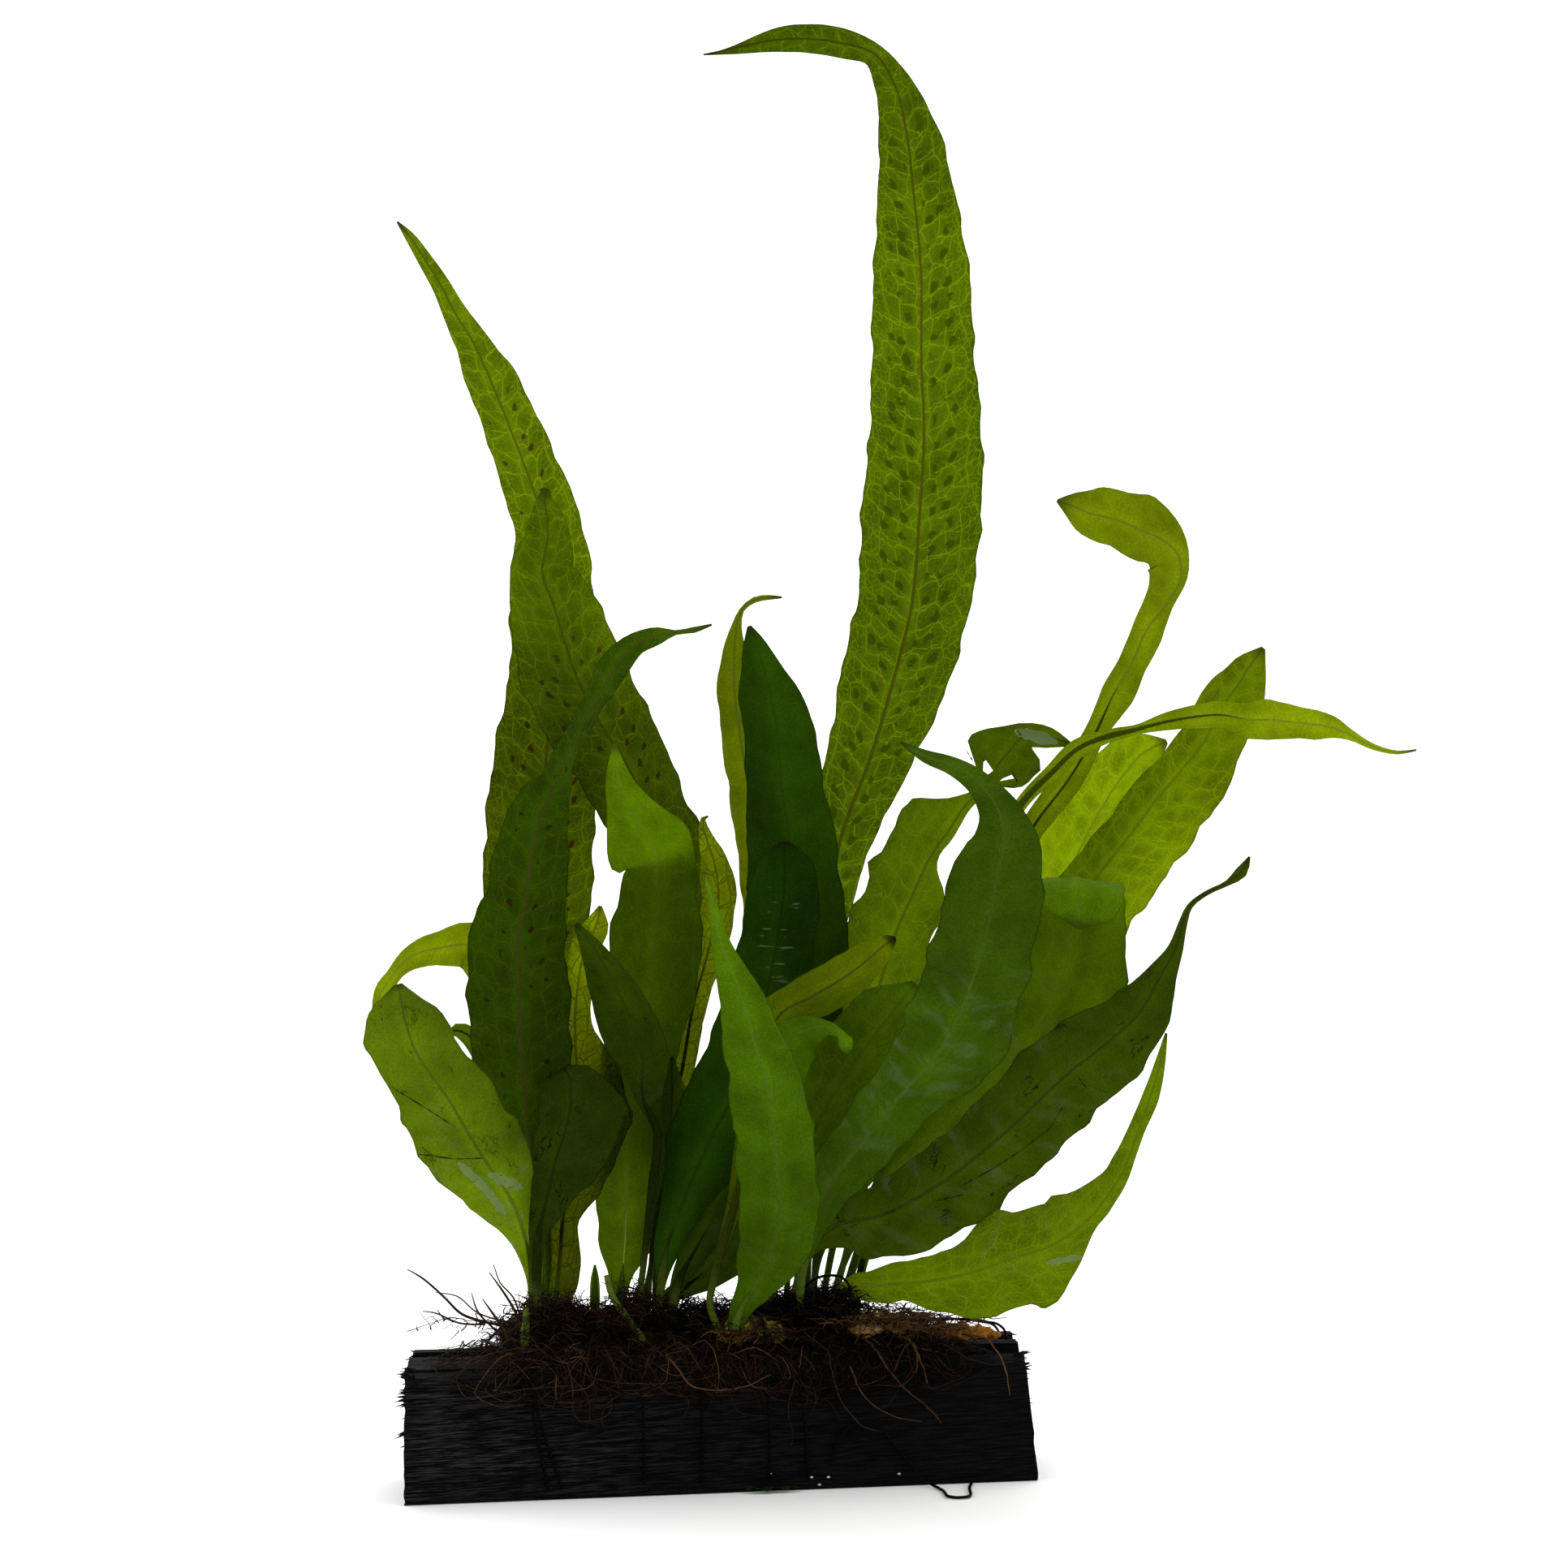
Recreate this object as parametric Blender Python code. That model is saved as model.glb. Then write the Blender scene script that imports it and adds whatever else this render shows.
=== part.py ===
"""A java fern tied onto a sawn block of dark driftwood.

The block lies along X and stands on its underside, and its ends are cut at a slant. The origin
is on the underside, midway between the long faces and level with the middle of the front one.
The rhizome creeps along the top of the block between two mats of roots, dark threads hold it
down, and each frond rises from the rhizome on its own stalk. The fronds are set out in the
plant's own frame, which is turned against the block by PLANT_TURN.
"""
import math
import random

import bmesh
import bpy
import numpy as np

MM = 0.001
GAP = 0.0003

# The sawn block: a groove runs along its top behind the rhizome, a thin crack in front. Its
# ends run back and to the right, END_SLANT across for each unit back.
BLOCK_LENGTH = 0.1264
BLOCK_DEPTH = 0.038
BLOCK_HEIGHT = 0.025
FRONT_BEVEL = 0.0035
BACK_BEVEL = 0.0008
GROOVE_FRONT = 0.0050
GROOVE_WIDTH = 0.0080
GROOVE_DROP = 0.0078
CRACK_FRONT = -0.0152
CRACK_WIDTH = 0.0012
CRACK_DROP = 0.0012
RIGHT_END_LEAN = 0.0030
END_SLANT = 0.24

# The plant is turned clockwise against the block, seen from above.
PLANT_TURN = math.radians(15)

# A frond: its thickness along the midrib at the stalk and at the tip, and at its margins.
STALK_THICKNESS = 0.0017
TIP_THICKNESS = 0.0007
MARGIN_THICKNESS = 0.0004
BLADE_CUP = 0.06
RING_SPACING = 0.011

THREAD_RADIUS = 0.0003
TAIL_RADIUS = 0.0003
TAIL_SPACING = 0.0016

WOOD = ("wood_black", (0.020, 0.020, 0.022), 0.80)
RHIZOME_GREEN = ("rhizome_green", (0.055, 0.075, 0.020), 0.70)
RHIZOME_OCHRE = ("rhizome_ochre", (0.300, 0.190, 0.060), 0.70)
ROOT_BROWN = ("root_brown", (0.060, 0.038, 0.022), 0.90)
THREAD_BLACK = ("thread_black", (0.012, 0.012, 0.014), 0.60)
STALK_GREEN = ("stalk_green", (0.140, 0.210, 0.030), 0.50)
LEAF_BRIGHT = ("leaf_bright", (0.220, 0.300, 0.010), 0.45)
LEAF_MID = ("leaf_mid", (0.090, 0.190, 0.010), 0.45)
LEAF_DARK = ("leaf_dark", (0.030, 0.090, 0.010), 0.45)
LEAF_YELLOW = ("leaf_yellow", (0.320, 0.300, 0.020), 0.50)
LEAF_BROWN = ("leaf_brown", (0.110, 0.070, 0.030), 0.60)

# Rhizomes, in mm along the block: x, y, z of the axis, half width, half height.
RHIZOME_MAIN = (
    (-40.5, 0.6, 28.6, 1.6, 1.6), (-38.5, 0.4, 29.2, 4.6, 3.5), (-33, 0, 29.8, 6.2, 4.3),
    (-26, 0.2, 29.4, 5.4, 3.8), (-20, -0.4, 28.8, 4.4, 3.2), (-12, 0, 29.1, 6, 3.6),
    (-4, -0.3, 28.9, 5.2, 3.4), (4, 0.2, 28.8, 4.8, 3.2), (14, -0.3, 29.1, 6.4, 3.6),
    (24, 0, 29.2, 6.6, 3.7), (31, 0, 29, 6.2, 3.5), (38, 0.2, 28.7, 4, 3.1),
    (44.5, 0, 28.2, 2.6, 2.5),
)
RHIZOME_FRONT = (
    (-0.5, -13.2, 29.6, 1, 1), (1.5, -13.6, 30.2, 2.4, 2.3), (5, -14, 30.7, 3, 2.8),
    (9, -14.2, 30.6, 2.7, 2.6), (12, -14, 30, 1.9, 1.8), (13, -13.8, 29.6, 0.8, 0.8),
)
RHIZOME_RIGHT = (
    (26.5, -9.4, 29.8, 1, 1), (28.5, -9.6, 30.2, 2, 2.1), (33, -9.8, 30.5, 2.2, 2.4),
    (38, -9.2, 30.2, 2.1, 2.2), (41.5, -8.6, 29.6, 1.1, 1.1),
)
RHIZOME_TIP = (
    (45.2, -0.6, 27.8, 1.5, 1.5), (48, -1, 27.6, 2.1, 2), (54, -1.8, 27.5, 1.9, 1.9),
    (58, -2.2, 27.2, 1.4, 1.4), (60.5, -2.6, 26.9, 0.7, 0.7),
)

# Root mats, in mm: x, cover on top by the rhizome, cover at the block's edge, cover on the
# block's face, height of the lower fringe on the face.
FRONT_MAT = (
    (-57, 0.9, 0.8, 0.6, 20), (-52, 1.8, 1.6, 1, 18.5), (-45, 2.4, 2.2, 1.4, 16),
    (-38, 2.7, 2.4, 1.6, 14), (-30, 2.8, 2.6, 1.8, 13.5), (-22, 2.6, 2.5, 1.6, 15),
    (-14, 2.7, 2.5, 1.7, 16), (-6, 2.3, 2.2, 1.6, 14.5), (1, 1.8, 2, 1.5, 15),
    (9, 1.8, 2.1, 1.6, 14), (16, 2.2, 2.4, 1.7, 12.5), (24, 2.2, 2.3, 1.6, 14),
    (32, 1.8, 2, 1.4, 16), (40, 1.7, 1.9, 1.3, 14.5), (48, 1.6, 1.6, 1, 17), (54, 0.9, 0.8, 0.6, 20),
)
BACK_MAT = (
    (-50, 0.9, 0.8, 0.6, 21), (-42, 2, 1.4, 1, 19), (-32, 2.6, 1.8, 1.2, 17), (-20, 2.8, 1.8, 1.3, 18),
    (-8, 2.6, 1.9, 1.3, 16), (6, 2.8, 1.9, 1.3, 17.5), (20, 2.6, 1.8, 1.2, 16), (32, 2.2, 1.6, 1.2, 18),
    (42, 1.6, 1.2, 0.8, 20), (48, 0.9, 0.8, 0.6, 21.5),
)
MAT_CLEARANCE = 0.6
MAT_SHOULDER = 3.6
MAT_UNEVENNESS = 0.25

# Tie threads over the rhizome, in mm: x at these heights on the block's front face. They start
# and end TIE_FOOT above the underside, and bend at points TIE_SPACING or more apart.
TIE_FOOT = 0.0022
TIE_SPACING = 0.0012
TIE_HEIGHTS = (0, 15, 25)
TIES = {
    "tie_left": (-35, -38.2, -40.6),
    "tie_left_second": (-32, -37.2, -39.6),
    "tie_center_left": (-16.4, -16.8, -18.2),
    "tie_center": (-5.2, -5.3, -5.4),
    "tie_center_right": (8.4, 8.1, 7.8),
    "tie_right": (16.4, 15, 13.6),
}

# Loose ends of thread, in mm.
TIE_LOOP = (
    (17.8, -3.2, 34.4), (18.6, -7.5, 38), (20.4, -9.6, 39.9), (22.4, -11.4, 40.6), (24.6, -12, 40.4),
    (26.2, -12.4, 38.9), (26.4, -12.7, 36.9), (25.6, -13.1, 33.8), (24.6, -13.6, 29.4),
)
TIE_END = (
    (47, -1, 30.3), (49.5, -1.8, 30.2), (51.5, -0.8, 30.1), (54, -1.2, 30), (56, -2.6, 29.7),
    (58, -2, 29.4), (60, -1.6, 29), (61.4, -2, 27.9), (61.9, -2.4, 25.8),
)
TIE_TAIL = (
    (20.6, -19.7, 4.6), (20.9, -19.8, 6.4), (21.6, -19.9, 8.4), (22.7, -20, 10.4), (24.2, -20, 12),
    (26.2, -20, 12.9), (28.4, -20, 12.9), (30.3, -20, 11.8), (32, -20, 9.9), (34, -20, 7.4),
    (36.3, -20.2, 4.6), (38.4, -20.8, 2.2), (39.9, -22.3, 0.8), (40.6, -25.2, 0.35), (40.4, -29.4, 0.35),
    (39.7, -33.4, 0.35), (39.3, -36.4, 0.35), (40.4, -38.4, 0.35), (42.6, -38, 0.35),
    (44.2, -35, 0.35), (45.4, -30.6, 0.35), (46.8, -26, 0.35), (48.4, -21.8, 0.35), (49.2, -19.6, 0.35),
)

# Loose roots at the left, in mm in the plant's frame: across, back, up, radius.
AERIAL_ROOTS = {
    "root_loose_high": (
        (-43, -13, 32.6, 0.35), (-46.5, -14, 34, 0.35), (-50, -15, 37.5, 0.3), (-54.5, -16, 41.5, 0.3),
        (-57, -16.5, 43, 0.25),
    ),
    "root_loose_middle": (
        (-35.4, -16.5, 33.2, 0.35), (-37.2, -17.5, 37, 0.3), (-38.8, -18, 39.5, 0.3),
        (-41, -18.5, 42.6, 0.25),
    ),
    "root_loose_low": (
        (-38.2, -18.8, 31.5, 0.35), (-40.4, -19.4, 35, 0.3), (-42.2, -19.8, 37.6, 0.25),
    ),
}

# Cut stalks, in mm in the plant's frame: the same columns.
CUT_STALKS = {
    "stub_left": (
        (-34.2, -17, 29, 0.9), (-34.2, -17, 30.4, 1), (-34, -17, 32.5, 0.75), (-33.9, -17, 35.6, 0.6),
    ),
    "cut_stalk_center": (
        (-11.8, -10.4, 28.9, 0.8), (-13.6, -10.4, 31.8, 0.75), (-16.4, -10.4, 35.2, 0.7),
        (-18, -10.4, 38.4, 0.65), (-18.6, -10.4, 41.2, 0.6),
    ),
}

# A scrap of leaf that lies against the foot of the block, in mm: x, y, z, half width.
SCRAP = ((3.4, -20.8, 0.9, 0.5), (7, -21, 0.9, 1.4), (11, -20.9, 0.9, 1.2), (14.2, -20.6, 0.9, 0.4))
SCRAP_THICKNESS = 0.0010

FROND_FINISH = {
    "frond_tall": LEAF_BRIGHT, "frond_left_tall": LEAF_BRIGHT, "frond_left_broad": LEAF_BRIGHT,
    "frond_left_front": LEAF_MID, "frond_light_tip": LEAF_MID, "frond_yellow_left": LEAF_YELLOW,
    "frond_pointed_left": LEAF_DARK, "frond_left_low": LEAF_DARK, "frond_arching_left": LEAF_MID,
    "frond_withered_left": LEAF_BROWN, "frond_left_short": LEAF_DARK, "frond_center_left": LEAF_MID,
    "frond_yellow_center": LEAF_YELLOW, "frond_small_center": LEAF_DARK,
    "frond_low_center_front": LEAF_DARK, "frond_low_center_back": LEAF_DARK,
    "frond_front_center": LEAF_MID, "frond_knob": LEAF_MID, "frond_brown_tip": LEAF_DARK,
    "frond_dark_center": LEAF_DARK, "frond_sliver": LEAF_BRIGHT, "frond_dark_right": LEAF_DARK,
    "frond_low_behind": LEAF_DARK, "frond_torn": LEAF_MID, "frond_hooked": LEAF_MID,
    "frond_long_right": LEAF_MID, "frond_bright_right": LEAF_BRIGHT, "frond_broad_right": LEAF_BRIGHT,
    "frond_front_right": LEAF_MID, "frond_folded_right": LEAF_MID, "frond_low_right": LEAF_BROWN,
    "frond_bottom_right": LEAF_BRIGHT, "frond_curl_right": LEAF_BROWN, "young_shoot": STALK_GREEN,
}

# Fronds, from stalk to tip, in mm in the plant's frame: across, back, up, half width to the
# left of the midrib, half width to its right, twist about the midrib in degrees. Each stalk
# starts on the rhizome, so its first height is replaced by the rhizome's own.
FRONDS = {
    "frond_tall": (
        (18.5, 7.5, 33, 0.7, 0.7, 0), (19, 10.5, 54, 1, 1, 0), (20.5, 14, 78, 2.8, 2.8, 0),
        (23.5, 18, 105, 5.7, 4.2, 0), (27.5, 22, 126.5, 7.4, 6.4, 0), (33.5, 26, 142.5, 8.9, 8.3, 0),
        (38, 29, 157.5, 10.8, 10.8, 0), (42, 32, 174, 11.1, 11.8, 0), (43.5, 34, 191, 11.9, 12.6, 0),
        (44.5, 36, 207.5, 11.2, 11.9, 0), (44, 37, 224, 10.2, 10.9, 0), (44, 38, 241, 9.9, 9.9, 0),
        (42.5, 38, 257.5, 7.5, 8.3, 0), (41, 38, 270, 5.8, 6.6, 0), (38.5, 37, 280, 4.2, 3.5, 0),
        (34.5, 36, 286, 2.8, 2.1, 0), (28, 35, 288, 3, 3, 0), (15, 33, 288.5, 2.5, 2.5, 0),
        (6, 31, 286.5, 1.3, 0.6, 0), (-0.5, 30, 285, 0.2, -0.5, 0),
    ),
    "frond_left_tall": (
        (-28.5, -3, 34.5, 0.7, 0.7, 0), (-29.5, 2, 51.5, 1.1, 1.1, 0), (-31.5, 7, 70, 4, 4, 0),
        (-33, 12, 91, 8.5, 8.5, 0), (-33, 17, 115, 11.3, 10.4, 0), (-32.5, 20, 131.5, 11.3, 10.4, 0),
        (-32, 22, 142.5, 10.5, 9.6, 0), (-30.5, 24, 157.5, 9.2, 8.4, 0), (-31, 26, 174, 8.4, 8.6, 0),
        (-32.4, 27, 188.5, 6.4, 7.5, 0), (-36.4, 28, 200.5, 5.8, 6.7, 0), (-40.3, 29, 210.5, 5.1, 6, 0),
        (-44, 30, 219.5, 4.9, 5.1, 0), (-47.5, 31, 227, 3.8, 3.1, 0), (-51, 31, 232.5, 2.5, 2.5, 0),
        (-53.5, 32, 237.5, 2, 2, 0), (-57.5, 33, 244, 1.5, 1.5, 0), (-60.5, 33, 248.5, 1, 1, 0),
        (-63, 34, 251.5, 0.2, 0.2, 0),
    ),
    "frond_left_broad": (
        (-9.5, 2.5, 34.5, 0.7, 0.7, 0), (-9, 5.5, 51, 1, 1, 0), (-6, 8.5, 75, 3.2, 3.2, 0),
        (-4.5, 10.5, 99, 5.6, 5.6, 0), (-4.5, 11, 113.5, 7.1, 7.1, 0), (-6.5, 11, 122.5, 7.9, 7.9, 0),
        (-10.5, 11.5, 130, 8.9, 7.8, 0), (-15.5, 12, 140.5, 9.9, 8.8, 0),
        (-20.5, 12.5, 148.5, 10.6, 9.8, 0), (-25, 13, 157, 10.9, 10.1, 0),
        (-28, 14, 165.5, 10.4, 9.6, 0), (-30, 15, 172, 9.1, 8.3, 0), (-32.5, 15, 180, 6.5, 6.5, 0),
        (-31.5, 16, 185, 5, 5, 0), (-31.5, 16, 190, 3.6, 3.6, 0), (-32, 16, 194, 1.6, 1.6, 0),
        (-31.5, 16, 196, 0.5, 0.5, 0),
    ),
    "frond_left_front": (
        (-31, -9, 34, 0.8, 0.8, 0), (-31.5, -9, 47.5, 1.1, 1.1, 0), (-33, -11, 59, 3.9, 3.9, 0),
        (-34, -12, 70, 7.1, 7.1, 0), (-35, -13, 84, 9.6, 9.6, 0), (-35.5, -13, 95, 9.9, 9.9, 0),
        (-36, -13, 104.5, 9.6, 9.6, 0), (-34, -13, 115.5, 7.9, 7.9, 0), (-33, -13, 123.5, 7.2, 7.2, 0),
        (-31.5, -13, 130.5, 6.1, 6.1, 10), (-28.5, -14, 137, 4.4, 4.4, 35),
        (-25.5, -15, 144, 3.4, 3.4, 50), (-22.5, -16, 149.5, 3.2, 3.2, 50),
        (-19.5, -16, 155, 3.5, 3.5, 40), (-16.5, -17, 160, 3.4, 3.4, 30),
        (-12.5, -17, 164, 2.3, 2.3, 20), (-8, -18, 165.5, 1.6, 1.6, 10), (-5, -19, 166, 0.5, 0.5, 10),
        (-1.5, -19, 166.5, 0.6, 0.6, 10), (2, -20, 167.5, 0.2, 0.2, 0),
    ),
    "frond_light_tip": (
        (-16.5, -3, 34, 0.7, 0.7, 0), (-15.8, -2, 41, 3, 2.4, 0), (-15.4, -2, 46, 5, 5.4, 0),
        (-15.2, -2, 51.5, 5.6, 6.4, 0), (-15, -2, 59.5, 6.1, 6.1, 0), (-13.5, -3, 72.5, 6.7, 6.7, 0),
        (-12, -4, 85.5, 7.3, 7.3, 0), (-10, -5, 96.5, 8.6, 8.6, 0), (-9, -7, 107.5, 9, 9, 0),
        (-8.5, -8, 117, 7.4, 7.4, 0), (-8.6, -8, 122.2, 6.6, 7.2, 0), (-10, -10, 124.4, 8.9, 8.6, 0),
        (-13.7, -12, 131.3, 5.1, 5.1, 0), (-16.1, -14, 137.7, 2.7, 2.7, 0),
        (-17, -16, 144.6, 0.3, 0.3, 0),
    ),
    "frond_yellow_left": (
        (-29.5, -6, 34.5, 0.6, 0.6, 0), (-28.5, -6, 38.5, 1.4, 4, 0), (-28, -6, 43, 1.6, 4.2, 0),
        (-27.5, -5, 50.5, 2.4, 3.2, 0), (-26, -5, 59, 4.9, 6.4, 0), (-24.5, -5, 69.5, 5.1, 9.8, 0),
        (-24.5, -5, 79, 4.3, 9, 0), (-25, -6, 88.5, 2.9, 4, 0), (-24.5, -6, 96.5, 2.7, 2.7, 0),
        (-23, -6, 104.5, 2.9, 2.9, 0), (-20.5, -7, 110, 2.1, 2.1, 0), (-20, -7, 113, 0.3, 0.3, 0),
    ),
    "frond_pointed_left": (
        (-13, -6, 34, 0.6, 0.6, 0), (-11, -8, 47.5, 0.7, 0.7, 0), (-9.5, -10, 60.5, 0.9, 0.9, 0),
        (-8.5, -12, 68.5, 0.9, 0.9, 0), (-11.5, -16, 76.5, 1.6, 4, 0), (-11.5, -20, 84.5, 5.2, 5.2, 0),
        (-13.5, -22, 91.5, 6.6, 4.8, 0), (-16.5, -23, 98, 5.2, 3.6, 0), (-20, -24, 104.5, 3.2, 2, 0),
        (-24, -24, 110, 0.5, 0.5, 0),
    ),
    "frond_left_low": (
        (-33, -11, 34, 0.8, 0.8, 0), (-33, -12, 41.5, 1.4, 2, 0), (-34.5, -14, 49.5, 3.4, 3.9, 0),
        (-37, -16, 56.5, 7.2, 7.2, 0), (-41, -19, 63, 8.9, 8.9, 0), (-45, -22, 70, 10.5, 9.2, 0),
        (-48.5, -25, 76.5, 9.8, 8.9, 0), (-51.5, -27, 81, 8.2, 8.2, 0), (-54.5, -29, 86, 8.3, 8, 0),
        (-56, -31, 91, 8.3, 7.6, 0), (-57, -29, 94.5, 6.6, 4.4, 0), (-58, -26, 98.5, 0.8, 0.8, 0),
    ),
    "frond_arching_left": (
        (-30.5, -3, 35, 0.6, 0.6, 0), (-31, 0, 51.5, 1, 1, 0), (-34.5, 2, 67.5, 2.4, 2.4, 0),
        (-37.5, 3, 83.5, 4, 4, 0), (-40, 3, 93.5, 4.5, 4.5, 0), (-42.5, 3, 101, 4.6, 4.6, 0),
        (-46.5, 2, 105, 4.5, 4.5, 0), (-51.5, 1, 104.5, 3.8, 3.8, 0), (-56, 0, 103.5, 3.1, 3.1, 15),
        (-59.5, -3, 101, 2.5, 2.5, 20), (-61.5, -6, 98, 2.5, 2.5, 20), (-63, -9, 95.5, 1.7, 1.7, 0),
        (-64, -10, 92.5, 0.5, 0.5, 0),
    ),
    "frond_withered_left": (
        (-32.5, -6, 34.5, 0.5, 0.5, 0), (-33.5, -5, 52, 0.6, 0.6, 0), (-38.5, -4, 68, 0.8, 0.8, 0),
        (-42.5, -3, 80.5, 1.4, 1.4, 0), (-46, -3, 87.5, 1.9, 1.9, 0), (-48.5, -3, 88.5, 1.3, 1.3, 0),
        (-50, -3, 88, 0.3, 0.3, 0),
    ),
    "frond_left_short": (
        (-31.5, -14, 34, 0.7, 0.7, 0), (-32, -16, 43, 1.1, 1.1, 0), (-31.5, -18, 50, 1.9, 1.9, 0),
        (-29.5, -20, 58, 3.4, 5.4, 0), (-28, -21, 64.5, 4.7, 8.6, 0), (-26, -22, 70.5, 5.6, 10.4, 0),
        (-25, -23, 77, 5.9, 9.4, 0), (-25.5, -23, 81, 3.9, 4.4, 0), (-26.5, -23, 82.5, 0.8, 0.8, 0),
    ),
    "frond_center_left": (
        (-9, -6, 34, 0.8, 0.8, 0), (-8, -6, 40, 1.1, 1.1, 0), (-7, -7, 46, 2.7, 2.7, 0),
        (-4.5, -8, 53, 4, 4, 0), (-2, -9, 59.5, 6, 6, 0), (1.5, -9, 67.5, 8.5, 8.5, 0),
        (6, -9, 76, 8.9, 8.9, 0), (10, -8, 87, 8.2, 8.2, 0), (13, -6, 98, 7.8, 7.8, 0),
        (15, -5, 109, 7.3, 7.3, 0), (16, -4, 118, 6.5, 6.5, 0), (16, -4, 122.5, 4.8, 4.8, 0),
        (16, -4, 125.5, 1, 1, 0),
    ),
    "frond_yellow_center": (
        (-12.5, -0.5, 34.5, 0.6, 0.6, 0), (-9.5, 1, 45, 0.8, 0.8, 0), (-6.5, 1.5, 57.5, 2.1, 2.1, 0),
        (-6, 1.5, 70.5, 2.4, 2.4, 0), (-4, 1.5, 81.5, 2.4, 2.4, 0), (-2, 2, 93, 2.6, 2.6, 0),
        (1, 3, 104, 3.3, 3.3, 0), (3, 2, 113.5, 3.5, 3.5, 0), (2, 1, 122, 2.7, 2.7, 0),
        (0.5, 0, 126.5, 1.4, 1.4, 0), (0, 0, 130, 0.5, 0.5, 0), (1, -1, 130.5, 0.2, 0.2, 0),
    ),
    "frond_small_center": (
        (-11, -4, 34, 0.6, 0.6, 0), (-9.5, -5, 49, 0.8, 0.8, 0), (-7.5, -6, 60, 2.7, 2.7, 0),
        (-6.5, -6, 68, 3.2, 3.2, 0), (-6, -6, 76, 2.7, 2.7, 0), (-6, -6, 81, 1.3, 1.3, 0),
        (-6, -6, 83.5, 0.2, 0.2, 0),
    ),
    "frond_low_center_front": (
        (-6.5, -6, 34.5, 0.6, 0.6, 0), (-4.5, -5, 40, 1.7, 1.7, 0), (-1.5, -5, 45.5, 2.9, 2.9, 0),
        (2, -5, 52, 3.5, 3.5, 0), (5.5, -5, 60, 3.5, 3.5, 0), (9, -5, 68, 2.9, 2.9, 0),
        (11.5, -5, 76, 1.1, 1.1, 0),
    ),
    "frond_low_center_back": (
        (-10, -2.5, 32.5, 0.5, 0.5, 0), (-8.5, -1.5, 34.5, 1.1, 1.1, 0), (-3.5, -1, 38, 2.2, 2.2, 0),
        (1, -0.5, 41.5, 3, 4.4, 0), (4.5, 0, 46, 3.5, 6.2, 0), (8, 0, 52.5, 3.5, 6.2, 0),
        (11.5, 0, 59.5, 2.7, 4, 0), (13.5, 0, 65.5, 0.3, 0.3, 0),
    ),
    "frond_front_center": (
        (6, -14, 30, 1.1, 1.1, 0), (7.5, -16, 35, 2.2, 2.2, 0), (10, -20, 39.5, 3.4, 3.4, 0),
        (13, -25, 46, 6.4, 6.4, 0), (15, -29, 54, 7.6, 7.6, 0), (14.5, -33, 64, 7.6, 7.6, 0),
        (13.5, -37, 75, 7.5, 7.5, 0), (10.5, -41, 87.5, 6.1, 6.1, 0), (7.5, -45, 98, 4, 4, 0),
        (4, -48, 107.5, 1.8, 1.8, 0), (2.5, -50, 115, 0.8, 0.8, 0), (1, -52, 120.5, 0.2, 0.2, 0),
    ),
    "frond_knob": (
        (8, -4, 34, 0.6, 0.6, 0), (10, -9, 46, 0.9, 0.9, 0), (12.5, -14, 59, 2.8, 2.8, 0),
        (13.5, -18, 70.5, 4.4, 4.4, 0), (14.5, -20, 80, 4.7, 5.5, 0), (16.5, -21, 86.5, 4.8, 5.8, 0),
        (19.5, -22, 89.2, 3.4, 4.8, 0), (22.5, -22, 90, 2, 3, 0), (25, -22, 90, 1, 1.6, 0),
        (26.8, -22, 88.8, 0.8, 0.8, 0), (27.7, -22, 87.4, 1.5, 1.5, 0), (27.9, -22, 85.8, 1.2, 1.2, 0),
        (27.9, -22, 84.8, 0.2, 0.2, 0),
    ),
    "frond_brown_tip": (
        (3.5, -13, 30.5, 0.7, 0.7, 0), (1.5, -12, 35.5, 0.7, 0.7, 0), (2.5, -12, 41.5, 0.8, 0.8, 0),
        (6.5, -13, 56, 1.6, 1.6, 0), (9.5, -14, 71.5, 2.8, 2.8, 0), (12, -14, 84, 3.8, 3.8, 0),
        (15.5, -15, 92.5, 4.2, 4.2, 0), (21, -16, 95.5, 4.4, 4.4, 0), (28.5, -16, 100, 4.4, 4.4, 0),
        (33.5, -16, 104, 3, 3, 0), (36.5, -16, 106.5, 1.3, 1.3, 0), (37.5, -16, 107, 0.4, 0.4, 0),
    ),
    "frond_dark_center": (
        (13, -2, 32.5, 0.9, 0.9, 0), (14, -2, 39, 0.9, 0.9, 0), (15.5, 0, 51.5, 1.3, 1.3, 0),
        (17.5, 2, 67.5, 4, 4, 0), (18.5, 4, 83, 7.2, 7.2, 0), (19, 5, 96, 8.2, 9, 0),
        (19, 6, 105.5, 9, 9.8, 0), (17.5, 6, 117, 8.8, 9.6, 0), (17, 6, 125, 8.5, 9.3, 0),
        (15.5, 6, 136, 7.2, 8.2, 0), (14.5, 5, 147.5, 6.6, 7.4, 0), (13, 4, 155.5, 6.2, 5.2, 0),
        (11.5, 4, 161, 4.3, 3, 0), (10, 3, 165.5, 2.2, 1.5, 0), (9, 3, 168, 0.4, 0.4, 0),
    ),
    "frond_sliver": (
        (14, 5, 33.5, 0.6, 0.6, 0), (13.5, 9, 50.5, 1, 1, 0), (11.5, 11, 74.5, 2.2, 3.2, 0),
        (11, 12, 99, 2.5, 5.7, 0), (10, 12, 121.5, 3.2, 6.1, 0), (8.5, 12, 138, 4, 4.5, 0),
        (7, 12, 147.5, 3.7, 3.7, 0), (6, 12, 155.5, 3.4, 3.4, 0), (6, 12, 163.5, 2.3, 2.3, 0),
        (6.5, 12, 168.5, 1, 1, 0), (7.5, 12, 171.5, 0.5, 0.5, 0), (10, 12, 173.5, 0.6, 0.6, 0),
        (13, 12, 174, 0.5, 0.5, 0), (15.5, 12, 174, 0.2, 0.2, 0),
    ),
    "frond_dark_right": (
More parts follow.
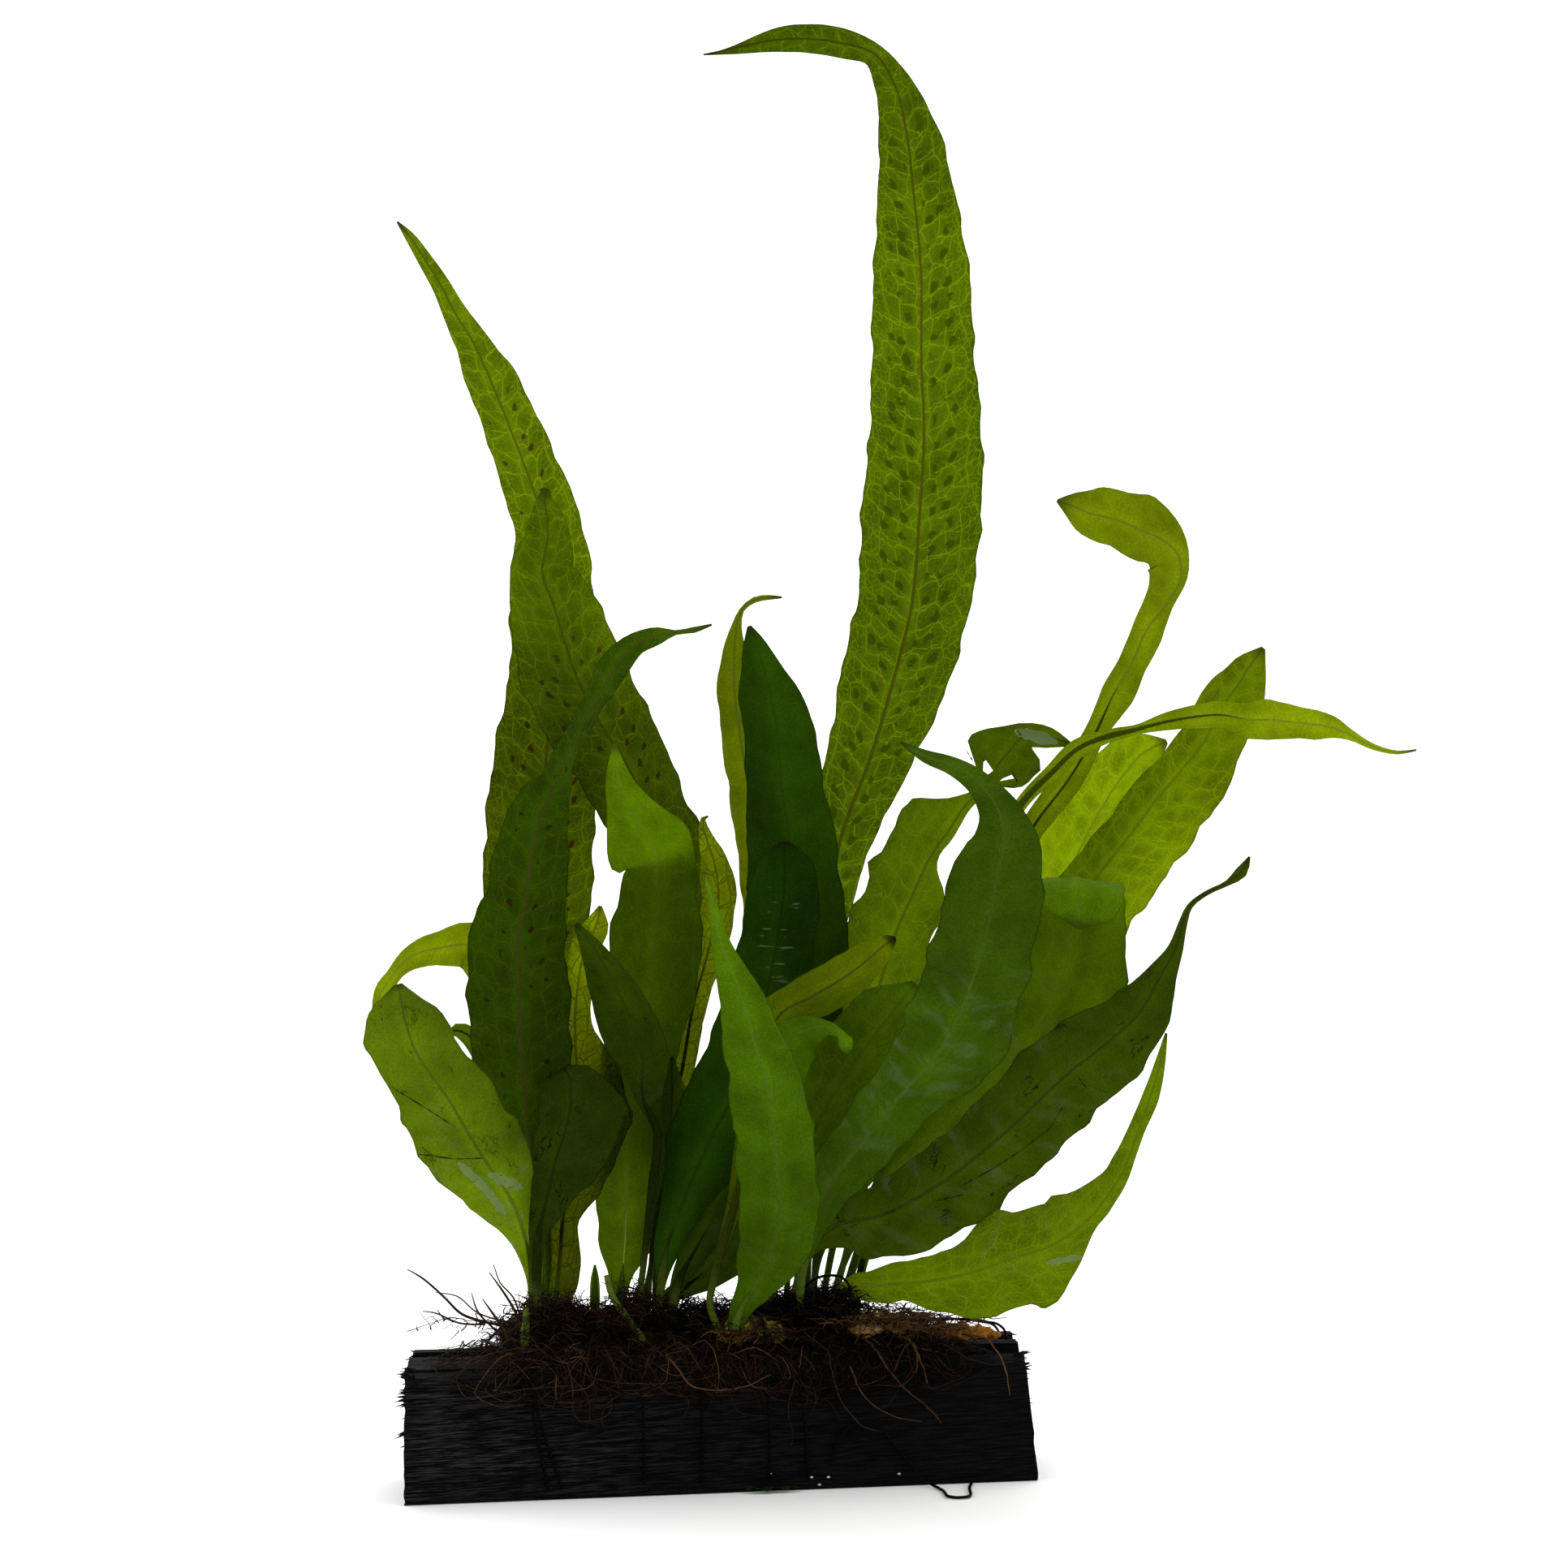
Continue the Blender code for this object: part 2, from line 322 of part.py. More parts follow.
        (16, 4, 33.5, 0.6, 0.6, 0), (17.5, -2, 48.5, 1, 1, 0), (19, -4, 60, 3.2, 3.2, 0),
        (22.5, -6, 70.5, 6.3, 6.3, 0), (27.5, -8, 79, 8.2, 8.2, 0), (33, -9, 87, 8.2, 8.2, 0),
        (38, -10, 93.5, 6, 6, 0), (41.5, -10, 98, 0.8, 0.8, 0),
    ),
    "frond_low_behind": (
        (21.5, 3, 34, 0.6, 0.6, 0), (22.5, 2, 43.5, 1, 1, 0), (26, 2, 54.5, 3.5, 3.5, 0),
        (31.5, 2, 64, 4.8, 4.8, 0), (38, 2, 73.5, 5, 5, 0), (44, 2, 83.5, 4, 4, 0),
        (48, 2, 91.5, 0.8, 0.8, 0),
    ),
    "frond_torn": (
        (20.5, 7, 34, 0.6, 0.6, 0), (21, 6, 47.5, 1, 1, 0), (24, 7, 63.5, 3.2, 3.2, 0),
        (28.5, 9, 79.5, 6.5, 6.5, 0), (34.5, 11, 95.5, 9.4, 8.4, 0), (39, 13, 109, 9.8, 7.5, 0),
        (42, 14, 115.5, 9.6, 6.5, 0), (45, 14, 122, 9.6, 1.9, 0), (49.5, 14, 128.5, 9, 1.5, 0),
        (52.5, 14, 133, 2.3, 1.3, 0), (54.5, 14, 135, 1, 1.3, 0), (56, 14, 137.5, 1.6, 1.9, 0),
        (58.5, 15, 140.5, 7.5, 7.1, 0), (61.5, 15, 144, 6.5, 7.1, 0), (64, 16, 146.6, 2.6, 3.4, 0),
        (69, 16, 146.2, 2, 2.4, 0), (73.5, 16, 144.6, 0.4, 0.4, 0),
    ),
    "frond_hooked": (
        (23, 11, 34, 0.6, 0.6, 0), (27, 14, 50, 0.8, 0.8, 0), (36, 18, 74.5, 1.3, 1.3, 0),
        (47.5, 20, 95.5, 2, 2, 0), (57.5, 21, 113.5, 2.5, 2.5, 0), (67, 22, 129.5, 2.6, 2.6, 0),
        (73.5, 23, 138, 2.9, 2.9, 0), (79, 24, 147.5, 2.3, 2.3, 0), (82.5, 24, 155, 2.6, 4, 0),
        (86, 24, 161, 2.8, 3.3, 0), (89.5, 24, 168.5, 3.1, 3.4, 0), (93, 24, 173, 4.9, 1.6, 0),
        (96, 24, 178.5, 6.6, 1.3, 0), (95.5, 24, 183, 6.9, 2.4, 0), (92.5, 24, 186, 5.9, 5, 0),
        (88, 24, 188, 5.9, 7.1, 0), (83.5, 24, 190, 5.6, 6.2, 0), (77.5, 24, 191.5, 4.6, 5.2, 0),
        (74, 24, 193, 2.6, 2.9, 0), (71, 24, 194, 0.3, 0.3, 0),
    ),
    "frond_long_right": (
        (25, 8, 34, 0.6, 0.6, 0), (32.5, 8, 59, 0.8, 0.8, 0), (42.5, 8, 86, 1, 1, 0),
        (52, 8, 112, 1.1, 1.1, 0), (60, 8, 128, 1.1, 1.1, 0), (63.5, 8, 133.5, 1.3, 1.3, 0),
        (69, 8, 139, 1.6, 1.6, 0), (74.5, 8, 144, 1.9, 1.9, 0), (81, 8, 146.5, 1.3, 1.3, 0),
        (85.5, 8, 147.5, 1.3, 1.3, 40), (91, 7, 149, 2, 2, 30), (96.5, 7, 150, 2.4, 2.4, 20),
        (102.5, 6, 150.5, 2.8, 2.8, 10), (108, 5, 149.5, 3.6, 3.6, 0), (112, 5, 149.5, 3.9, 3.9, 0),
        (116.5, 4, 149, 3.4, 3.4, 0), (121, 3, 148.5, 2.9, 2.9, 0), (124, 3, 148, 2.2, 2.2, 0),
        (127.5, 2, 146.5, 1.1, 1.1, 0), (132.5, 2, 144, 0.6, 0.6, 0), (137, 1, 143, 0.4, 0.4, 0),
        (140.5, 1, 143.5, 0.2, 0.2, 0),
    ),
    "frond_bright_right": (
        (26.5, 11, 34, 0.7, 0.7, 0), (33.5, 17, 50, 1.3, 1.3, 0), (42.5, 21, 66, 3.6, 3.6, 0),
        (54.5, 25, 82, 6.9, 6.9, 0), (65, 28, 97.5, 7.9, 9.9, 0), (73.5, 30, 109, 7.3, 11.2, 0),
        (80, 31, 118.5, 5.9, 11.3, 0), (86, 32, 126, 5.6, 11, 0), (92.5, 32, 134.5, 5.6, 10.7, 0),
        (97.5, 32, 140.5, 5, 10, 0), (101.5, 32, 145.5, 5.3, 8.3, 0), (105, 32, 152.5, 5, 6.9, 0),
        (108, 32, 156.5, 4.6, 6.6, 0), (110.5, 32, 160.5, 3.3, 4.2, 0), (113.5, 32, 164.5, 0.5, 0.5, 0),
    ),
    "frond_broad_right": (
        (29, 12.5, 34.5, 0.7, 0.7, 0), (36, 22, 53, 1.6, 1.6, 0), (46, 28, 70.5, 4.9, 4.9, 0),
        (57, 33, 90, 8.3, 8.3, 0), (66.5, 36, 106.5, 9.1, 9.1, 0), (74.5, 38, 119.5, 8.6, 8.6, 0),
        (80.5, 39, 131, 8.3, 8.3, 0), (85.5, 40, 138.5, 7.3, 7, 0), (90, 40, 143.5, 4.3, 5.2, 0),
        (94.5, 40, 145.5, 0.5, 0.5, 0),
    ),
    "frond_front_right": (
        (19, -1.5, 33.5, 0.8, 0.8, 0), (19.5, -9, 42.5, 1.1, 1.1, 0), (21.5, -13, 51, 2.8, 2.8, 0),
        (25.5, -18, 60.5, 5.2, 5.2, 0), (32, -22, 69, 6.6, 6.6, 0), (38.5, -27, 77.5, 7.1, 7.1, 0),
        (46, -34, 87, 9.2, 11, 0), (51, -40, 98.5, 9.8, 10, 0), (54.5, -45, 112, 9.3, 9.3, 0),
        (56, -48, 121, 8.6, 8.6, 0), (57, -50, 127, 6, 6, 0), (55.5, -51, 132.5, 3.8, 3.8, 0),
        (52, -52, 137, 2.4, 2.4, 0), (47.5, -53, 140, 1.8, 1.8, 0), (42, -54, 142, 1.2, 1.2, 0),
        (37.5, -55, 144.5, 0.2, 0.2, 0),
    ),
    "frond_folded_right": (
        (24, 4, 34, 0.6, 0.6, 0), (29.5, 2, 46.5, 1, 1, 0), (39, 0, 61, 4, 4, 0),
        (50, -3, 72.5, 8, 8, 0), (61, -6, 84, 10.3, 10.3, 0), (67.5, -9, 93.5, 11.1, 11.1, 0),
        (71, -11, 102, 11.1, 11.7, 0), (72, -13, 109.5, 8.8, 10.4, 0), (72.5, -15, 114.5, 7.9, 9.4, 0),
        (72, -17, 117.5, 7.5, 9.1, 0), (72.2, -21, 118.8, 8, 9, 0), (72.4, -25, 117, 8.2, 8.8, 0),
        (72.4, -27, 113.5, 7.6, 8, 0), (72.2, -28, 110.8, 4, 5, 0), (72, -28.4, 109.2, 0.5, 0.5, 0),
    ),
    "frond_low_right": (
        (16.5, -0.5, 34, 0.7, 0.7, 0), (18.5, -3.5, 39, 0.8, 0.8, 0), (21.5, -5, 46.5, 1.9, 1.9, 0),
        (26, -7, 50.5, 4.3, 6, 0), (34, -10, 52.5, 6.3, 9, 0), (45, -14, 58.5, 7.4, 10.4, 0),
        (57.5, -18, 68.5, 8.1, 9.8, 0), (71, -22, 81.5, 9.2, 9.2, 0), (79, -24, 88, 8.1, 8.1, 0),
        (84, -26, 93, 6.1, 6.1, 0), (87.6, -27, 99.5, 3.4, 3.4, 0), (90.7, -28, 105.5, 1.5, 1.5, 0),
        (92, -28, 110, 0.9, 0.9, 0), (93.3, -29, 113.5, 0.6, 0.6, 0), (96.5, -29, 116, 0.5, 0.5, 0),
        (100.5, -30, 118, 0.6, 0.6, 0), (103, -30, 120, 1.2, 1.2, 0), (104.5, -31, 123, 0.2, 0.2, 0),
    ),
    "frond_bottom_right": (
        (26, 6, 34, 0.8, 0.8, 0), (26.8, 5.4, 35.6, 1.2, 1.3, 0), (29.5, 3, 37.4, 2.4, 3.2, 0),
        (34, 0, 38, 5, 4.4, 0), (37.5, -2, 38.5, 5.4, 4.6, 0), (45, -5, 39.5, 6.6, 8.4, 0),
        (53, -8, 41.5, 8.2, 11.2, 0), (60.5, -11, 44.5, 11.8, 12.8, 0), (67.5, -13, 47, 11.4, 9.6, 0),
        (73, -14, 50.5, 10.3, 3.5, 0), (78, -15, 56, 6, 2.2, 0), (82, -15, 62.5, 3.8, 1.5, 0),
        (84.5, -15, 69.5, 2.5, 1.4, 0), (87, -15, 76.5, 1.9, 1.9, 0), (89, -14, 83.5, 1.1, 1.1, 0),
        (90, -14, 88.5, 0.3, 0.3, 0),
    ),
    "frond_curl_right": (
        (30.5, 7, 35, 0.5, 0.5, 0), (31, 5.5, 40, 0.6, 0.6, 0), (32, 4, 43.5, 1, 1, 0),
        (34.5, 3, 44.5, 0.6, 0.6, 0), (36.5, 2, 46, 0.2, 0.2, 0),
    ),
    "young_shoot": (
        (-21, -8, 34.5, 0.7, 0.7, 0), (-21, -8, 37.5, 1, 1, 0), (-21, -8, 40.5, 0.8, 0.8, 0),
        (-21, -8, 43, 0.2, 0.2, 0),
    ),
}


def clear_scene():
    for old in list(bpy.data.objects):
        bpy.data.objects.remove(old)


def principled(finish):
    name, colour, roughness = finish
    material = bpy.data.materials.get(name)
    if material is None:
        material = bpy.data.materials.new(name)
        material.use_nodes = True
        shader = material.node_tree.nodes["Principled BSDF"]
        shader.inputs["Base Color"].default_value = (*colour, 1.0)
        shader.inputs["Roughness"].default_value = roughness
        material.diffuse_color = (*colour, 1.0)
    return material


def place(name, data, finish, parent=None):
    piece = bpy.data.objects.new(name, data)
    data.materials.append(principled(finish))
    bpy.context.scene.collection.objects.link(piece)
    piece.parent = parent
    return piece


def loft(name, rings, finish, parent=None, smooth=True):
    """Joins closed rings of points into one skin with flat ends."""
    bm = bmesh.new()
    loops = [[bm.verts.new(point) for point in ring] for ring in rings]
    for near, far in zip(loops, loops[1:]):
        for i, corner in enumerate(near):
            j = (i + 1) % len(near)
            bm.faces.new((corner, near[j], far[j], far[i]))
    bm.faces.new(loops[0][::-1])
    bm.faces.new(loops[-1])
    bmesh.ops.recalc_face_normals(bm, faces=bm.faces[:])
    mesh = bpy.data.meshes.new(name)
    bm.to_mesh(mesh)
    bm.free()
    if smooth:
        mesh.shade_smooth()
        mesh.set_sharp_from_angle(angle=math.radians(50))
    return place(name, mesh, finish, parent)


def smooth_rows(stations, spacing):
    """A smooth curve through the stations, with the widths and the twist carried along."""
    rows = np.array(stations, float)
    chords = np.linalg.norm(np.diff(rows[:, :3], axis=0), axis=1)
    slopes = np.diff(rows, axis=0) / chords[:, None]
    tangents = np.vstack([slopes[:1], slopes, slopes[-1:]])
    weights = np.concatenate([chords[:1], chords, chords[-1:]])
    near, far = weights[:-1, None], weights[1:, None]
    tangents = (tangents[:-1] * far + tangents[1:] * near) / (near + far)
    out = []
    for i, chord in enumerate(chords):
        steps = max(1, round(chord / spacing))
        for t in np.arange(steps) / steps:
            ease = 3 * t ** 2 - 2 * t ** 3
            pull = (t ** 3 - 2 * t ** 2 + t) * tangents[i] + (t ** 3 - t ** 2) * tangents[i + 1]
            out.append((1 - ease) * rows[i] + ease * rows[i + 1] + chord * pull)
    out.append(rows[-1])
    return np.array(out)


def frames_along(points, start=(0.0, -1.0, 0.0)):
    """Tangents, and sides and normals that turn as little as they can along the curve."""
    tangents = np.gradient(points, axis=0)
    tangents /= np.linalg.norm(tangents, axis=1)[:, None]
    normal = np.array(start)
    normals = []
    for i, tangent in enumerate(tangents):
        if i:
            chord = points[i] - points[i - 1]
            normal = normal - 2 * chord.dot(normal) / chord.dot(chord) * chord
            mirrored = tangents[i - 1] - 2 * chord.dot(tangents[i - 1]) / chord.dot(chord) * chord
            turn = tangent - mirrored
            if turn.dot(turn) > 1e-12:
                normal = normal - 2 * turn.dot(normal) / turn.dot(turn) * turn
        normal = normal - normal.dot(tangent) * tangent
        normal = normal / np.linalg.norm(normal)
        normals.append(normal)
    normals = np.array(normals)
    return tangents, np.cross(tangents, normals), normals


def tube(name, points, radii, finish, parent=None, sides=6):
    """A round bar along the points, in metres."""
    tangents, across, normals = frames_along(points, start=(0.3, -0.9, 0.1))
    rings = []
    for point, side, normal, radius in zip(points, across, normals, radii):
        angles = 2 * math.pi * np.arange(sides) / sides
        rings.append([point + radius * (math.cos(a) * side + math.sin(a) * normal) for a in angles])
    return loft(name, rings, finish, parent)


def inner_limit(points, sides, tangents):
    """How wide a blade may be on each side before its bend folds it over itself."""
    lengths = np.concatenate([[0], np.cumsum(np.linalg.norm(np.diff(points, axis=0), axis=1))])
    bend = np.gradient(tangents, axis=0) / np.gradient(lengths)[:, None]
    toward_side = (bend * sides).sum(axis=1)
    limit = 0.85 / np.maximum(np.abs(toward_side), 1e-6)
    free = np.full(len(points), 1.0)
    return np.where(toward_side < 0, limit, free), np.where(toward_side > 0, limit, free)


def frond(name, stations, parent):
    """A thin blade, thickest along its midrib, that narrows into its stalk."""
    stations = [list(station) for station in stations]
    stations[0][2] = seat_height(stations[0]) or stations[0][2]
    rows = smooth_rows(stations, RING_SPACING / MM)
    points = rows[:, :3] * MM
    tangents, sides, normals = frames_along(points)
    left_limit, right_limit = inner_limit(points, sides, tangents)
    lefts = np.minimum(np.maximum(rows[:, 3], 0.2) * MM, left_limit)
    rights = np.minimum(np.maximum(rows[:, 4], 0.2) * MM, right_limit)
    rings = []
    for i, point in enumerate(points):
        along = i / (len(points) - 1)
        twist = math.radians(rows[i, 5])
        across = sides[i] * math.cos(twist) + normals[i] * math.sin(twist)
        front = normals[i] * math.cos(twist) - sides[i] * math.sin(twist)
        width = (lefts[i] + rights[i]) / 2
        rib = STALK_THICKNESS + (TIP_THICKNESS - STALK_THICKNESS) * along
        rib = max(MARGIN_THICKNESS, min(rib, 2 * width)) / 2
        blade = min(1.0, max(0.0, (width - 0.0012) / 0.002))
        margin = rib * 0.55 * (1 - blade) + MARGIN_THICKNESS / 2 * blade
        cup = BLADE_CUP * width * blade
        rings.append([
            point - lefts[i] * across + (cup + margin) * front,
            point + rib * front,
            point + rights[i] * across + (cup + margin) * front,
            point + rights[i] * across + (cup - margin) * front,
            point - rib * front,
            point - lefts[i] * across + (cup - margin) * front,
        ])
    return loft(name, rings, FROND_FINISH[name], parent)


def block_rings():
    """Sections of the block in the YZ plane, with broken fibres at its upper corners."""
    half = BLOCK_DEPTH / 2
    top = BLOCK_HEIGHT
    foot = 0.0006
    groove_back = GROOVE_FRONT + GROOVE_WIDTH
    profile = [
        (-half + foot, 0), (-half, foot), (-half, top - FRONT_BEVEL), (-half + 0.0004, top - 0.0022),
        (-half + 0.0014, top - 0.0012), (-half + 0.0028, top - 0.0006), (CRACK_FRONT, top - 0.0004),
        (CRACK_FRONT + 0.0002, top - CRACK_DROP), (CRACK_FRONT + CRACK_WIDTH - 0.0002, top - CRACK_DROP),
        (CRACK_FRONT + CRACK_WIDTH, top), (GROOVE_FRONT, top),
        (GROOVE_FRONT + 0.0004, top - GROOVE_DROP), (groove_back - 0.0004, top - GROOVE_DROP),
        (groove_back, top), (half - BACK_BEVEL, top), (half, top - BACK_BEVEL), (half, foot),
        (half - foot, 0),
    ]
    end = BLOCK_LENGTH / 2
    rings = []
    for x, splinter in ((-end, -0.0018), (-end + 0.004, 0), (end - 0.006, 0), (end, 0.0012)):
        ring = []
        for y, z in profile:
            lean = -RIGHT_END_LEAN * z / top if x == end else 0
            frayed = splinter if z > top - 0.0030 and y < CRACK_FRONT else 0
            ring.append((x + lean + frayed + (y + half) * END_SLANT, y, z))
        rings.append(ring)
    return rings


def rhizome_rings(stations, seed, sides=10):
    """Uneven ovals across X, lumpy where old stalks broke off."""
    rng = random.Random(seed)
    rings = []
    for x, y, z, half_width, half_height in stations:
        ring = []
        for i in range(sides):
            angle = 2 * math.pi * i / sides
            lump = 1 - 0.12 * rng.random()
            ring.append((x * MM, (y + half_width * lump * math.cos(angle)) * MM,
                         (z + half_height * lump * math.sin(angle)) * MM))
        rings.append(ring)
    return np.array(rings)


def section_at(rings, x):
    """The ring of a loft along X at one x, or None beyond its ends."""
    stops = rings[:, 0, 0]
    if not stops[0] <= x <= stops[-1]:
        return None
    i = min(int(np.searchsorted(stops, x, side="right")) - 1, len(stops) - 2)
    t = (x - stops[i]) / (stops[i + 1] - stops[i])
    return rings[i] * (1 - t) + rings[i + 1] * t


def top_of(rings, x, y):
    """The height of a loft's upper side at one point, or None beside it."""
    section = section_at(rings, x)
    if section is None:
        return None
    heights = []
    for a, b in zip(section, np.roll(section, -1, axis=0)):
        if min(a[1], b[1]) <= y <= max(a[1], b[1]) and a[1] != b[1]:
            heights.append(a[2] + (b[2] - a[2]) * (y - a[1]) / (b[1] - a[1]))
    return max(heights) if heights else None


def seat_height(station):
    """Where a stalk at this place stands, in mm: just above the rhizome below it."""
    x, y = to_block(station)[:2]
    reach = 1.4 * station[3] * MM
    around = ((0, 0), (reach, 0), (-reach, 0), (0, reach), (0, -reach))
    heights = [top_of(rings, x + dx, y + dy) for rings in RHIZOMES.values() for dx, dy in around]
    heights = [height for height in heights if height is not None]
    return (max(heights) + GAP) / MM if heights else None


def to_block(point):
    """From the plant's frame in mm to the block's frame in metres."""
    across, back, up = (value * MM for value in point[:3])
    turn_cos, turn_sin = math.cos(PLANT_TURN), math.sin(PLANT_TURN)
    return across * turn_cos + back * turn_sin, back * turn_cos - across * turn_sin, up


def half_width_near(x, back):
    """How far the rhizome reaches to the front or the back near one x, in mm."""
    reach = [0.8]
    for rings in (RHIZOMES["rhizome_main"], RHIZOMES["rhizome_tip"]):
        for nearby in np.arange(x - 6, x + 7, 2):
            section = section_at(rings, nearby * MM)
            if section is not None:
                reach.append((section[:, 1].max() if back else -section[:, 1].min()) / MM)
    return max(reach)


def mat_rings(stations, back, seed):
    """A mat of roots that hugs the block's top, its long edge and the face below it."""
    rng = random.Random(seed)
    side = 1 if back else -1
    edge = BLOCK_DEPTH / 2 / MM
    bed = (BLOCK_HEIGHT + GAP) / MM
    face = edge + GAP / MM
    shoulder = [(edge - 1.4, bed - 0.7), (edge - 0.1, bed - 2.1)]
    if back:
        shoulder = [(edge - 0.6, bed), (face, bed - 1)]
    rings = []
    for x, cover_top, cover_edge, cover_face, fringe in stations:
        inner = half_width_near(x, back) + MAT_CLEARANCE
        uneven = [1 + MAT_UNEVENNESS * (rng.random() - 0.5) for _ in range(6)]
        lining = [(inner, bed), (edge - 3.5, bed), *shoulder, (face, bed - MAT_SHOULDER), (face, fringe)]
        cover = [
            (face + 0.4, fringe),
            (face + cover_face * uneven[0], (fringe + bed) / 2 - 1),
            (face + cover_face * uneven[1] * 1.2, bed - 2.6),
            (edge - 0.2 + cover_edge * uneven[2] * 0.8, bed - 0.4 + cover_edge * 0.3),
            (edge - 2.2, bed + cover_edge * uneven[3]),
            ((inner + edge) / 2, bed + cover_top * uneven[4]),
            (inner + 0.8, bed + cover_top * uneven[5]),
            (inner, bed + cover_top * 0.6),
        ]
        rings.append([(x * MM, side * y * MM, z * MM) for y, z in lining + cover])
    return np.array(rings)


def convex_chain(points):
    """The upper convex hull of points in a plane, from the greatest first value to the least."""
    points = sorted(set(points), reverse=True)
    chain = []
    for p in points:
        while len(chain) > 1:
            a, b = chain[-2], chain[-1]
            if (b[0] - a[0]) * (p[1] - a[1]) - (b[1] - a[1]) * (p[0] - a[0]) > 0:
                break
            chain.pop()
        chain.append(p)
    return chain


def way_over(points):
    """The convex hull of points in a plane, from its first lowest corner over the top to its last."""
    over = convex_chain(points)[::-1]
    under = [(-a, -b) for a, b in convex_chain([(-a, -b) for a, b in points])]
    lowest = min(b for _, b in under)
    feet = [k for k, (_, b) in enumerate(under) if b < lowest + 1e-9]
    return under[feet[0]::-1] + over[1:-1] + under[:feet[-1] - 1:-1]


def tie_points(x_on_face):
    """A taut thread from the block's front foot over the plant to its back foot."""
    x_top = x_on_face[-1]
    reach = GAP * 1.5 + THREAD_RADIUS
    half = BLOCK_DEPTH / 2
    under = [
        (-half, TIE_FOOT), (half, TIE_FOOT),
        (-half, BLOCK_HEIGHT - FRONT_BEVEL), (half, BLOCK_HEIGHT - BACK_BEVEL),
    ]
    for rings in (*RHIZOMES.values(), FRONT_MAT_RINGS, BACK_MAT_RINGS):
        for x in (x_top * MM - THREAD_RADIUS * 2, x_top * MM, x_top * MM + THREAD_RADIUS * 2):
            section = section_at(rings, x)
            if section is not None:
                under += [(y, z) for _, y, z in section]
    around = []
    for y, z in under:
        around += [(y + reach * math.cos(a), z + reach * math.sin(a)) for a in np.arange(8) * math.pi / 4]
    # The ends, a hair outside the rest of the hull.
    around += [(-half - reach - 1e-6, TIE_FOOT), (half + reach + 1e-6, TIE_FOOT)]
    chain = way_over([spot for spot in around if spot[1] >= TIE_FOOT])
    kept = [chain[0]]
    for spot in chain[1:]:
        if math.dist(spot, kept[-1]) > TIE_SPACING:
            kept.append(spot)
    points = []
    for y, z in kept:
        x = np.interp(z / MM, TIE_HEIGHTS, x_on_face) if y < 0 else x_top
        points.append((x * MM, y, z))
    return np.array(points)


def scrap_rings():
    """A flat sliver of leaf on its edge beside the block's foot."""
    half = SCRAP_THICKNESS / 2
    rings = []
    for x, y, z, half_width in SCRAP:
        corners = ((-1, -0.4), (0, -1), (1, -0.4), (1, 0.4), (0, 1), (-1, 0.4))
        rings.append([(x * MM, (y + half_width * a) * MM, z * MM + half * b) for a, b in corners])
    return rings


def tail_curve():
    """The loose end of thread: up the block's face in an arc, then out over the ground."""
    rows = smooth_rows(TIE_TAIL, TAIL_SPACING / MM)
    curve = bpy.data.curves.new("tie_tail", "CURVE")
    curve.dimensions = "3D"
    curve.bevel_depth = TAIL_RADIUS
    curve.bevel_resolution = 2
    curve.use_fill_caps = True
    spline = curve.splines.new("POLY")
    spline.points.add(len(rows) - 1)
    for point, row in zip(spline.points, rows):
        point.co = (*(row * MM), 1.0)
    return place("tie_tail", curve, THREAD_BLACK)


RHIZOMES = {
    "rhizome_main": rhizome_rings(RHIZOME_MAIN, seed=1),
    "rhizome_front": rhizome_rings(RHIZOME_FRONT, seed=2),
    "rhizome_right": rhizome_rings(RHIZOME_RIGHT, seed=3),
    "rhizome_tip": rhizome_rings(RHIZOME_TIP, seed=4),
}
RHIZOME_FINISH = {
    "rhizome_main": RHIZOME_GREEN,
    "rhizome_front": RHIZOME_OCHRE,
    "rhizome_right": RHIZOME_OCHRE,
    "rhizome_tip": RHIZOME_OCHRE,
}
FRONT_MAT_RINGS = mat_rings(FRONT_MAT, back=False, seed=5)
BACK_MAT_RINGS = mat_rings(BACK_MAT, back=True, seed=6)


def build():
    clear_scene()
    plant = bpy.data.objects.new("plant", None)
    bpy.context.scene.collection.objects.link(plant)
    plant.rotation_euler = (0, 0, -PLANT_TURN)

    loft("wood_block", block_rings(), WOOD, smooth=False)
    for name, rings in RHIZOMES.items():
        loft(name, rings, RHIZOME_FINISH[name])
    loft("root_mat_front", FRONT_MAT_RINGS, ROOT_BROWN)
    loft("root_mat_back", BACK_MAT_RINGS, ROOT_BROWN)
    for name, stations in AERIAL_ROOTS.items():
        rows = smooth_rows(stations, RING_SPACING / 2 / MM) * MM
        tube(name, rows[:, :3], rows[:, 3], ROOT_BROWN, plant, sides=5)
    for name, stations in CUT_STALKS.items():
        rows = smooth_rows(stations, RING_SPACING / 2 / MM) * MM
        tube(name, rows[:, :3], rows[:, 3], STALK_GREEN, plant)
    for name, stations in FRONDS.items():
        frond(name, stations, plant)
    for name, x_on_face in TIES.items():
        points = tie_points(x_on_face)
        tube(name, points, [THREAD_RADIUS] * len(points), THREAD_BLACK, sides=5)
    for name, route in (("tie_loop", TIE_LOOP), ("tie_end", TIE_END)):
        points = smooth_rows(route, RING_SPACING / MM) * MM
        tube(name, points, [THREAD_RADIUS] * len(points), THREAD_BLACK, sides=5)
    loft("leaf_scrap", scrap_rings(), LEAF_DARK)
    tail_curve()


build()
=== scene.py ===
"""The looks of a java fern tied onto a sawn block of dark driftwood."""
import math
import random

import bmesh
import bpy
import numpy as np
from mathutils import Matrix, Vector, noise


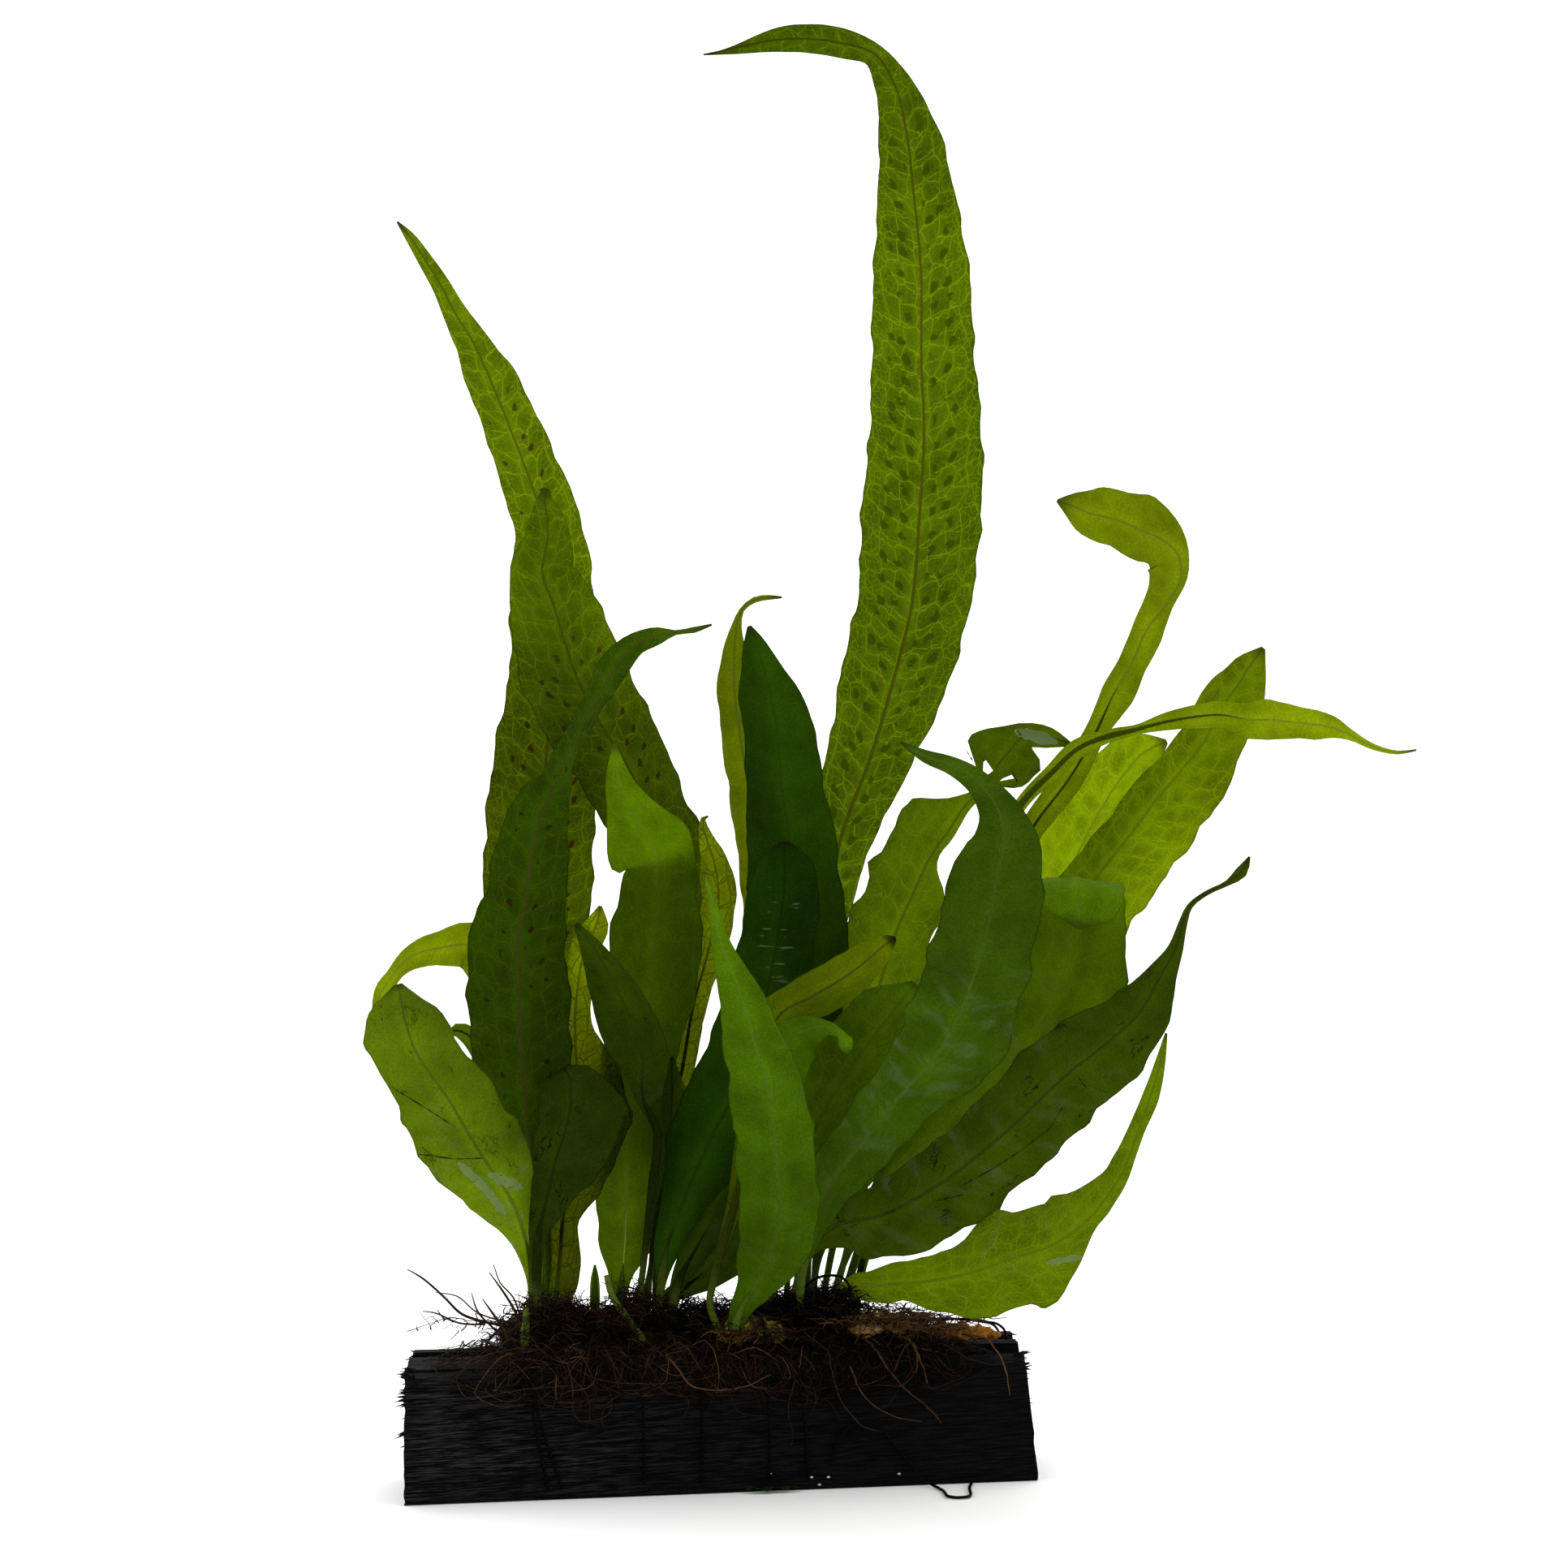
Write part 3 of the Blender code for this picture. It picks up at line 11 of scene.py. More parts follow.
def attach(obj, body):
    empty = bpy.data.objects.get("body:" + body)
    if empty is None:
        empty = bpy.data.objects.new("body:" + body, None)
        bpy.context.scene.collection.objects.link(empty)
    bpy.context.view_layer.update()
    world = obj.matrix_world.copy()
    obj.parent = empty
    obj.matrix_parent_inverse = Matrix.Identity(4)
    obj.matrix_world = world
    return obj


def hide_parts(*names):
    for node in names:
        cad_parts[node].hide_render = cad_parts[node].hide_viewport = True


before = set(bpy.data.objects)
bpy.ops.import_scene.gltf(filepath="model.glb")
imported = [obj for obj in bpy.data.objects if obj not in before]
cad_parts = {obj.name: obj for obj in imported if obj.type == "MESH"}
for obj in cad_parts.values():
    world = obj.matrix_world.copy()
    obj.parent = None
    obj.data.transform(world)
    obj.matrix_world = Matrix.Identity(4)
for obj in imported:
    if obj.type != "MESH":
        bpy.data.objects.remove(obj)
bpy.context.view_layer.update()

MM = 0.001
BLOCK_SEED = 11
ROOT_SEED = 21
THREAD_SEED = 31

# The plant's own frame is turned against the block by this much, and the camera looks along
# that frame's depth: its place there in mm, and its focal length in widths of the picture.
PLANT_TURN = math.radians(15)
CAMERA_ACROSS = 15.9
CAMERA_BACK = -934.5
CAMERA_UP = 136.8
FOCAL_LENGTH = 5850 / 1932
SENSOR_WIDTH = 36.0

# The block, in mm. A groove and a thin crack run along its top.
BLOCK_LENGTH = 126.4
BLOCK_DEPTH = 38.0
BLOCK_HEIGHT = 25.0
GROOVE_FRONT = 5.0
GROOVE_WIDTH = 8.0
GROOVE_DROP = 7.8
CRACK_FRONT = -15.2
CRACK_WIDTH = 1.2
CRACK_DROP = 1.2
RIGHT_END_LEAN = 3.0
LEAN_OVER = 12.0
END_SLANT = 0.24
PROFILE_STEP = 0.9
FINE_END = 6.0

# The slot that the crack opens into, in mm: where along the block it starts to open and over
# what length, where its back is, and how deep it is. Points this close to its edges stay.
SLOT_FROM = 43.0
SLOT_OPENING = 3.0
SLOT_BACK = -1.5
SLOT_DROP = 2.5
SLOT_MARGIN = 0.1

# The painted shade inside crack and slot, in mm: where it begins, is full, starts to end and ends.
SHADE_ALONG = (-58, -57, 60, 61)
SHADE_BACK = (-15.2, -14.9, 0, 1)
SHADE_UP = (21, 21.4, 24.4, 24.7)

# The loose thread's route, in metres.
TIE_TAIL = (
    (0.0206, -0.0197, 0.0046), (0.0209, -0.0198, 0.0064), (0.0216, -0.0199, 0.0084),
    (0.0227, -0.02, 0.0104), (0.0242, -0.02, 0.012), (0.0262, -0.02, 0.0129),
    (0.0284, -0.02, 0.0129), (0.0303, -0.02, 0.0118), (0.032, -0.02, 0.0099),
    (0.034, -0.02, 0.0074), (0.0363, -0.0202, 0.0046), (0.0384, -0.0208, 0.0022),
    (0.0399, -0.0223, 0.0008), (0.0406, -0.0252, 0.00035), (0.0404, -0.0294, 0.00035),
    (0.0397, -0.0334, 0.00035), (0.0393, -0.0364, 0.00035), (0.0404, -0.0384, 0.00035),
    (0.0426, -0.038, 0.00035), (0.0442, -0.035, 0.00035), (0.0454, -0.0306, 0.00035),
    (0.0468, -0.026, 0.00035), (0.0484, -0.0218, 0.00035), (0.0492, -0.0196, 0.00035),
)
TAIL_DIAMETER = 0.0006
THREAD_RADIUS = 0.3
TIE_FOOT = 2.2

# Threads in mm along the block: x on the front face at each of these heights, and x on top.
TIE_HEIGHTS = (0, 15, 25)
TIES = ((-35, -38.2, -40.6), (-32, -37.2, -39.6), (-16.4, -16.8, -18.2), (-5.2, -5.3, -5.4),
        (8.4, 8.1, 7.8), (16.4, 15, 13.6))

# The loop above the rhizome and the threads along the right end, in mm in the block's frame.
TIE_LOOP = (
    (17.8, -3.2, 33.4), (18.6, -7.5, 38), (20.4, -9.6, 39.9), (22.4, -11.4, 40.6), (24.6, -12, 40.4),
    (26.2, -12.4, 38.9), (26.4, -12.7, 36.9), (25.6, -13.1, 33.8), (24.6, -13.6, 28.4),
)
TIE_END = (
    (43, -1, 30.5), (45, -0.2, 30.9), (47, -1, 30.3), (49.5, -1.8, 30.2), (51.5, -0.8, 30.1),
    (54, -1.2, 30), (56, -2.6, 29.7), (58, -2, 29.4), (60, -1.6, 29), (61.4, -2, 27.9),
    (61.9, -2.4, 25.8),
)
TIE_END_SECOND = (
    (44, 0.4, 30.6), (47, 1, 29.9), (50, 0.2, 30.2), (53, 0.8, 29.8), (56, 0, 29.7), (58.6, 0.6, 29.2),
    (60.4, 0.6, 28.2), (61.6, 0.8, 26.2),
)

# Loose roots at the left and cut stalks, in mm in the plant's frame: across, back, up, radius.
LOOSE_ROOTS = (
    ((-38, -12, 31.5, 0.3), (-43, -13, 32.6, 0.3), (-46.5, -14, 34, 0.28), (-50, -15, 37.5, 0.24),
     (-54.5, -16, 41.5, 0.2), (-57, -16.5, 43, 0.1)),
    ((-34.8, -16, 30, 0.3), (-35.4, -16.5, 33.2, 0.3), (-37.2, -17.5, 37, 0.26), (-38.8, -18, 39.5, 0.22),
     (-41, -18.5, 42.6, 0.1)),
    ((-37, -18.4, 29, 0.3), (-38.2, -18.8, 31.5, 0.3), (-40.4, -19.4, 35, 0.25), (-42.2, -19.8, 37.6, 0.1)),
    ((-35, -15, 33, 0.2), (-36.5, -16, 37.5, 0.18), (-39, -17, 40.5, 0.15), (-40.2, -17.4, 44, 0.1)),
    ((-40, -15, 31, 0.22), (-43.5, -16, 35, 0.2), (-44.5, -16.5, 38.4, 0.1)),
    ((-42, -14, 32, 0.2), (-47, -15, 32.4, 0.2), (-52, -15.5, 34.5, 0.15), (-54, -16, 34.8, 0.1)),
    ((-37, -13, 32, 0.2), (-44, -14, 34.6, 0.16), (-47.5, -14, 37.5, 0.14), (-51.5, -14, 38.2, 0.1)),
)
CUT_STALKS = (
    ((-34.2, -17, 26, 0.8), (-34.2, -17, 29, 0.9), (-34.2, -17, 30.4, 1), (-34, -17, 32.5, 0.75),
     (-33.9, -17, 35.6, 0.6)),
    ((-11.2, -10.4, 27.2, 0.6), (-11.8, -10.4, 28.9, 0.8), (-13.6, -10.4, 31.8, 0.75),
     (-16.4, -10.4, 35.2, 0.7), (-18, -10.4, 38.4, 0.65), (-18.6, -10.4, 41.2, 0.6)),
)

# Rhizomes, in mm along the block: x, y, z of the axis, half width, half height.
RHIZOMES = {
    "rhizome_main": (
        (-40.5, 0.6, 28.6, 1.6, 1.6), (-38.5, 0.4, 29.2, 4.6, 3.5), (-33, 0, 29.8, 6.2, 4.3),
        (-26, 0.2, 29.4, 5.4, 3.8), (-20, -0.4, 28.8, 4.4, 3.2), (-12, 0, 29.1, 6, 3.6),
        (-4, -0.3, 28.9, 5.2, 3.4), (4, 0.2, 28.8, 4.8, 3.2), (14, -0.3, 29.1, 6.4, 3.6),
        (24, 0, 29.2, 6.6, 3.7), (31, 0, 29, 6.2, 3.5), (38, 0.2, 28.7, 4, 3.1), (44.5, 0, 28.2, 2.6, 2.5),
    ),
    "rhizome_front": (
        (-0.5, -13.2, 29.6, 1, 1), (1.5, -13.6, 30.2, 2.4, 2.3), (5, -14, 30.7, 3, 2.8),
        (9, -14.2, 30.6, 2.7, 2.6), (12, -14, 30, 1.9, 1.8), (13, -13.8, 29.6, 0.8, 0.8),
    ),
    "rhizome_right": (
        (26.5, -9.4, 29.8, 1, 1), (28.5, -9.6, 30.2, 2, 2.1), (33, -9.8, 30.5, 2.2, 2.4),
        (38, -9.2, 30.2, 2.1, 2.2), (41.5, -8.6, 29.6, 1.1, 1.1),
    ),
    "rhizome_tip": (
        (45.2, -0.6, 27.8, 1.5, 1.5), (48, -1, 27.6, 2.1, 2), (54, -1.8, 27.5, 1.9, 1.9),
        (58, -2.2, 27.2, 1.4, 1.4), (60.5, -2.6, 26.9, 0.7, 0.7),
    ),
}

# Root mats, in mm: x, cover on top, cover on the face, height of the lower fringe on the face.
FRONT_MAT = (
    (-57, 0.7, 0.4, 20), (-52, 1.6, 0.8, 18.5), (-45, 2.2, 1.2, 16), (-38, 2.4, 1.4, 14),
    (-30, 2.5, 1.5, 13.5), (-22, 2.3, 1.4, 15), (-14, 2.4, 1.4, 16), (-6, 2, 1.4, 14.5),
    (1, 1.6, 1.3, 15), (9, 1.6, 1.4, 14), (16, 2, 1.4, 12.5), (24, 2, 1.4, 14), (32, 1.7, 1.2, 16),
    (40, 1.5, 1.1, 14.5), (48, 1.4, 0.8, 17), (54, 0.7, 0.4, 20),
)
BACK_MAT = (
    (-50, 0.8, 0.5, 21), (-42, 1.8, 0.9, 19), (-32, 2.4, 1.1, 17), (-20, 2.6, 1.2, 18),
    (-8, 2.4, 1.2, 16), (6, 2.6, 1.2, 17.5), (20, 2.4, 1.1, 16), (32, 2, 1, 18), (42, 1.4, 0.7, 20),
    (48, 0.8, 0.5, 21.5),
)

# The mats start this far from the rhizome's middle and go round the block's edge with this
# rounding. They are dense between these shares of their length.
MAT_INNER = 5.6
EDGE_AT = BLOCK_DEPTH / 2 - MAT_INNER
ROUNDING = 2.2
DENSE_FROM = 0.14
DENSE_TO = 0.90
FRONT_STRANDS = 1700
BACK_STRANDS = 700

# Single roots that stand out on the front, in mm: x, distance forward and down from the
# rhizome over the block's edge, height above the wood; then the radius and the tone.
MARKED_ROOTS = (
    (((-34, 6, 3), (-40, 8, 3.4), (-46, 10.6, 2.6), (-51, 12.5, 2), (-53, 15, 1.2), (-51, 17.5, 1),
      (-46, 17, 1.2), (-40, 15.5, 2), (-33, 15.4, 2), (-26, 16, 1.8)), 0.22, 0.62),
    (((-37, 9, 3), (-43, 11, 2.6), (-48, 13.6, 2), (-50, 16, 1.2), (-46, 18.5, 1), (-40, 19, 1)), 0.24, 0.7),
    (((-34, 12, 2.6), (-26, 14.5, 2.6), (-18, 15.6, 2.4), (-10, 15.4, 2.4), (-2, 14.4, 2.6)), 0.2, 0.6),
    (((-12, 13, 3), (-8, 16.5, 2.4), (-2, 17.5, 2.2), (3, 16.5, 2.4), (8, 14.6, 2.8)), 0.26, 0.85),
    (((-16, 15, 2.4), (-12, 17.6, 1.8), (-8, 19.5, 1.4), (-9, 22.5, 1)), 0.22, 0.55),
    (((28, 4, 3), (29, 9, 3), (31, 14, 2.2), (35, 19, 1.6), (40, 22.5, 1.2), (43, 25.5, 0.8)), 0.4, 0.65),
    (((36, 6, 3.4), (37, 10, 3.2), (38.5, 14.5, 2), (40, 17.5, 1.2)), 0.34, 0.85),
    (((50.6, 3, 3), (52.6, 6, 2.8), (54, 10, 2), (55.4, 14.5, 1), (56.9, 20.5, 0.8)), 0.3, 0.95),
    (((20, 12, 2.6), (21, 17, 1.8), (24, 22, 1.2), (29, 26, 0.8), (32, 27, 0.6)), 0.28, 0.6),
    (((24, 14, 2.4), (27, 19, 1.6), (33, 23.6, 1), (39, 25, 0.8)), 0.28, 0.7),
    (((13, 16, 2.2), (12, 21, 1.4), (13, 26, 0.8), (12.6, 29, 0.6)), 0.2, 0.45),
    (((-21, 17, 1.6), (-24, 19, 1.2), (-25, 22.5, 0.8), (-24, 25, 0.6)), 0.2, 0.5),
    (((44, 10, 2.2), (48, 13.4, 1.4), (53, 14.4, 1), (58, 14, 0.8)), 0.18, 0.55),
)

# Tufts of short roots on the rhizome, in mm: x, y, z of the middle, spread along and across,
# height, how many, tone.
TUFTS = (
    (-31, -5, 31, 3.4, 2.6, 7.5, 700, 0.34), (-38, -3, 29, 2, 3, 3.5, 120, 0.4),
    (-23, -5, 30, 3.5, 2.4, 7, 420, 0.42), (-14, -3, 30, 2.2, 3, 12, 420, 0.42),
    (-7, -4, 30, 4, 2.6, 6, 420, 0.1), (1, -3, 30, 4, 2.6, 8, 420, 0.1),
    (5, -13, 31, 4, 2, 2.5, 160, 0.4), (10, -4, 30, 3, 3, 8, 360, 0.12),
    (16.5, -6, 30, 2.6, 2.4, 10, 620, 0.06), (24, -5, 30, 3, 3, 11, 760, 0.1),
    (34, -7, 31, 4.5, 2, 3.5, 170, 0.8), (43, -4, 29, 4, 2.5, 2.5, 160, 0.65),
    (33, -11.5, 30.5, 5, 1, 2, 200, 0.95), (44, -9.5, 28.8, 4, 1.2, 1.2, 90, 1),
    (6, -16.2, 29.5, 4.5, 0.8, 1.6, 120, 0.6), (-20, 4, 30, 14, 2, 4, 300, 0.25),
    (18, 4, 30, 14, 2, 4, 300, 0.25),
)

# Fronds, from stalk to tip, in mm in the plant's frame: across, back, up, half width to the
# left of the midrib, then its half width to the right where that differs, and its twist about
# the midrib in degrees where it has one.
FRONDS = {
    "frond_tall": (
        (18.5, 7.5, 33, 0.7), (19, 10.5, 54, 1), (20.5, 14, 78, 2.8), (23.5, 18, 105, 5.7, 4.2),
        (27.5, 22, 126.5, 7.4, 6.4), (33.5, 26, 142.5, 8.9, 8.3), (38, 29, 157.5, 10.8),
        (42, 32, 174, 11.1, 11.8), (43.5, 34, 191, 11.9, 12.6), (44.5, 36, 207.5, 11.2, 11.9),
        (44, 37, 224, 10.2, 10.9), (44, 38, 241, 9.9), (42.5, 38, 257.5, 7.5, 8.3), (41, 38, 270, 5.8, 6.6),
        (38.5, 37, 280, 4.2, 3.5), (34.5, 36, 286, 2.8, 2.1), (28, 35, 288, 3), (15, 33, 288.5, 2.5),
        (6, 31, 286.5, 1.3, 0.6), (-0.5, 30, 285, 0.2, -0.5),
    ),
    "frond_left_tall": (
        (-28.5, -3, 34.5, 0.7), (-29.5, 2, 51.5, 1.1), (-31.5, 7, 70, 4), (-33, 12, 91, 8.5),
        (-33, 17, 115, 11.3, 10.4), (-32.5, 20, 131.5, 11.3, 10.4), (-32, 22, 142.5, 10.5, 9.6),
        (-30.5, 24, 157.5, 9.2, 8.4), (-31, 26, 174, 8.4, 8.6), (-32.4, 27, 188.5, 6.4, 7.5),
        (-36.4, 28, 200.5, 5.8, 6.7), (-40.3, 29, 210.5, 5.1, 6), (-44, 30, 219.5, 4.9, 5.1),
        (-47.5, 31, 227, 3.8, 3.1), (-51, 31, 232.5, 2.5), (-53.5, 32, 237.5, 2), (-57.5, 33, 244, 1.5),
        (-60.5, 33, 248.5, 1), (-63, 34, 251.5, 0.2),
    ),
    "frond_left_broad": (
        (-9.5, 2.5, 34.5, 0.7), (-9, 5.5, 51, 1), (-6, 8.5, 75, 3.2), (-4.5, 10.5, 99, 5.6),
        (-4.5, 11, 113.5, 7.1), (-6.5, 11, 122.5, 7.9), (-10.5, 11.5, 130, 8.9, 7.8),
        (-15.5, 12, 140.5, 9.9, 8.8), (-20.5, 12.5, 148.5, 10.6, 9.8), (-25, 13, 157, 10.9, 10.1),
        (-28, 14, 165.5, 10.4, 9.6), (-30, 15, 172, 9.1, 8.3), (-32.5, 15, 180, 6.5), (-31.5, 16, 185, 5),
        (-31.5, 16, 190, 3.6), (-32, 16, 194, 1.6), (-31.5, 16, 196, 0.5),
    ),
    "frond_left_front": (
        (-31, -9, 34, 0.8), (-31.5, -9, 47.5, 1.1), (-33, -11, 59, 3.9), (-34, -12, 70, 7.1),
        (-35, -13, 84, 9.6), (-35.5, -13, 95, 9.9), (-36, -13, 104.5, 9.6), (-34, -13, 115.5, 7.9),
        (-33, -13, 123.5, 7.2), (-31.5, -13, 130.5, 6.1, 6.1, 10), (-28.5, -14, 137, 4.4, 4.4, 35),
        (-25.5, -15, 144, 3.4, 3.4, 50), (-22.5, -16, 149.5, 3.2, 3.2, 50), (-19.5, -16, 155, 3.5, 3.5, 40),
        (-16.5, -17, 160, 3.4, 3.4, 30), (-12.5, -17, 164, 2.3, 2.3, 20), (-8, -18, 165.5, 1.6, 1.6, 10),
        (-5, -19, 166, 0.5, 0.5, 10), (-1.5, -19, 166.5, 0.6, 0.6, 10), (2, -20, 167.5, 0.2),
    ),
    "frond_light_tip": (
        (-16.5, -3, 34, 0.7), (-15.8, -2, 41, 3, 2.4), (-15.4, -2, 46, 5, 5.4), (-15.2, -2, 51.5, 5.6, 6.4),
        (-15, -2, 59.5, 6.1), (-13.5, -3, 72.5, 6.7), (-12, -4, 85.5, 7.3), (-10, -5, 96.5, 8.6),
        (-9, -7, 107.5, 9), (-8.5, -8, 117, 7.4), (-8.6, -8, 122.2, 6.6, 7.2), (-10, -10, 124.4, 8.9, 8.6),
        (-13.7, -12, 131.3, 5.1), (-16.1, -14, 137.7, 2.7), (-17, -16, 144.6, 0.3),
    ),
    "frond_yellow_left": (
        (-29.5, -6, 34.5, 0.6), (-28.5, -6, 38.5, 1.4, 4), (-28, -6, 43, 1.6, 4.2),
        (-27.5, -5, 50.5, 2.4, 3.2), (-26, -5, 59, 4.9, 6.4), (-24.5, -5, 69.5, 5.1, 9.8),
        (-24.5, -5, 79, 4.3, 9), (-25, -6, 88.5, 2.9, 4), (-24.5, -6, 96.5, 2.7), (-23, -6, 104.5, 2.9),
        (-20.5, -7, 110, 2.1), (-20, -7, 113, 0.3),
    ),
    "frond_pointed_left": (
        (-13, -6, 34, 0.6), (-11, -8, 47.5, 0.7), (-9.5, -10, 60.5, 0.9), (-8.5, -12, 68.5, 0.9),
        (-11.5, -16, 76.5, 1.6, 4), (-11.5, -20, 84.5, 5.2), (-13.5, -22, 91.5, 6.6, 4.8),
        (-16.5, -23, 98, 5.2, 3.6), (-20, -24, 104.5, 3.2, 2), (-24, -24, 110, 0.5),
    ),
    "frond_left_low": (
        (-33, -11, 34, 0.8), (-33, -12, 41.5, 1.4, 2), (-34.5, -14, 49.5, 3.4, 3.9), (-37, -16, 56.5, 7.2),
        (-41, -19, 63, 8.9), (-45, -22, 70, 10.5, 9.2), (-48.5, -25, 76.5, 9.8, 8.9), (-51.5, -27, 81, 8.2),
        (-54.5, -29, 86, 8.3, 8), (-56, -31, 91, 8.3, 7.6), (-57, -29, 94.5, 6.6, 4.4),
        (-58, -26, 98.5, 0.8),
    ),
    "frond_arching_left": (
        (-30.5, -3, 35, 0.6), (-31, 0, 51.5, 1), (-34.5, 2, 67.5, 2.4), (-37.5, 3, 83.5, 4),
        (-40, 3, 93.5, 4.5), (-42.5, 3, 101, 4.6), (-46.5, 2, 105, 4.5), (-51.5, 1, 104.5, 3.8),
        (-56, 0, 103.5, 3.1, 3.1, 15), (-59.5, -3, 101, 2.5, 2.5, 20), (-61.5, -6, 98, 2.5, 2.5, 20),
        (-63, -9, 95.5, 1.7), (-64, -10, 92.5, 0.5),
    ),
    "frond_withered_left": (
        (-32.5, -6, 34.5, 0.5), (-33.5, -5, 52, 0.6), (-38.5, -4, 68, 0.8), (-42.5, -3, 80.5, 1.4),
        (-46, -3, 87.5, 1.9), (-48.5, -3, 88.5, 1.3), (-50, -3, 88, 0.3),
    ),
    "frond_left_short": (
        (-31.5, -14, 34, 0.7), (-32, -16, 43, 1.1), (-31.5, -18, 50, 1.9), (-29.5, -20, 58, 3.4, 5.4),
        (-28, -21, 64.5, 4.7, 8.6), (-26, -22, 70.5, 5.6, 10.4), (-25, -23, 77, 5.9, 9.4),
        (-25.5, -23, 81, 3.9, 4.4), (-26.5, -23, 82.5, 0.8),
    ),
    "frond_center_left": (
        (-9, -6, 34, 0.8), (-8, -6, 40, 1.1), (-7, -7, 46, 2.7), (-4.5, -8, 53, 4), (-2, -9, 59.5, 6),
        (1.5, -9, 67.5, 8.5), (6, -9, 76, 8.9), (10, -8, 87, 8.2), (13, -6, 98, 7.8), (15, -5, 109, 7.3),
        (16, -4, 118, 6.5), (16, -4, 122.5, 4.8), (16, -4, 125.5, 1),
    ),
    "frond_yellow_center": (
        (-12.5, -0.5, 34.5, 0.6), (-9.5, 1, 45, 0.8), (-6.5, 1.5, 57.5, 2.1), (-6, 1.5, 70.5, 2.4),
        (-4, 1.5, 81.5, 2.4), (-2, 2, 93, 2.6), (1, 3, 104, 3.3), (3, 2, 113.5, 3.5), (2, 1, 122, 2.7),
        (0.5, 0, 126.5, 1.4), (0, 0, 130, 0.5), (1, -1, 130.5, 0.2),
    ),
    "frond_small_center": (
        (-11, -4, 34, 0.6), (-9.5, -5, 49, 0.8), (-7.5, -6, 60, 2.7), (-6.5, -6, 68, 3.2),
        (-6, -6, 76, 2.7), (-6, -6, 81, 1.3), (-6, -6, 83.5, 0.2),
    ),
    "frond_low_center_front": (
        (-6.5, -6, 34.5, 0.6), (-4.5, -5, 40, 1.7), (-1.5, -5, 45.5, 2.9), (2, -5, 52, 3.5),
        (5.5, -5, 60, 3.5), (9, -5, 68, 2.9), (11.5, -5, 76, 1.1),
    ),
    "frond_low_center_back": (
        (-10, -2.5, 32.5, 0.5), (-8.5, -1.5, 34.5, 1.1), (-3.5, -1, 38, 2.2), (1, -0.5, 41.5, 3, 4.4),
        (4.5, 0, 46, 3.5, 6.2), (8, 0, 52.5, 3.5, 6.2), (11.5, 0, 59.5, 2.7, 4), (13.5, 0, 65.5, 0.3),
    ),
    "frond_front_center": (
        (6, -14, 30, 1.1), (7.5, -16, 35, 2.2), (10, -20, 39.5, 3.4), (13, -25, 46, 6.4),
        (15, -29, 54, 7.6), (14.5, -33, 64, 7.6), (13.5, -37, 75, 7.5), (10.5, -41, 87.5, 6.1),
        (7.5, -45, 98, 4), (4, -48, 107.5, 1.8), (2.5, -50, 115, 0.8), (1, -52, 120.5, 0.2),
    ),
    "frond_knob": (
        (8, -4, 34, 0.6), (10, -9, 46, 0.9), (12.5, -14, 59, 2.8), (13.5, -18, 70.5, 4.4),
        (14.5, -20, 80, 4.7, 5.5), (16.5, -21, 86.5, 4.8, 5.8), (19.5, -22, 89.2, 3.4, 4.8),
        (22.5, -22, 90, 2, 3), (25, -22, 90, 1, 1.6), (26.8, -22, 88.8, 0.8), (27.7, -22, 87.4, 1.5),
        (27.9, -22, 85.8, 1.2), (27.9, -22, 84.8, 0.2),
    ),
    "frond_brown_tip": (
        (3.5, -13, 30.5, 0.7), (1.5, -12, 35.5, 0.7), (2.5, -12, 41.5, 0.8), (6.5, -13, 56, 1.6),
        (9.5, -14, 71.5, 2.8), (12, -14, 84, 3.8), (15.5, -15, 92.5, 4.2), (21, -16, 95.5, 4.4),
        (28.5, -16, 100, 4.4), (33.5, -16, 104, 3), (36.5, -16, 106.5, 1.3), (37.5, -16, 107, 0.4),
    ),
    "frond_dark_center": (
        (13, -2, 32.5, 0.9), (14, -2, 39, 0.9), (15.5, 0, 51.5, 1.3), (17.5, 2, 67.5, 4),
        (18.5, 4, 83, 7.2), (19, 5, 96, 8.2, 9), (19, 6, 105.5, 9, 9.8), (17.5, 6, 117, 8.8, 9.6),
        (17, 6, 125, 8.5, 9.3), (15.5, 6, 136, 7.2, 8.2), (14.5, 5, 147.5, 6.6, 7.4),
        (13, 4, 155.5, 6.2, 5.2), (11.5, 4, 161, 4.3, 3), (10, 3, 165.5, 2.2, 1.5), (9, 3, 168, 0.4),
    ),
    "frond_sliver": (
        (14, 5, 33.5, 0.6), (13.5, 9, 50.5, 1), (11.5, 11, 74.5, 2.2, 3.2), (11, 12, 99, 2.5, 5.7),
        (10, 12, 121.5, 3.2, 6.1), (8.5, 12, 138, 4, 4.5), (7, 12, 147.5, 3.7), (6, 12, 155.5, 3.4),
        (6, 12, 163.5, 2.3), (6.5, 12, 168.5, 1), (7.5, 12, 171.5, 0.5), (10, 12, 173.5, 0.6),
        (13, 12, 174, 0.5), (15.5, 12, 174, 0.2),
    ),
    "frond_dark_right": (
        (16, 4, 33.5, 0.6), (17.5, -2, 48.5, 1), (19, -4, 60, 3.2), (22.5, -6, 70.5, 6.3),
        (27.5, -8, 79, 8.2), (33, -9, 87, 8.2), (38, -10, 93.5, 6), (41.5, -10, 98, 0.8),
    ),
    "frond_low_behind": (
        (21.5, 3, 34, 0.6), (22.5, 2, 43.5, 1), (26, 2, 54.5, 3.5), (31.5, 2, 64, 4.8), (38, 2, 73.5, 5),
        (44, 2, 83.5, 4), (48, 2, 91.5, 0.8),
    ),
    "frond_torn": (
        (20.5, 7, 34, 0.6), (21, 6, 47.5, 1), (24, 7, 63.5, 3.2), (28.5, 9, 79.5, 6.5),
        (34.5, 11, 95.5, 9.4, 8.4), (39, 13, 109, 9.8, 7.5), (42, 14, 115.5, 9.6, 6.5),
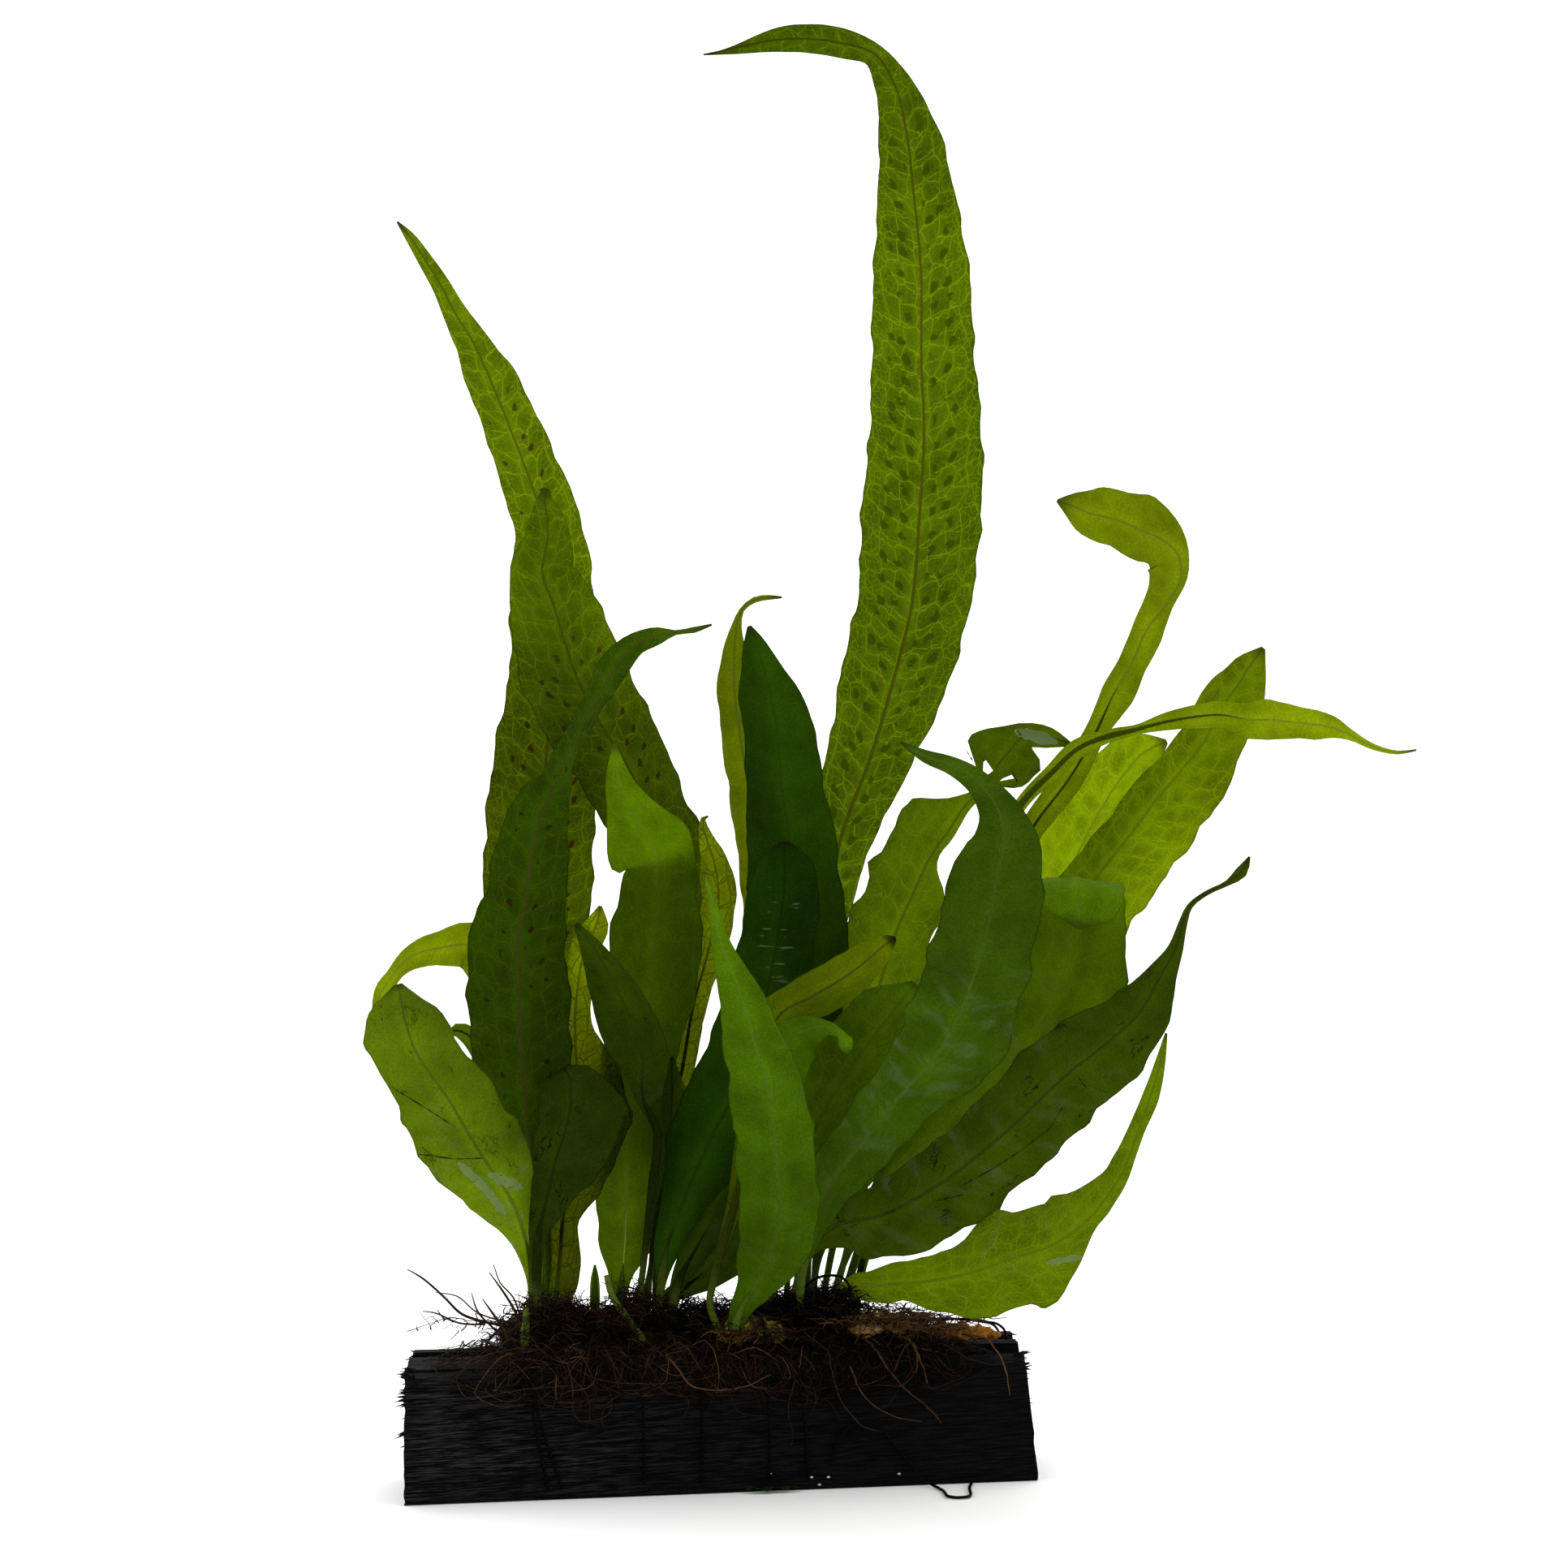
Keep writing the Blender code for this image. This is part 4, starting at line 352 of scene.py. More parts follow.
        (45, 14, 122, 9.6, 1.9), (49.5, 14, 128.5, 9, 1.5), (52.5, 14, 133, 2.3, 1.3),
        (54.5, 14, 135, 1, 1.3), (56, 14, 137.5, 1.6, 1.9), (58.5, 15, 140.5, 7.5, 7.1),
        (61.5, 15, 144, 6.5, 7.1), (64, 16, 146.6, 2.6, 3.4), (69, 16, 146.2, 2, 2.4),
        (73.5, 16, 144.6, 0.4),
    ),
    "frond_hooked": (
        (23, 11, 34, 0.6), (27, 14, 50, 0.8), (36, 18, 74.5, 1.3), (47.5, 20, 95.5, 2),
        (57.5, 21, 113.5, 2.5), (67, 22, 129.5, 2.6), (73.5, 23, 138, 2.9), (79, 24, 147.5, 2.3),
        (82.5, 24, 155, 2.6, 4), (86, 24, 161, 2.8, 3.3), (89.5, 24, 168.5, 3.1, 3.4),
        (93, 24, 173, 4.9, 1.6), (96, 24, 178.5, 6.6, 1.3), (95.5, 24, 183, 6.9, 2.4),
        (92.5, 24, 186, 5.9, 5), (88, 24, 188, 5.9, 7.1), (83.5, 24, 190, 5.6, 6.2),
        (77.5, 24, 191.5, 4.6, 5.2), (74, 24, 193, 2.6, 2.9), (71, 24, 194, 0.3),
    ),
    "frond_long_right": (
        (25, 8, 34, 0.6), (32.5, 8, 59, 0.8), (42.5, 8, 86, 1), (52, 8, 112, 1.1), (60, 8, 128, 1.1),
        (63.5, 8, 133.5, 1.3), (69, 8, 139, 1.6), (74.5, 8, 144, 1.9), (81, 8, 146.5, 1.3),
        (85.5, 8, 147.5, 1.3, 1.3, 40), (91, 7, 149, 2, 2, 30), (96.5, 7, 150, 2.4, 2.4, 20),
        (102.5, 6, 150.5, 2.8, 2.8, 10), (108, 5, 149.5, 3.6), (112, 5, 149.5, 3.9), (116.5, 4, 149, 3.4),
        (121, 3, 148.5, 2.9), (124, 3, 148, 2.2), (127.5, 2, 146.5, 1.1), (132.5, 2, 144, 0.6),
        (137, 1, 143, 0.4), (140.5, 1, 143.5, 0.2),
    ),
    "frond_bright_right": (
        (26.5, 11, 34, 0.7), (33.5, 17, 50, 1.3), (42.5, 21, 66, 3.6), (54.5, 25, 82, 6.9),
        (65, 28, 97.5, 7.9, 9.9), (73.5, 30, 109, 7.3, 11.2), (80, 31, 118.5, 5.9, 11.3),
        (86, 32, 126, 5.6, 11), (92.5, 32, 134.5, 5.6, 10.7), (97.5, 32, 140.5, 5, 10),
        (101.5, 32, 145.5, 5.3, 8.3), (105, 32, 152.5, 5, 6.9), (108, 32, 156.5, 4.6, 6.6),
        (110.5, 32, 160.5, 3.3, 4.2), (113.5, 32, 164.5, 0.5),
    ),
    "frond_broad_right": (
        (29, 12.5, 34.5, 0.7), (36, 22, 53, 1.6), (46, 28, 70.5, 4.9), (57, 33, 90, 8.3),
        (66.5, 36, 106.5, 9.1), (74.5, 38, 119.5, 8.6), (80.5, 39, 131, 8.3), (85.5, 40, 138.5, 7.3, 7),
        (90, 40, 143.5, 4.3, 5.2), (94.5, 40, 145.5, 0.5),
    ),
    "frond_front_right": (
        (19, -1.5, 33.5, 0.8), (19.5, -9, 42.5, 1.1), (21.5, -13, 51, 2.8), (25.5, -18, 60.5, 5.2),
        (32, -22, 69, 6.6), (38.5, -27, 77.5, 7.1), (46, -34, 87, 9.2, 11), (51, -40, 98.5, 9.8, 10),
        (54.5, -45, 112, 9.3), (56, -48, 121, 8.6), (57, -50, 127, 6), (55.5, -51, 132.5, 3.8),
        (52, -52, 137, 2.4), (47.5, -53, 140, 1.8), (42, -54, 142, 1.2), (37.5, -55, 144.5, 0.2),
    ),
    "frond_folded_right": (
        (24, 4, 34, 0.6), (29.5, 2, 46.5, 1), (39, 0, 61, 4), (50, -3, 72.5, 8), (61, -6, 84, 10.3),
        (67.5, -9, 93.5, 11.1), (71, -11, 102, 11.1, 11.7), (72, -13, 109.5, 8.8, 10.4),
        (72.5, -15, 114.5, 7.9, 9.4), (72, -17, 117.5, 7.5, 9.1), (72.2, -21, 118.8, 8, 9),
        (72.4, -25, 117, 8.2, 8.8), (72.4, -27, 113.5, 7.6, 8), (72.2, -28, 110.8, 4, 5),
        (72, -28.4, 109.2, 0.5),
    ),
    "frond_low_right": (
        (16.5, -0.5, 34, 0.7), (18.5, -3.5, 39, 0.8), (21.5, -5, 46.5, 1.9), (26, -7, 50.5, 4.3, 6),
        (34, -10, 52.5, 6.3, 9), (45, -14, 58.5, 7.4, 10.4), (57.5, -18, 68.5, 8.1, 9.8),
        (71, -22, 81.5, 9.2), (79, -24, 88, 8.1), (84, -26, 93, 6.1), (87.6, -27, 99.5, 3.4),
        (90.7, -28, 105.5, 1.5), (92, -28, 110, 0.9), (93.3, -29, 113.5, 0.6), (96.5, -29, 116, 0.5),
        (100.5, -30, 118, 0.6), (103, -30, 120, 1.2), (104.5, -31, 123, 0.2),
    ),
    "frond_bottom_right": (
        (26, 6, 34, 0.8), (26.8, 5.4, 35.6, 1.2, 1.3), (29.5, 3, 37.4, 2.4, 3.2), (34, 0, 38, 5, 4.4),
        (37.5, -2, 38.5, 5.4, 4.6), (45, -5, 39.5, 6.6, 8.4), (53, -8, 41.5, 8.2, 11.2),
        (60.5, -11, 44.5, 11.8, 12.8), (67.5, -13, 47, 11.4, 9.6), (73, -14, 50.5, 10.3, 3.5),
        (78, -15, 56, 6, 2.2), (82, -15, 62.5, 3.8, 1.5), (84.5, -15, 69.5, 2.5, 1.4), (87, -15, 76.5, 1.9),
        (89, -14, 83.5, 1.1), (90, -14, 88.5, 0.3),
    ),
    "frond_curl_right": (
        (30.5, 7, 35, 0.5), (31, 5.5, 40, 0.6), (32, 4, 43.5, 1), (34.5, 3, 44.5, 0.6), (36.5, 2, 46, 0.2),
    ),
    "young_shoot": ((-21, -8, 34.5, 0.7), (-21, -8, 37.5, 1), (-21, -8, 40.5, 0.8), (-21, -8, 43, 0.2)),
}

# How each frond looks: its leaf material, how far its margins ruffle out of the blade's plane
# and how far they wave within it, both as shares of the half width, then its tone, or its
# tones at shares of its length from stalk to tip. A tone scales the frond's brightness and
# holds both its own colour and painted shade and light: lower where other leaves crowd
# round it, higher where it stands clear.
FROND_LOOKS = {
    "frond_tall": (
        "leaf_spotted", 0.09, 0.04, (0, 0.38), (0.35, 0.37), (0.5, 0.38), (0.72, 0.475), (0.84, 0.34),
        (1, 0.22),
    ),
    "frond_left_tall": (
        "leaf_spotted_small", 0.11, 0.05, (0, 0.26), (0.4, 0.26), (0.49, 0.22), (0.57, 0.3), (0.66, 0.5),
        (1, 0.5),
    ),
    "frond_left_broad": (
        "leaf_flecked", 0.1, 0.05, (0, 0.2), (0.66, 0.22), (0.74, 0.36), (0.84, 0.6), (1, 0.62),
    ),
    "frond_left_front": ("leaf_brown_spots", 0.14, 0.06, (0, 0.36), (0.5, 0.39), (0.7, 0.45), (1, 0.5)),
    # Painted light: the tip above the crease is painted brighter, as no leaf lies behind it, and the blade
    # below it darker.
    "frond_light_tip": (
        "leaf_plain", 0.1, 0.05, (0, 0.3), (0.24, 0.3), (0.3, 0.15), (0.42, 0.15), (0.5, 0.31),
        (0.765, 0.38), (0.785, 0.78), (1, 0.7),
    ),
    "frond_yellow_left": (
        "leaf_yellow", 0.16, 0.1, (0, 0.16), (0.55, 0.19), (0.72, 0.35), (0.84, 0.62), (1, 0.72),
    ),
    "frond_pointed_left": ("leaf_olive", 0.06, 0.03, (0, 0.3), (0.5, 0.36), (0.8, 0.55), (1, 0.6)),
    "frond_left_low": ("leaf_scarred_bright", 0.16, 0.06, (0, 0.6), (0.4, 0.6), (0.48, 0.4), (1, 0.4)),
    "frond_arching_left": ("leaf_lime", 0.14, 0.06, 0.45),
    "frond_withered_left": ("leaf_scarred", 0.2, 0.12, 0.6),
    "frond_left_short": ("leaf_scarred", 0.2, 0.12, (0, 0.34), (0.5, 0.36), (1, 0.28)),
    "frond_center_left": ("leaf_scratched", 0.12, 0.05, 0.36),
    "frond_yellow_center": ("leaf_yellow", 0.16, 0.1, (0, 0.25), (0.55, 0.35), (0.75, 0.6), (1, 0.65)),
    "frond_small_center": ("leaf_olive", 0.1, 0.05, 0.4),
    # Painted shade: these two lie in the shade behind the front fronds and are painted dark.
    "frond_low_center_front": ("leaf_olive", 0.1, 0.05, 0.25),
    "frond_low_center_back": ("leaf_olive", 0.1, 0.05, 0.22),
    "frond_front_center": ("leaf_soft", 0.16, 0.07, (0, 0.5), (0.25, 0.52), (0.45, 0.64), (1, 0.64)),
    "frond_knob": ("leaf_soft", 0.16, 0.06, (0, 0.66), (0.9, 0.7), (0.95, 1.0), (1, 1.0)),
    "frond_brown_tip": (
        "leaf_streaked", 0.14, 0.08, (0, 0.5), (0.6, 0.95), (0.978, 0.95), (0.988, 0.3), (1, 0.2),
    ),
    "frond_dark_center": ("leaf_shade", 0.08, 0.04, (0, 0.28), (0.5, 0.3), (0.62, 0.38), (1, 0.38)),
    "frond_sliver": ("leaf_lime", 0.1, 0.09, 0.23),
    "frond_dark_right": ("leaf_olive", 0.1, 0.06, 1.2),
    "frond_low_behind": ("leaf_olive", 0.1, 0.05, 0.6),
    "frond_torn": ("leaf_torn", 0.18, 0.14, (0, 0.52), (0.8, 0.53), (0.86, 0.34), (1, 0.32)),
    "frond_hooked": ("leaf_lime", 0.14, 0.05, (0, 0.33), (0.7, 0.36), (0.8, 0.34), (1, 0.34)),
    "frond_long_right": ("leaf_lime", 0.14, 0.1, 0.5),
    "frond_bright_right": ("leaf_bright", 0.1, 0.06, (0, 0.5), (0.72, 0.54), (0.85, 0.33), (1, 0.3)),
    "frond_broad_right": ("leaf_bright", 0.1, 0.06, (0, 0.48), (0.7, 0.55), (0.9, 0.6), (1, 0.5)),
    "frond_front_right": ("leaf_smooth", 0.14, 0.07, (0, 0.5), (0.45, 0.44), (0.7, 0.26), (1, 0.3)),
    # Painted highlight: the folded flap at its tip is painted bright as a pale sheen.
    "frond_folded_right": ("leaf_glossy", 0.16, 0.07, (0, 0.35), (0.8, 0.36), (0.85, 0.8), (1, 0.8)),
    "frond_low_right": ("leaf_scarred", 0.14, 0.07, (0, 0.4), (0.6, 0.4), (0.8, 0.25), (1, 0.25)),
    "frond_bottom_right": ("leaf_netted", 0.16, 0.08, 0.44),
    "frond_curl_right": ("leaf_scarred", 0.1, 0.06, 0.5),
    "young_shoot": ("leaf_plain", 0.02, 0.03, 0.6),
}

# Holes through blades, in mm in the plant's frame: across, up, radius.
HOLES = {
    "frond_tall": ((36.6, 261.2, 1.3),),
    "frond_torn": ((56.8, 140.2, 1.3), (60.7, 137.4, 1.2), (58.6, 142.6, 0.7)),
}

# Brown scars on blades, in mm in the plant's frame: across, up.
SCARS = {
    "frond_low_right": (
        ((49.9, 58.8), (56, 62.2), (61.5, 65.9), (67.1, 70.4), (69.8, 75.1)), ((72.2, 80.8), (74.6, 77.6)),
        ((28.6, 50.2), (31.1, 51.5)), ((34.9, 52.9), (38, 54)), ((44.9, 55.8), (51.2, 57.4)),
    ),
    "frond_left_low": (
        ((-59.1, 79), (-53.5, 75.2), (-46.6, 70.5)), ((-55.1, 65.7), (-47.6, 64.6), (-41.8, 64.7)),
    ),
    "frond_torn": (((52.1, 143.9), (53.9, 141)), ((61.3, 139.7), (62.9, 136.5))),
}
SCAR_WIDTH = 0.34
SCAR_COLOUR = (0.040, 0.017, 0.005)

# How far scars and painted gleams lie in front of their blade, and the step along them, in mm.
STRIP_RISE = 0.12
STRIP_STEP = 0.6

# Painted gleams on blades: pale highlights painted on as broad strips, in mm in the plant's frame: width,
# then across, up.
PAINTED_GLEAMS = {
    "frond_left_low": ((2.0, (-46.9, 63.9), (-42.1, 59), (-37.9, 53.3)), (2.8, (-41.2, 61.5), (-34.4, 58.5))),
    "frond_bottom_right": ((1.6, (66.8, 43.6), (70, 44.2), (74, 44.9)),),
    "frond_torn": ((2.8, (62, 147.4), (65.2, 146.6), (71, 145)),),
}
# The painted gleam's colour in the light sent back, and the clear colour that lets light through it.
PAINTED_GLEAM_COLOUR = (0.240, 0.300, 0.170)
PAINTED_GLEAM_CLEAR = (0.74, 0.86, 0.50)

# Leaf colours as light passes through them: the blade, its veins and its midrib, then the
# strength of the net of veins, of the round spots, of brown scars, the share of light that
# the surface sends back, and the strength of its painted sheen, pale patches painted into
# that light as a reflection, where it has one.
LEAVES = {
    "leaf_spotted": ((0.114, 0.2, 0.001), (0.315, 0.44, 0.004), (0.1, 0.1, 0.004), 0.72, 0.85, 0.0, 0.25),
    "leaf_spotted_small": (
        (0.125, 0.2, 0.001), (0.3, 0.4, 0.004), (0.11, 0.12, 0.004), 0.8, 0.9, 0.0, 0.25,
    ),
    "leaf_flecked": ((0.115, 0.19, 0.001), (0.23, 0.33, 0.002), (0.11, 0.12, 0.004), 0.75, 0.8, 0.1, 0.25),
    "leaf_brown_spots": (
        (0.06, 0.13, 0.001), (0.112, 0.21, 0.002), (0.13, 0.12, 0.02), 0.6, 0.95, 0.1, 0.25,
    ),
    "leaf_plain": ((0.125, 0.235, 0.001), (0.175, 0.3, 0.002), (0.17, 0.26, 0.012), 0.4, 0.0, 0.1, 0.25),
    "leaf_glossy": (
        (0.125, 0.235, 0.001), (0.175, 0.3, 0.002), (0.17, 0.26, 0.012), 0.4, 0.0, 0.1, 0.3, 0.3,
    ),
    "leaf_streaked": (
        (0.17, 0.225, 0.001), (0.21, 0.27, 0.002), (0.1, 0.11, 0.01), 0.4, 0.0, 0.25, 0.25, 0.05,
    ),
    "leaf_smooth": (
        (0.115, 0.23, 0.004), (0.138, 0.26, 0.006), (0.18, 0.29, 0.03), 0.35, 0.0, 0.0, 0.4, 0.22,
    ),
    "leaf_soft": (
        (0.115, 0.23, 0.001), (0.138, 0.26, 0.003), (0.16, 0.27, 0.02), 0.35, 0.0, 0.0, 0.4, 0.05,
    ),
    "leaf_olive": (
        (0.062, 0.116, 0.001), (0.088, 0.152, 0.002), (0.07, 0.11, 0.006), 0.5, 0.0, 0.5, 0.3, 0.1,
    ),
    "leaf_shade": ((0.044, 0.116, 0.001), (0.066, 0.155, 0.002), (0.05, 0.11, 0.006), 0.35, 0.0, 0.1, 0.3),
    "leaf_scratched": (
        (0.038, 0.116, 0.001), (0.056, 0.155, 0.002), (0.04, 0.09, 0.006), 0.35, 0.0, 0.0, 0.3,
    ),
    "leaf_torn": ((0.125, 0.2, 0.001), (0.215, 0.32, 0.002), (0.11, 0.12, 0.004), 0.5, 0.0, 0.3, 0.25),
    "leaf_netted": ((0.19, 0.3, 0.001), (0.36, 0.46, 0.008), (0.2, 0.27, 0.006), 0.6, 0.0, 0.1, 0.25, 0.1),
    "leaf_yellow": ((0.29, 0.38, 0.002), (0.13, 0.17, 0.002), (0.14, 0.17, 0.006), 0.8, 0.0, 0.2, 0.2),
    "leaf_lime": ((0.29, 0.4, 0.002), (0.4, 0.5, 0.006), (0.24, 0.32, 0.02), 0.4, 0.0, 0.05, 0.2),
    "leaf_bright": ((0.22, 0.335, 0.001), (0.36, 0.46, 0.004), (0.2, 0.27, 0.006), 0.85, 0.1, 0.05, 0.2),
    "leaf_scarred_bright": (
        (0.205, 0.335, 0.004), (0.27, 0.38, 0.01), (0.15, 0.22, 0.012), 0.35, 0.0, 0.6, 0.3, 0.3,
    ),
    "leaf_scarred": (
        (0.095, 0.165, 0.001), (0.14, 0.215, 0.004), (0.08, 0.11, 0.008), 0.35, 0.0, 0.9, 0.3, 0.2,
    ),
}

# Leaf materials whose spots are small and brown.
BROWN_SPOTTED = ("leaf_brown_spots", "leaf_flecked", "leaf_spotted_small")

# The form of a leaf, in mm. Its stalk starts inside the rhizome, at this height at the most,
# and turns into a blade as it grows from BLADE_FROM wide by BLADE_OVER.
STALK_FOOT = 31.0
STALK_RADIUS = 0.95
BLADE_FROM = 2.6
BLADE_OVER = 4.0
BLADE_STEP = 1.5
BLADE_COLUMNS = 20
LEAST_HALF_WIDTH = 0.12

# On the inside of a bend a blade is no wider than this share of the bend's radius.
BEND_SHARE = 0.9

# Margins wave with these longest periods, within the blade's plane and out of it.
EDGE_WAVE = 13.0
LIFT_WAVE = 19.0

# A blade is cupped, as a share of its half width. It is blistered between its side veins, and
# sunk along its midrib.
BLADE_CUP = 0.06
BLISTER_HEIGHT = 0.14
RIB_GROOVE = 0.25
RIB_GROOVE_WIDTH = 0.5
RIB_SIDES = 8
RIB_FLATNESS = 0.8
RIB_HALF_WIDTH = 0.05

# The drawing of a leaf, in mm: its side veins, the two nets between them and its spots.
SIDE_VEIN_SPACING = 4.6
SIDE_VEIN_SLOPE = 0.55
COARSE_CELL = 3.4
FINE_CELL = 1.35
SPOT_SPACING = 3.7
GREEN_SPOT = 0.95
BROWN_SPOT = 0.62
BROWN_SPOT_COLOUR = (0.060, 0.030, 0.006)
GREEN_SPOT_SHARE = 0.48
FLECK_COLOUR = (0.030, 0.018, 0.005)
TIP_COLOUR = (0.030, 0.020, 0.006)
STALK_COLOUR = (0.150, 0.200, 0.025)
# The pale colour of a leaf's painted sheen, a painted reflection.
PAINTED_SHEEN_COLOUR = (0.250, 0.330, 0.200)
SCRATCH_COLOUR = (0.230, 0.300, 0.160)

# Pale specks on the front of the wood, in mm: x and height.
WOOD_SPECKS = ((8.6, 3.4), (16.9, 2.4), (18.5, 0.9), (20.3, 2.3), (34.6, 2.4))
SPECK_SIZE = 0.28

# The cut stalks, in the same order as a leaf.
CUT_STALK_LOOK = ((0.140, 0.200, 0.020), (0.170, 0.240, 0.030), (0.120, 0.180, 0.030), 0.1, 0.0, 0.2, 0.5)

# Colours of the wood, the roots, the rhizomes, the threads and the floor. A rhizome has a dark
# and a light one, and CREAM on its right mound and ORANGE at its growing tip.
WOOD_BLACK = (0.0008, 0.0008, 0.0009)
WOOD_GREY = (0.0028, 0.0028, 0.0030)
# The pale grey painted as sheen in streaks on the wood.
WOOD_PAINTED_SHEEN = (0.025, 0.025, 0.027)
WOOD_SPECK = (0.45, 0.45, 0.45)
# The near black painted as shade inside the crack and the slot.
SLOT_PAINTED_SHADE = (0.0002, 0.0002, 0.0002)
ROOT_BLACK = (0.0009, 0.0006, 0.0005)
ROOT_BROWN = (0.0178, 0.0092, 0.0050)
ROOT_OCHRE = (0.080, 0.040, 0.014)
RHIZOME_GREEN = ((0.004, 0.003, 0.001), (0.028, 0.026, 0.004))
RHIZOME_OCHRE = ((0.008, 0.005, 0.001), (0.140, 0.115, 0.012))
CREAM = (0.300, 0.190, 0.062)
ORANGE = (0.300, 0.100, 0.006)
THREAD_BLACK = (0.0002, 0.0002, 0.0002)
THREAD_GREY = (0.0010, 0.0010, 0.0010)
FLOOR_PALE = (0.93, 0.93, 0.93)
FLOOR_PALER = (0.95, 0.95, 0.95)

# The light, in metres: an even white world, and a soft box above and behind the plant.
WORLD_STRENGTH = 1.35
SOFTBOX_PLACE = (0.15, 0.75, 1.15)
SOFTBOX_AIM = (0, 0, 0.1)
SOFTBOX_SIZE = (1.2, 0.9)
SOFTBOX_POWER = 6.0
FLOOR_RADIUS = 6.0
FLOOR_DROP = 0.0001


def mm_to_block(points):
    """From the plant's frame in mm to the block's frame in metres."""
    points = np.atleast_2d(np.asarray(points, float))[:, :3] * MM
    turn_cos, turn_sin = math.cos(PLANT_TURN), math.sin(PLANT_TURN)
    across, back, up = points.T
    x = across * turn_cos + back * turn_sin
    y = back * turn_cos - across * turn_sin
    return np.stack([x, y, up], axis=1)


def smooth_rows(stations, spacing):
    """A smooth curve through the stations, with their other columns carried along."""
    rows = np.array(stations, float)
    chords = np.linalg.norm(np.diff(rows[:, :3], axis=0), axis=1)
    slopes = np.diff(rows, axis=0) / chords[:, None]
    tangents = np.vstack([slopes[:1], slopes, slopes[-1:]])
    weights = np.concatenate([chords[:1], chords, chords[-1:]])
    near, far = weights[:-1, None], weights[1:, None]
    tangents = (tangents[:-1] * far + tangents[1:] * near) / (near + far)
    out = []
    for i, chord in enumerate(chords):
        steps = max(1, round(chord / spacing))
        for t in np.arange(steps) / steps:
            out.append((2 * t ** 3 - 3 * t ** 2 + 1) * rows[i]
                       + (t ** 3 - 2 * t ** 2 + t) * chord * tangents[i]
                       + (3 * t ** 2 - 2 * t ** 3) * rows[i + 1]
                       + (t ** 3 - t ** 2) * chord * tangents[i + 1])
    out.append(rows[-1])
    return np.array(out)


def frames_along(points, start=(0.0, -1.0, 0.0)):
    """Tangents, and sides and normals that turn as little as they can along the curve."""
    tangents = np.gradient(points, axis=0)
    tangents /= np.linalg.norm(tangents, axis=1)[:, None]
    normal = np.array(start)
    normals = []
    for i, tangent in enumerate(tangents):
        if i:
            chord = points[i] - points[i - 1]
            normal = normal - 2 * chord.dot(normal) / chord.dot(chord) * chord
            mirrored = tangents[i - 1] - 2 * chord.dot(tangents[i - 1]) / chord.dot(chord) * chord
            turn = tangent - mirrored
            if turn.dot(turn) > 1e-12:
                normal = normal - 2 * turn.dot(normal) / turn.dot(turn) * turn
        normal = normal - normal.dot(tangent) * tangent
        normal = normal / np.linalg.norm(normal)
        normals.append(normal)
    normals = np.array(normals)
    return tangents, np.cross(tangents, normals), normals


def lengths_along(points):
    return np.concatenate([[0], np.cumsum(np.linalg.norm(np.diff(points, axis=0), axis=1))])


def surface_map(by_column, by_row):
    """Pairs for a grid of points, the first by their column and the second by their row."""
    return np.stack(np.broadcast_arrays(by_column[None, :], by_row[:, None]), axis=-1)


def rings_round(points, across, normals, radii, angles, flatness=1.0):
    """A ring of points round each point of a line."""
    ring = across[:, None] * np.cos(angles)[None, :, None]
    ring = ring + normals[:, None] * (flatness * np.sin(angles))[None, :, None]
    return points[:, None] + ring * radii[:, None, None]


def round_bar(rows, sides):
    """Rings round a bar through rows of x, y, z and radius, their angles and the length along it."""
    points = rows[:, :3]
    _, across, normals = frames_along(points, start=(0.3, -0.9, 0.1))
    angles = 2 * math.pi * np.arange(sides) / sides
    return rings_round(points, across, normals, rows[:, 3], angles), angles, lengths_along(points)


def add_object(name, data):
    ob = bpy.data.objects.new(name, data)
    bpy.context.scene.collection.objects.link(ob)
    return ob


class Builder:
    """Collects points, faces and their two surface maps, and makes one piece of them."""

    def __init__(self):
        self.points = []
        self.faces = []
        self.leaf = []
        self.blade = []
        self.tone = []
        self.count = 0

    def grid(self, points, leaf, blade, tone=None, closed=False, capped=False, whole=1.0):
        """A grid of rows by columns, with its surface maps point by point and a tone for each row.

        A leaf's second tone value is whole: 1 on the blade, 0 on a scar and 2 on a painted gleam.
        """
        rows, columns = points.shape[:2]
        self.points.append(points.reshape(-1, 3))
        tones = np.full((rows, columns, 2), whole)
        if tone is not None:
            tones[:, :, 0] = np.asarray(tone)[:, None]
        self.tone.append(tones.reshape(-1, 2))
        self.leaf.append(np.broadcast_to(leaf, (rows, columns, 2)).reshape(-1, 2))
        self.blade.append(np.broadcast_to(blade, (rows, columns, 2)).reshape(-1, 2))
        index = np.arange(rows * columns).reshape(rows, columns) + self.count
        after = np.roll(index, -1, axis=1) if closed else index[:, 1:]
        here = index if closed else index[:, :-1]
        quads = np.stack([here[:-1], after[:-1], after[1:], here[1:]], axis=-1).reshape(-1, 4)
        self.faces += quads.tolist()
        if capped:
            self.faces += [index[0][::-1].tolist(), index[-1].tolist()]
        self.count += rows * columns

    def tube(self, rows, tone=0.5, sides=6):
        """A round bar in mm through rows of x, y, z and radius; its tone goes into the maps."""
        grid, angles, length = round_bar(rows, sides)
        blade = surface_map(np.full(sides, tone), length / length[-1])
        self.grid(grid, surface_map(angles / math.pi, length), blade, closed=True, capped=True)

    def piece(self, name, material, smooth=True, of_plant=False):
        """The piece in metres in the block's frame, from points in that frame or in the plant's."""
        points = np.concatenate(self.points)
        points = mm_to_block(points) if of_plant else points * MM
        mesh = bpy.data.meshes.new(name)
        mesh.from_pydata(points.tolist(), [], self.faces)
        corners = np.empty(len(mesh.loops), dtype=np.int32)
        mesh.loops.foreach_get("vertex_index", corners)
        for map_name, values in (("leaf", self.leaf), ("blade", self.blade), ("tone", self.tone)):
            layer = mesh.uv_layers.new(name=map_name)
            layer.uv.foreach_set("vector", np.concatenate(values)[corners].astype(np.float32).ravel())
        mesh.update()
        if smooth:
            mesh.shade_smooth()
        mesh.materials.append(material)
        return add_object(name, mesh)


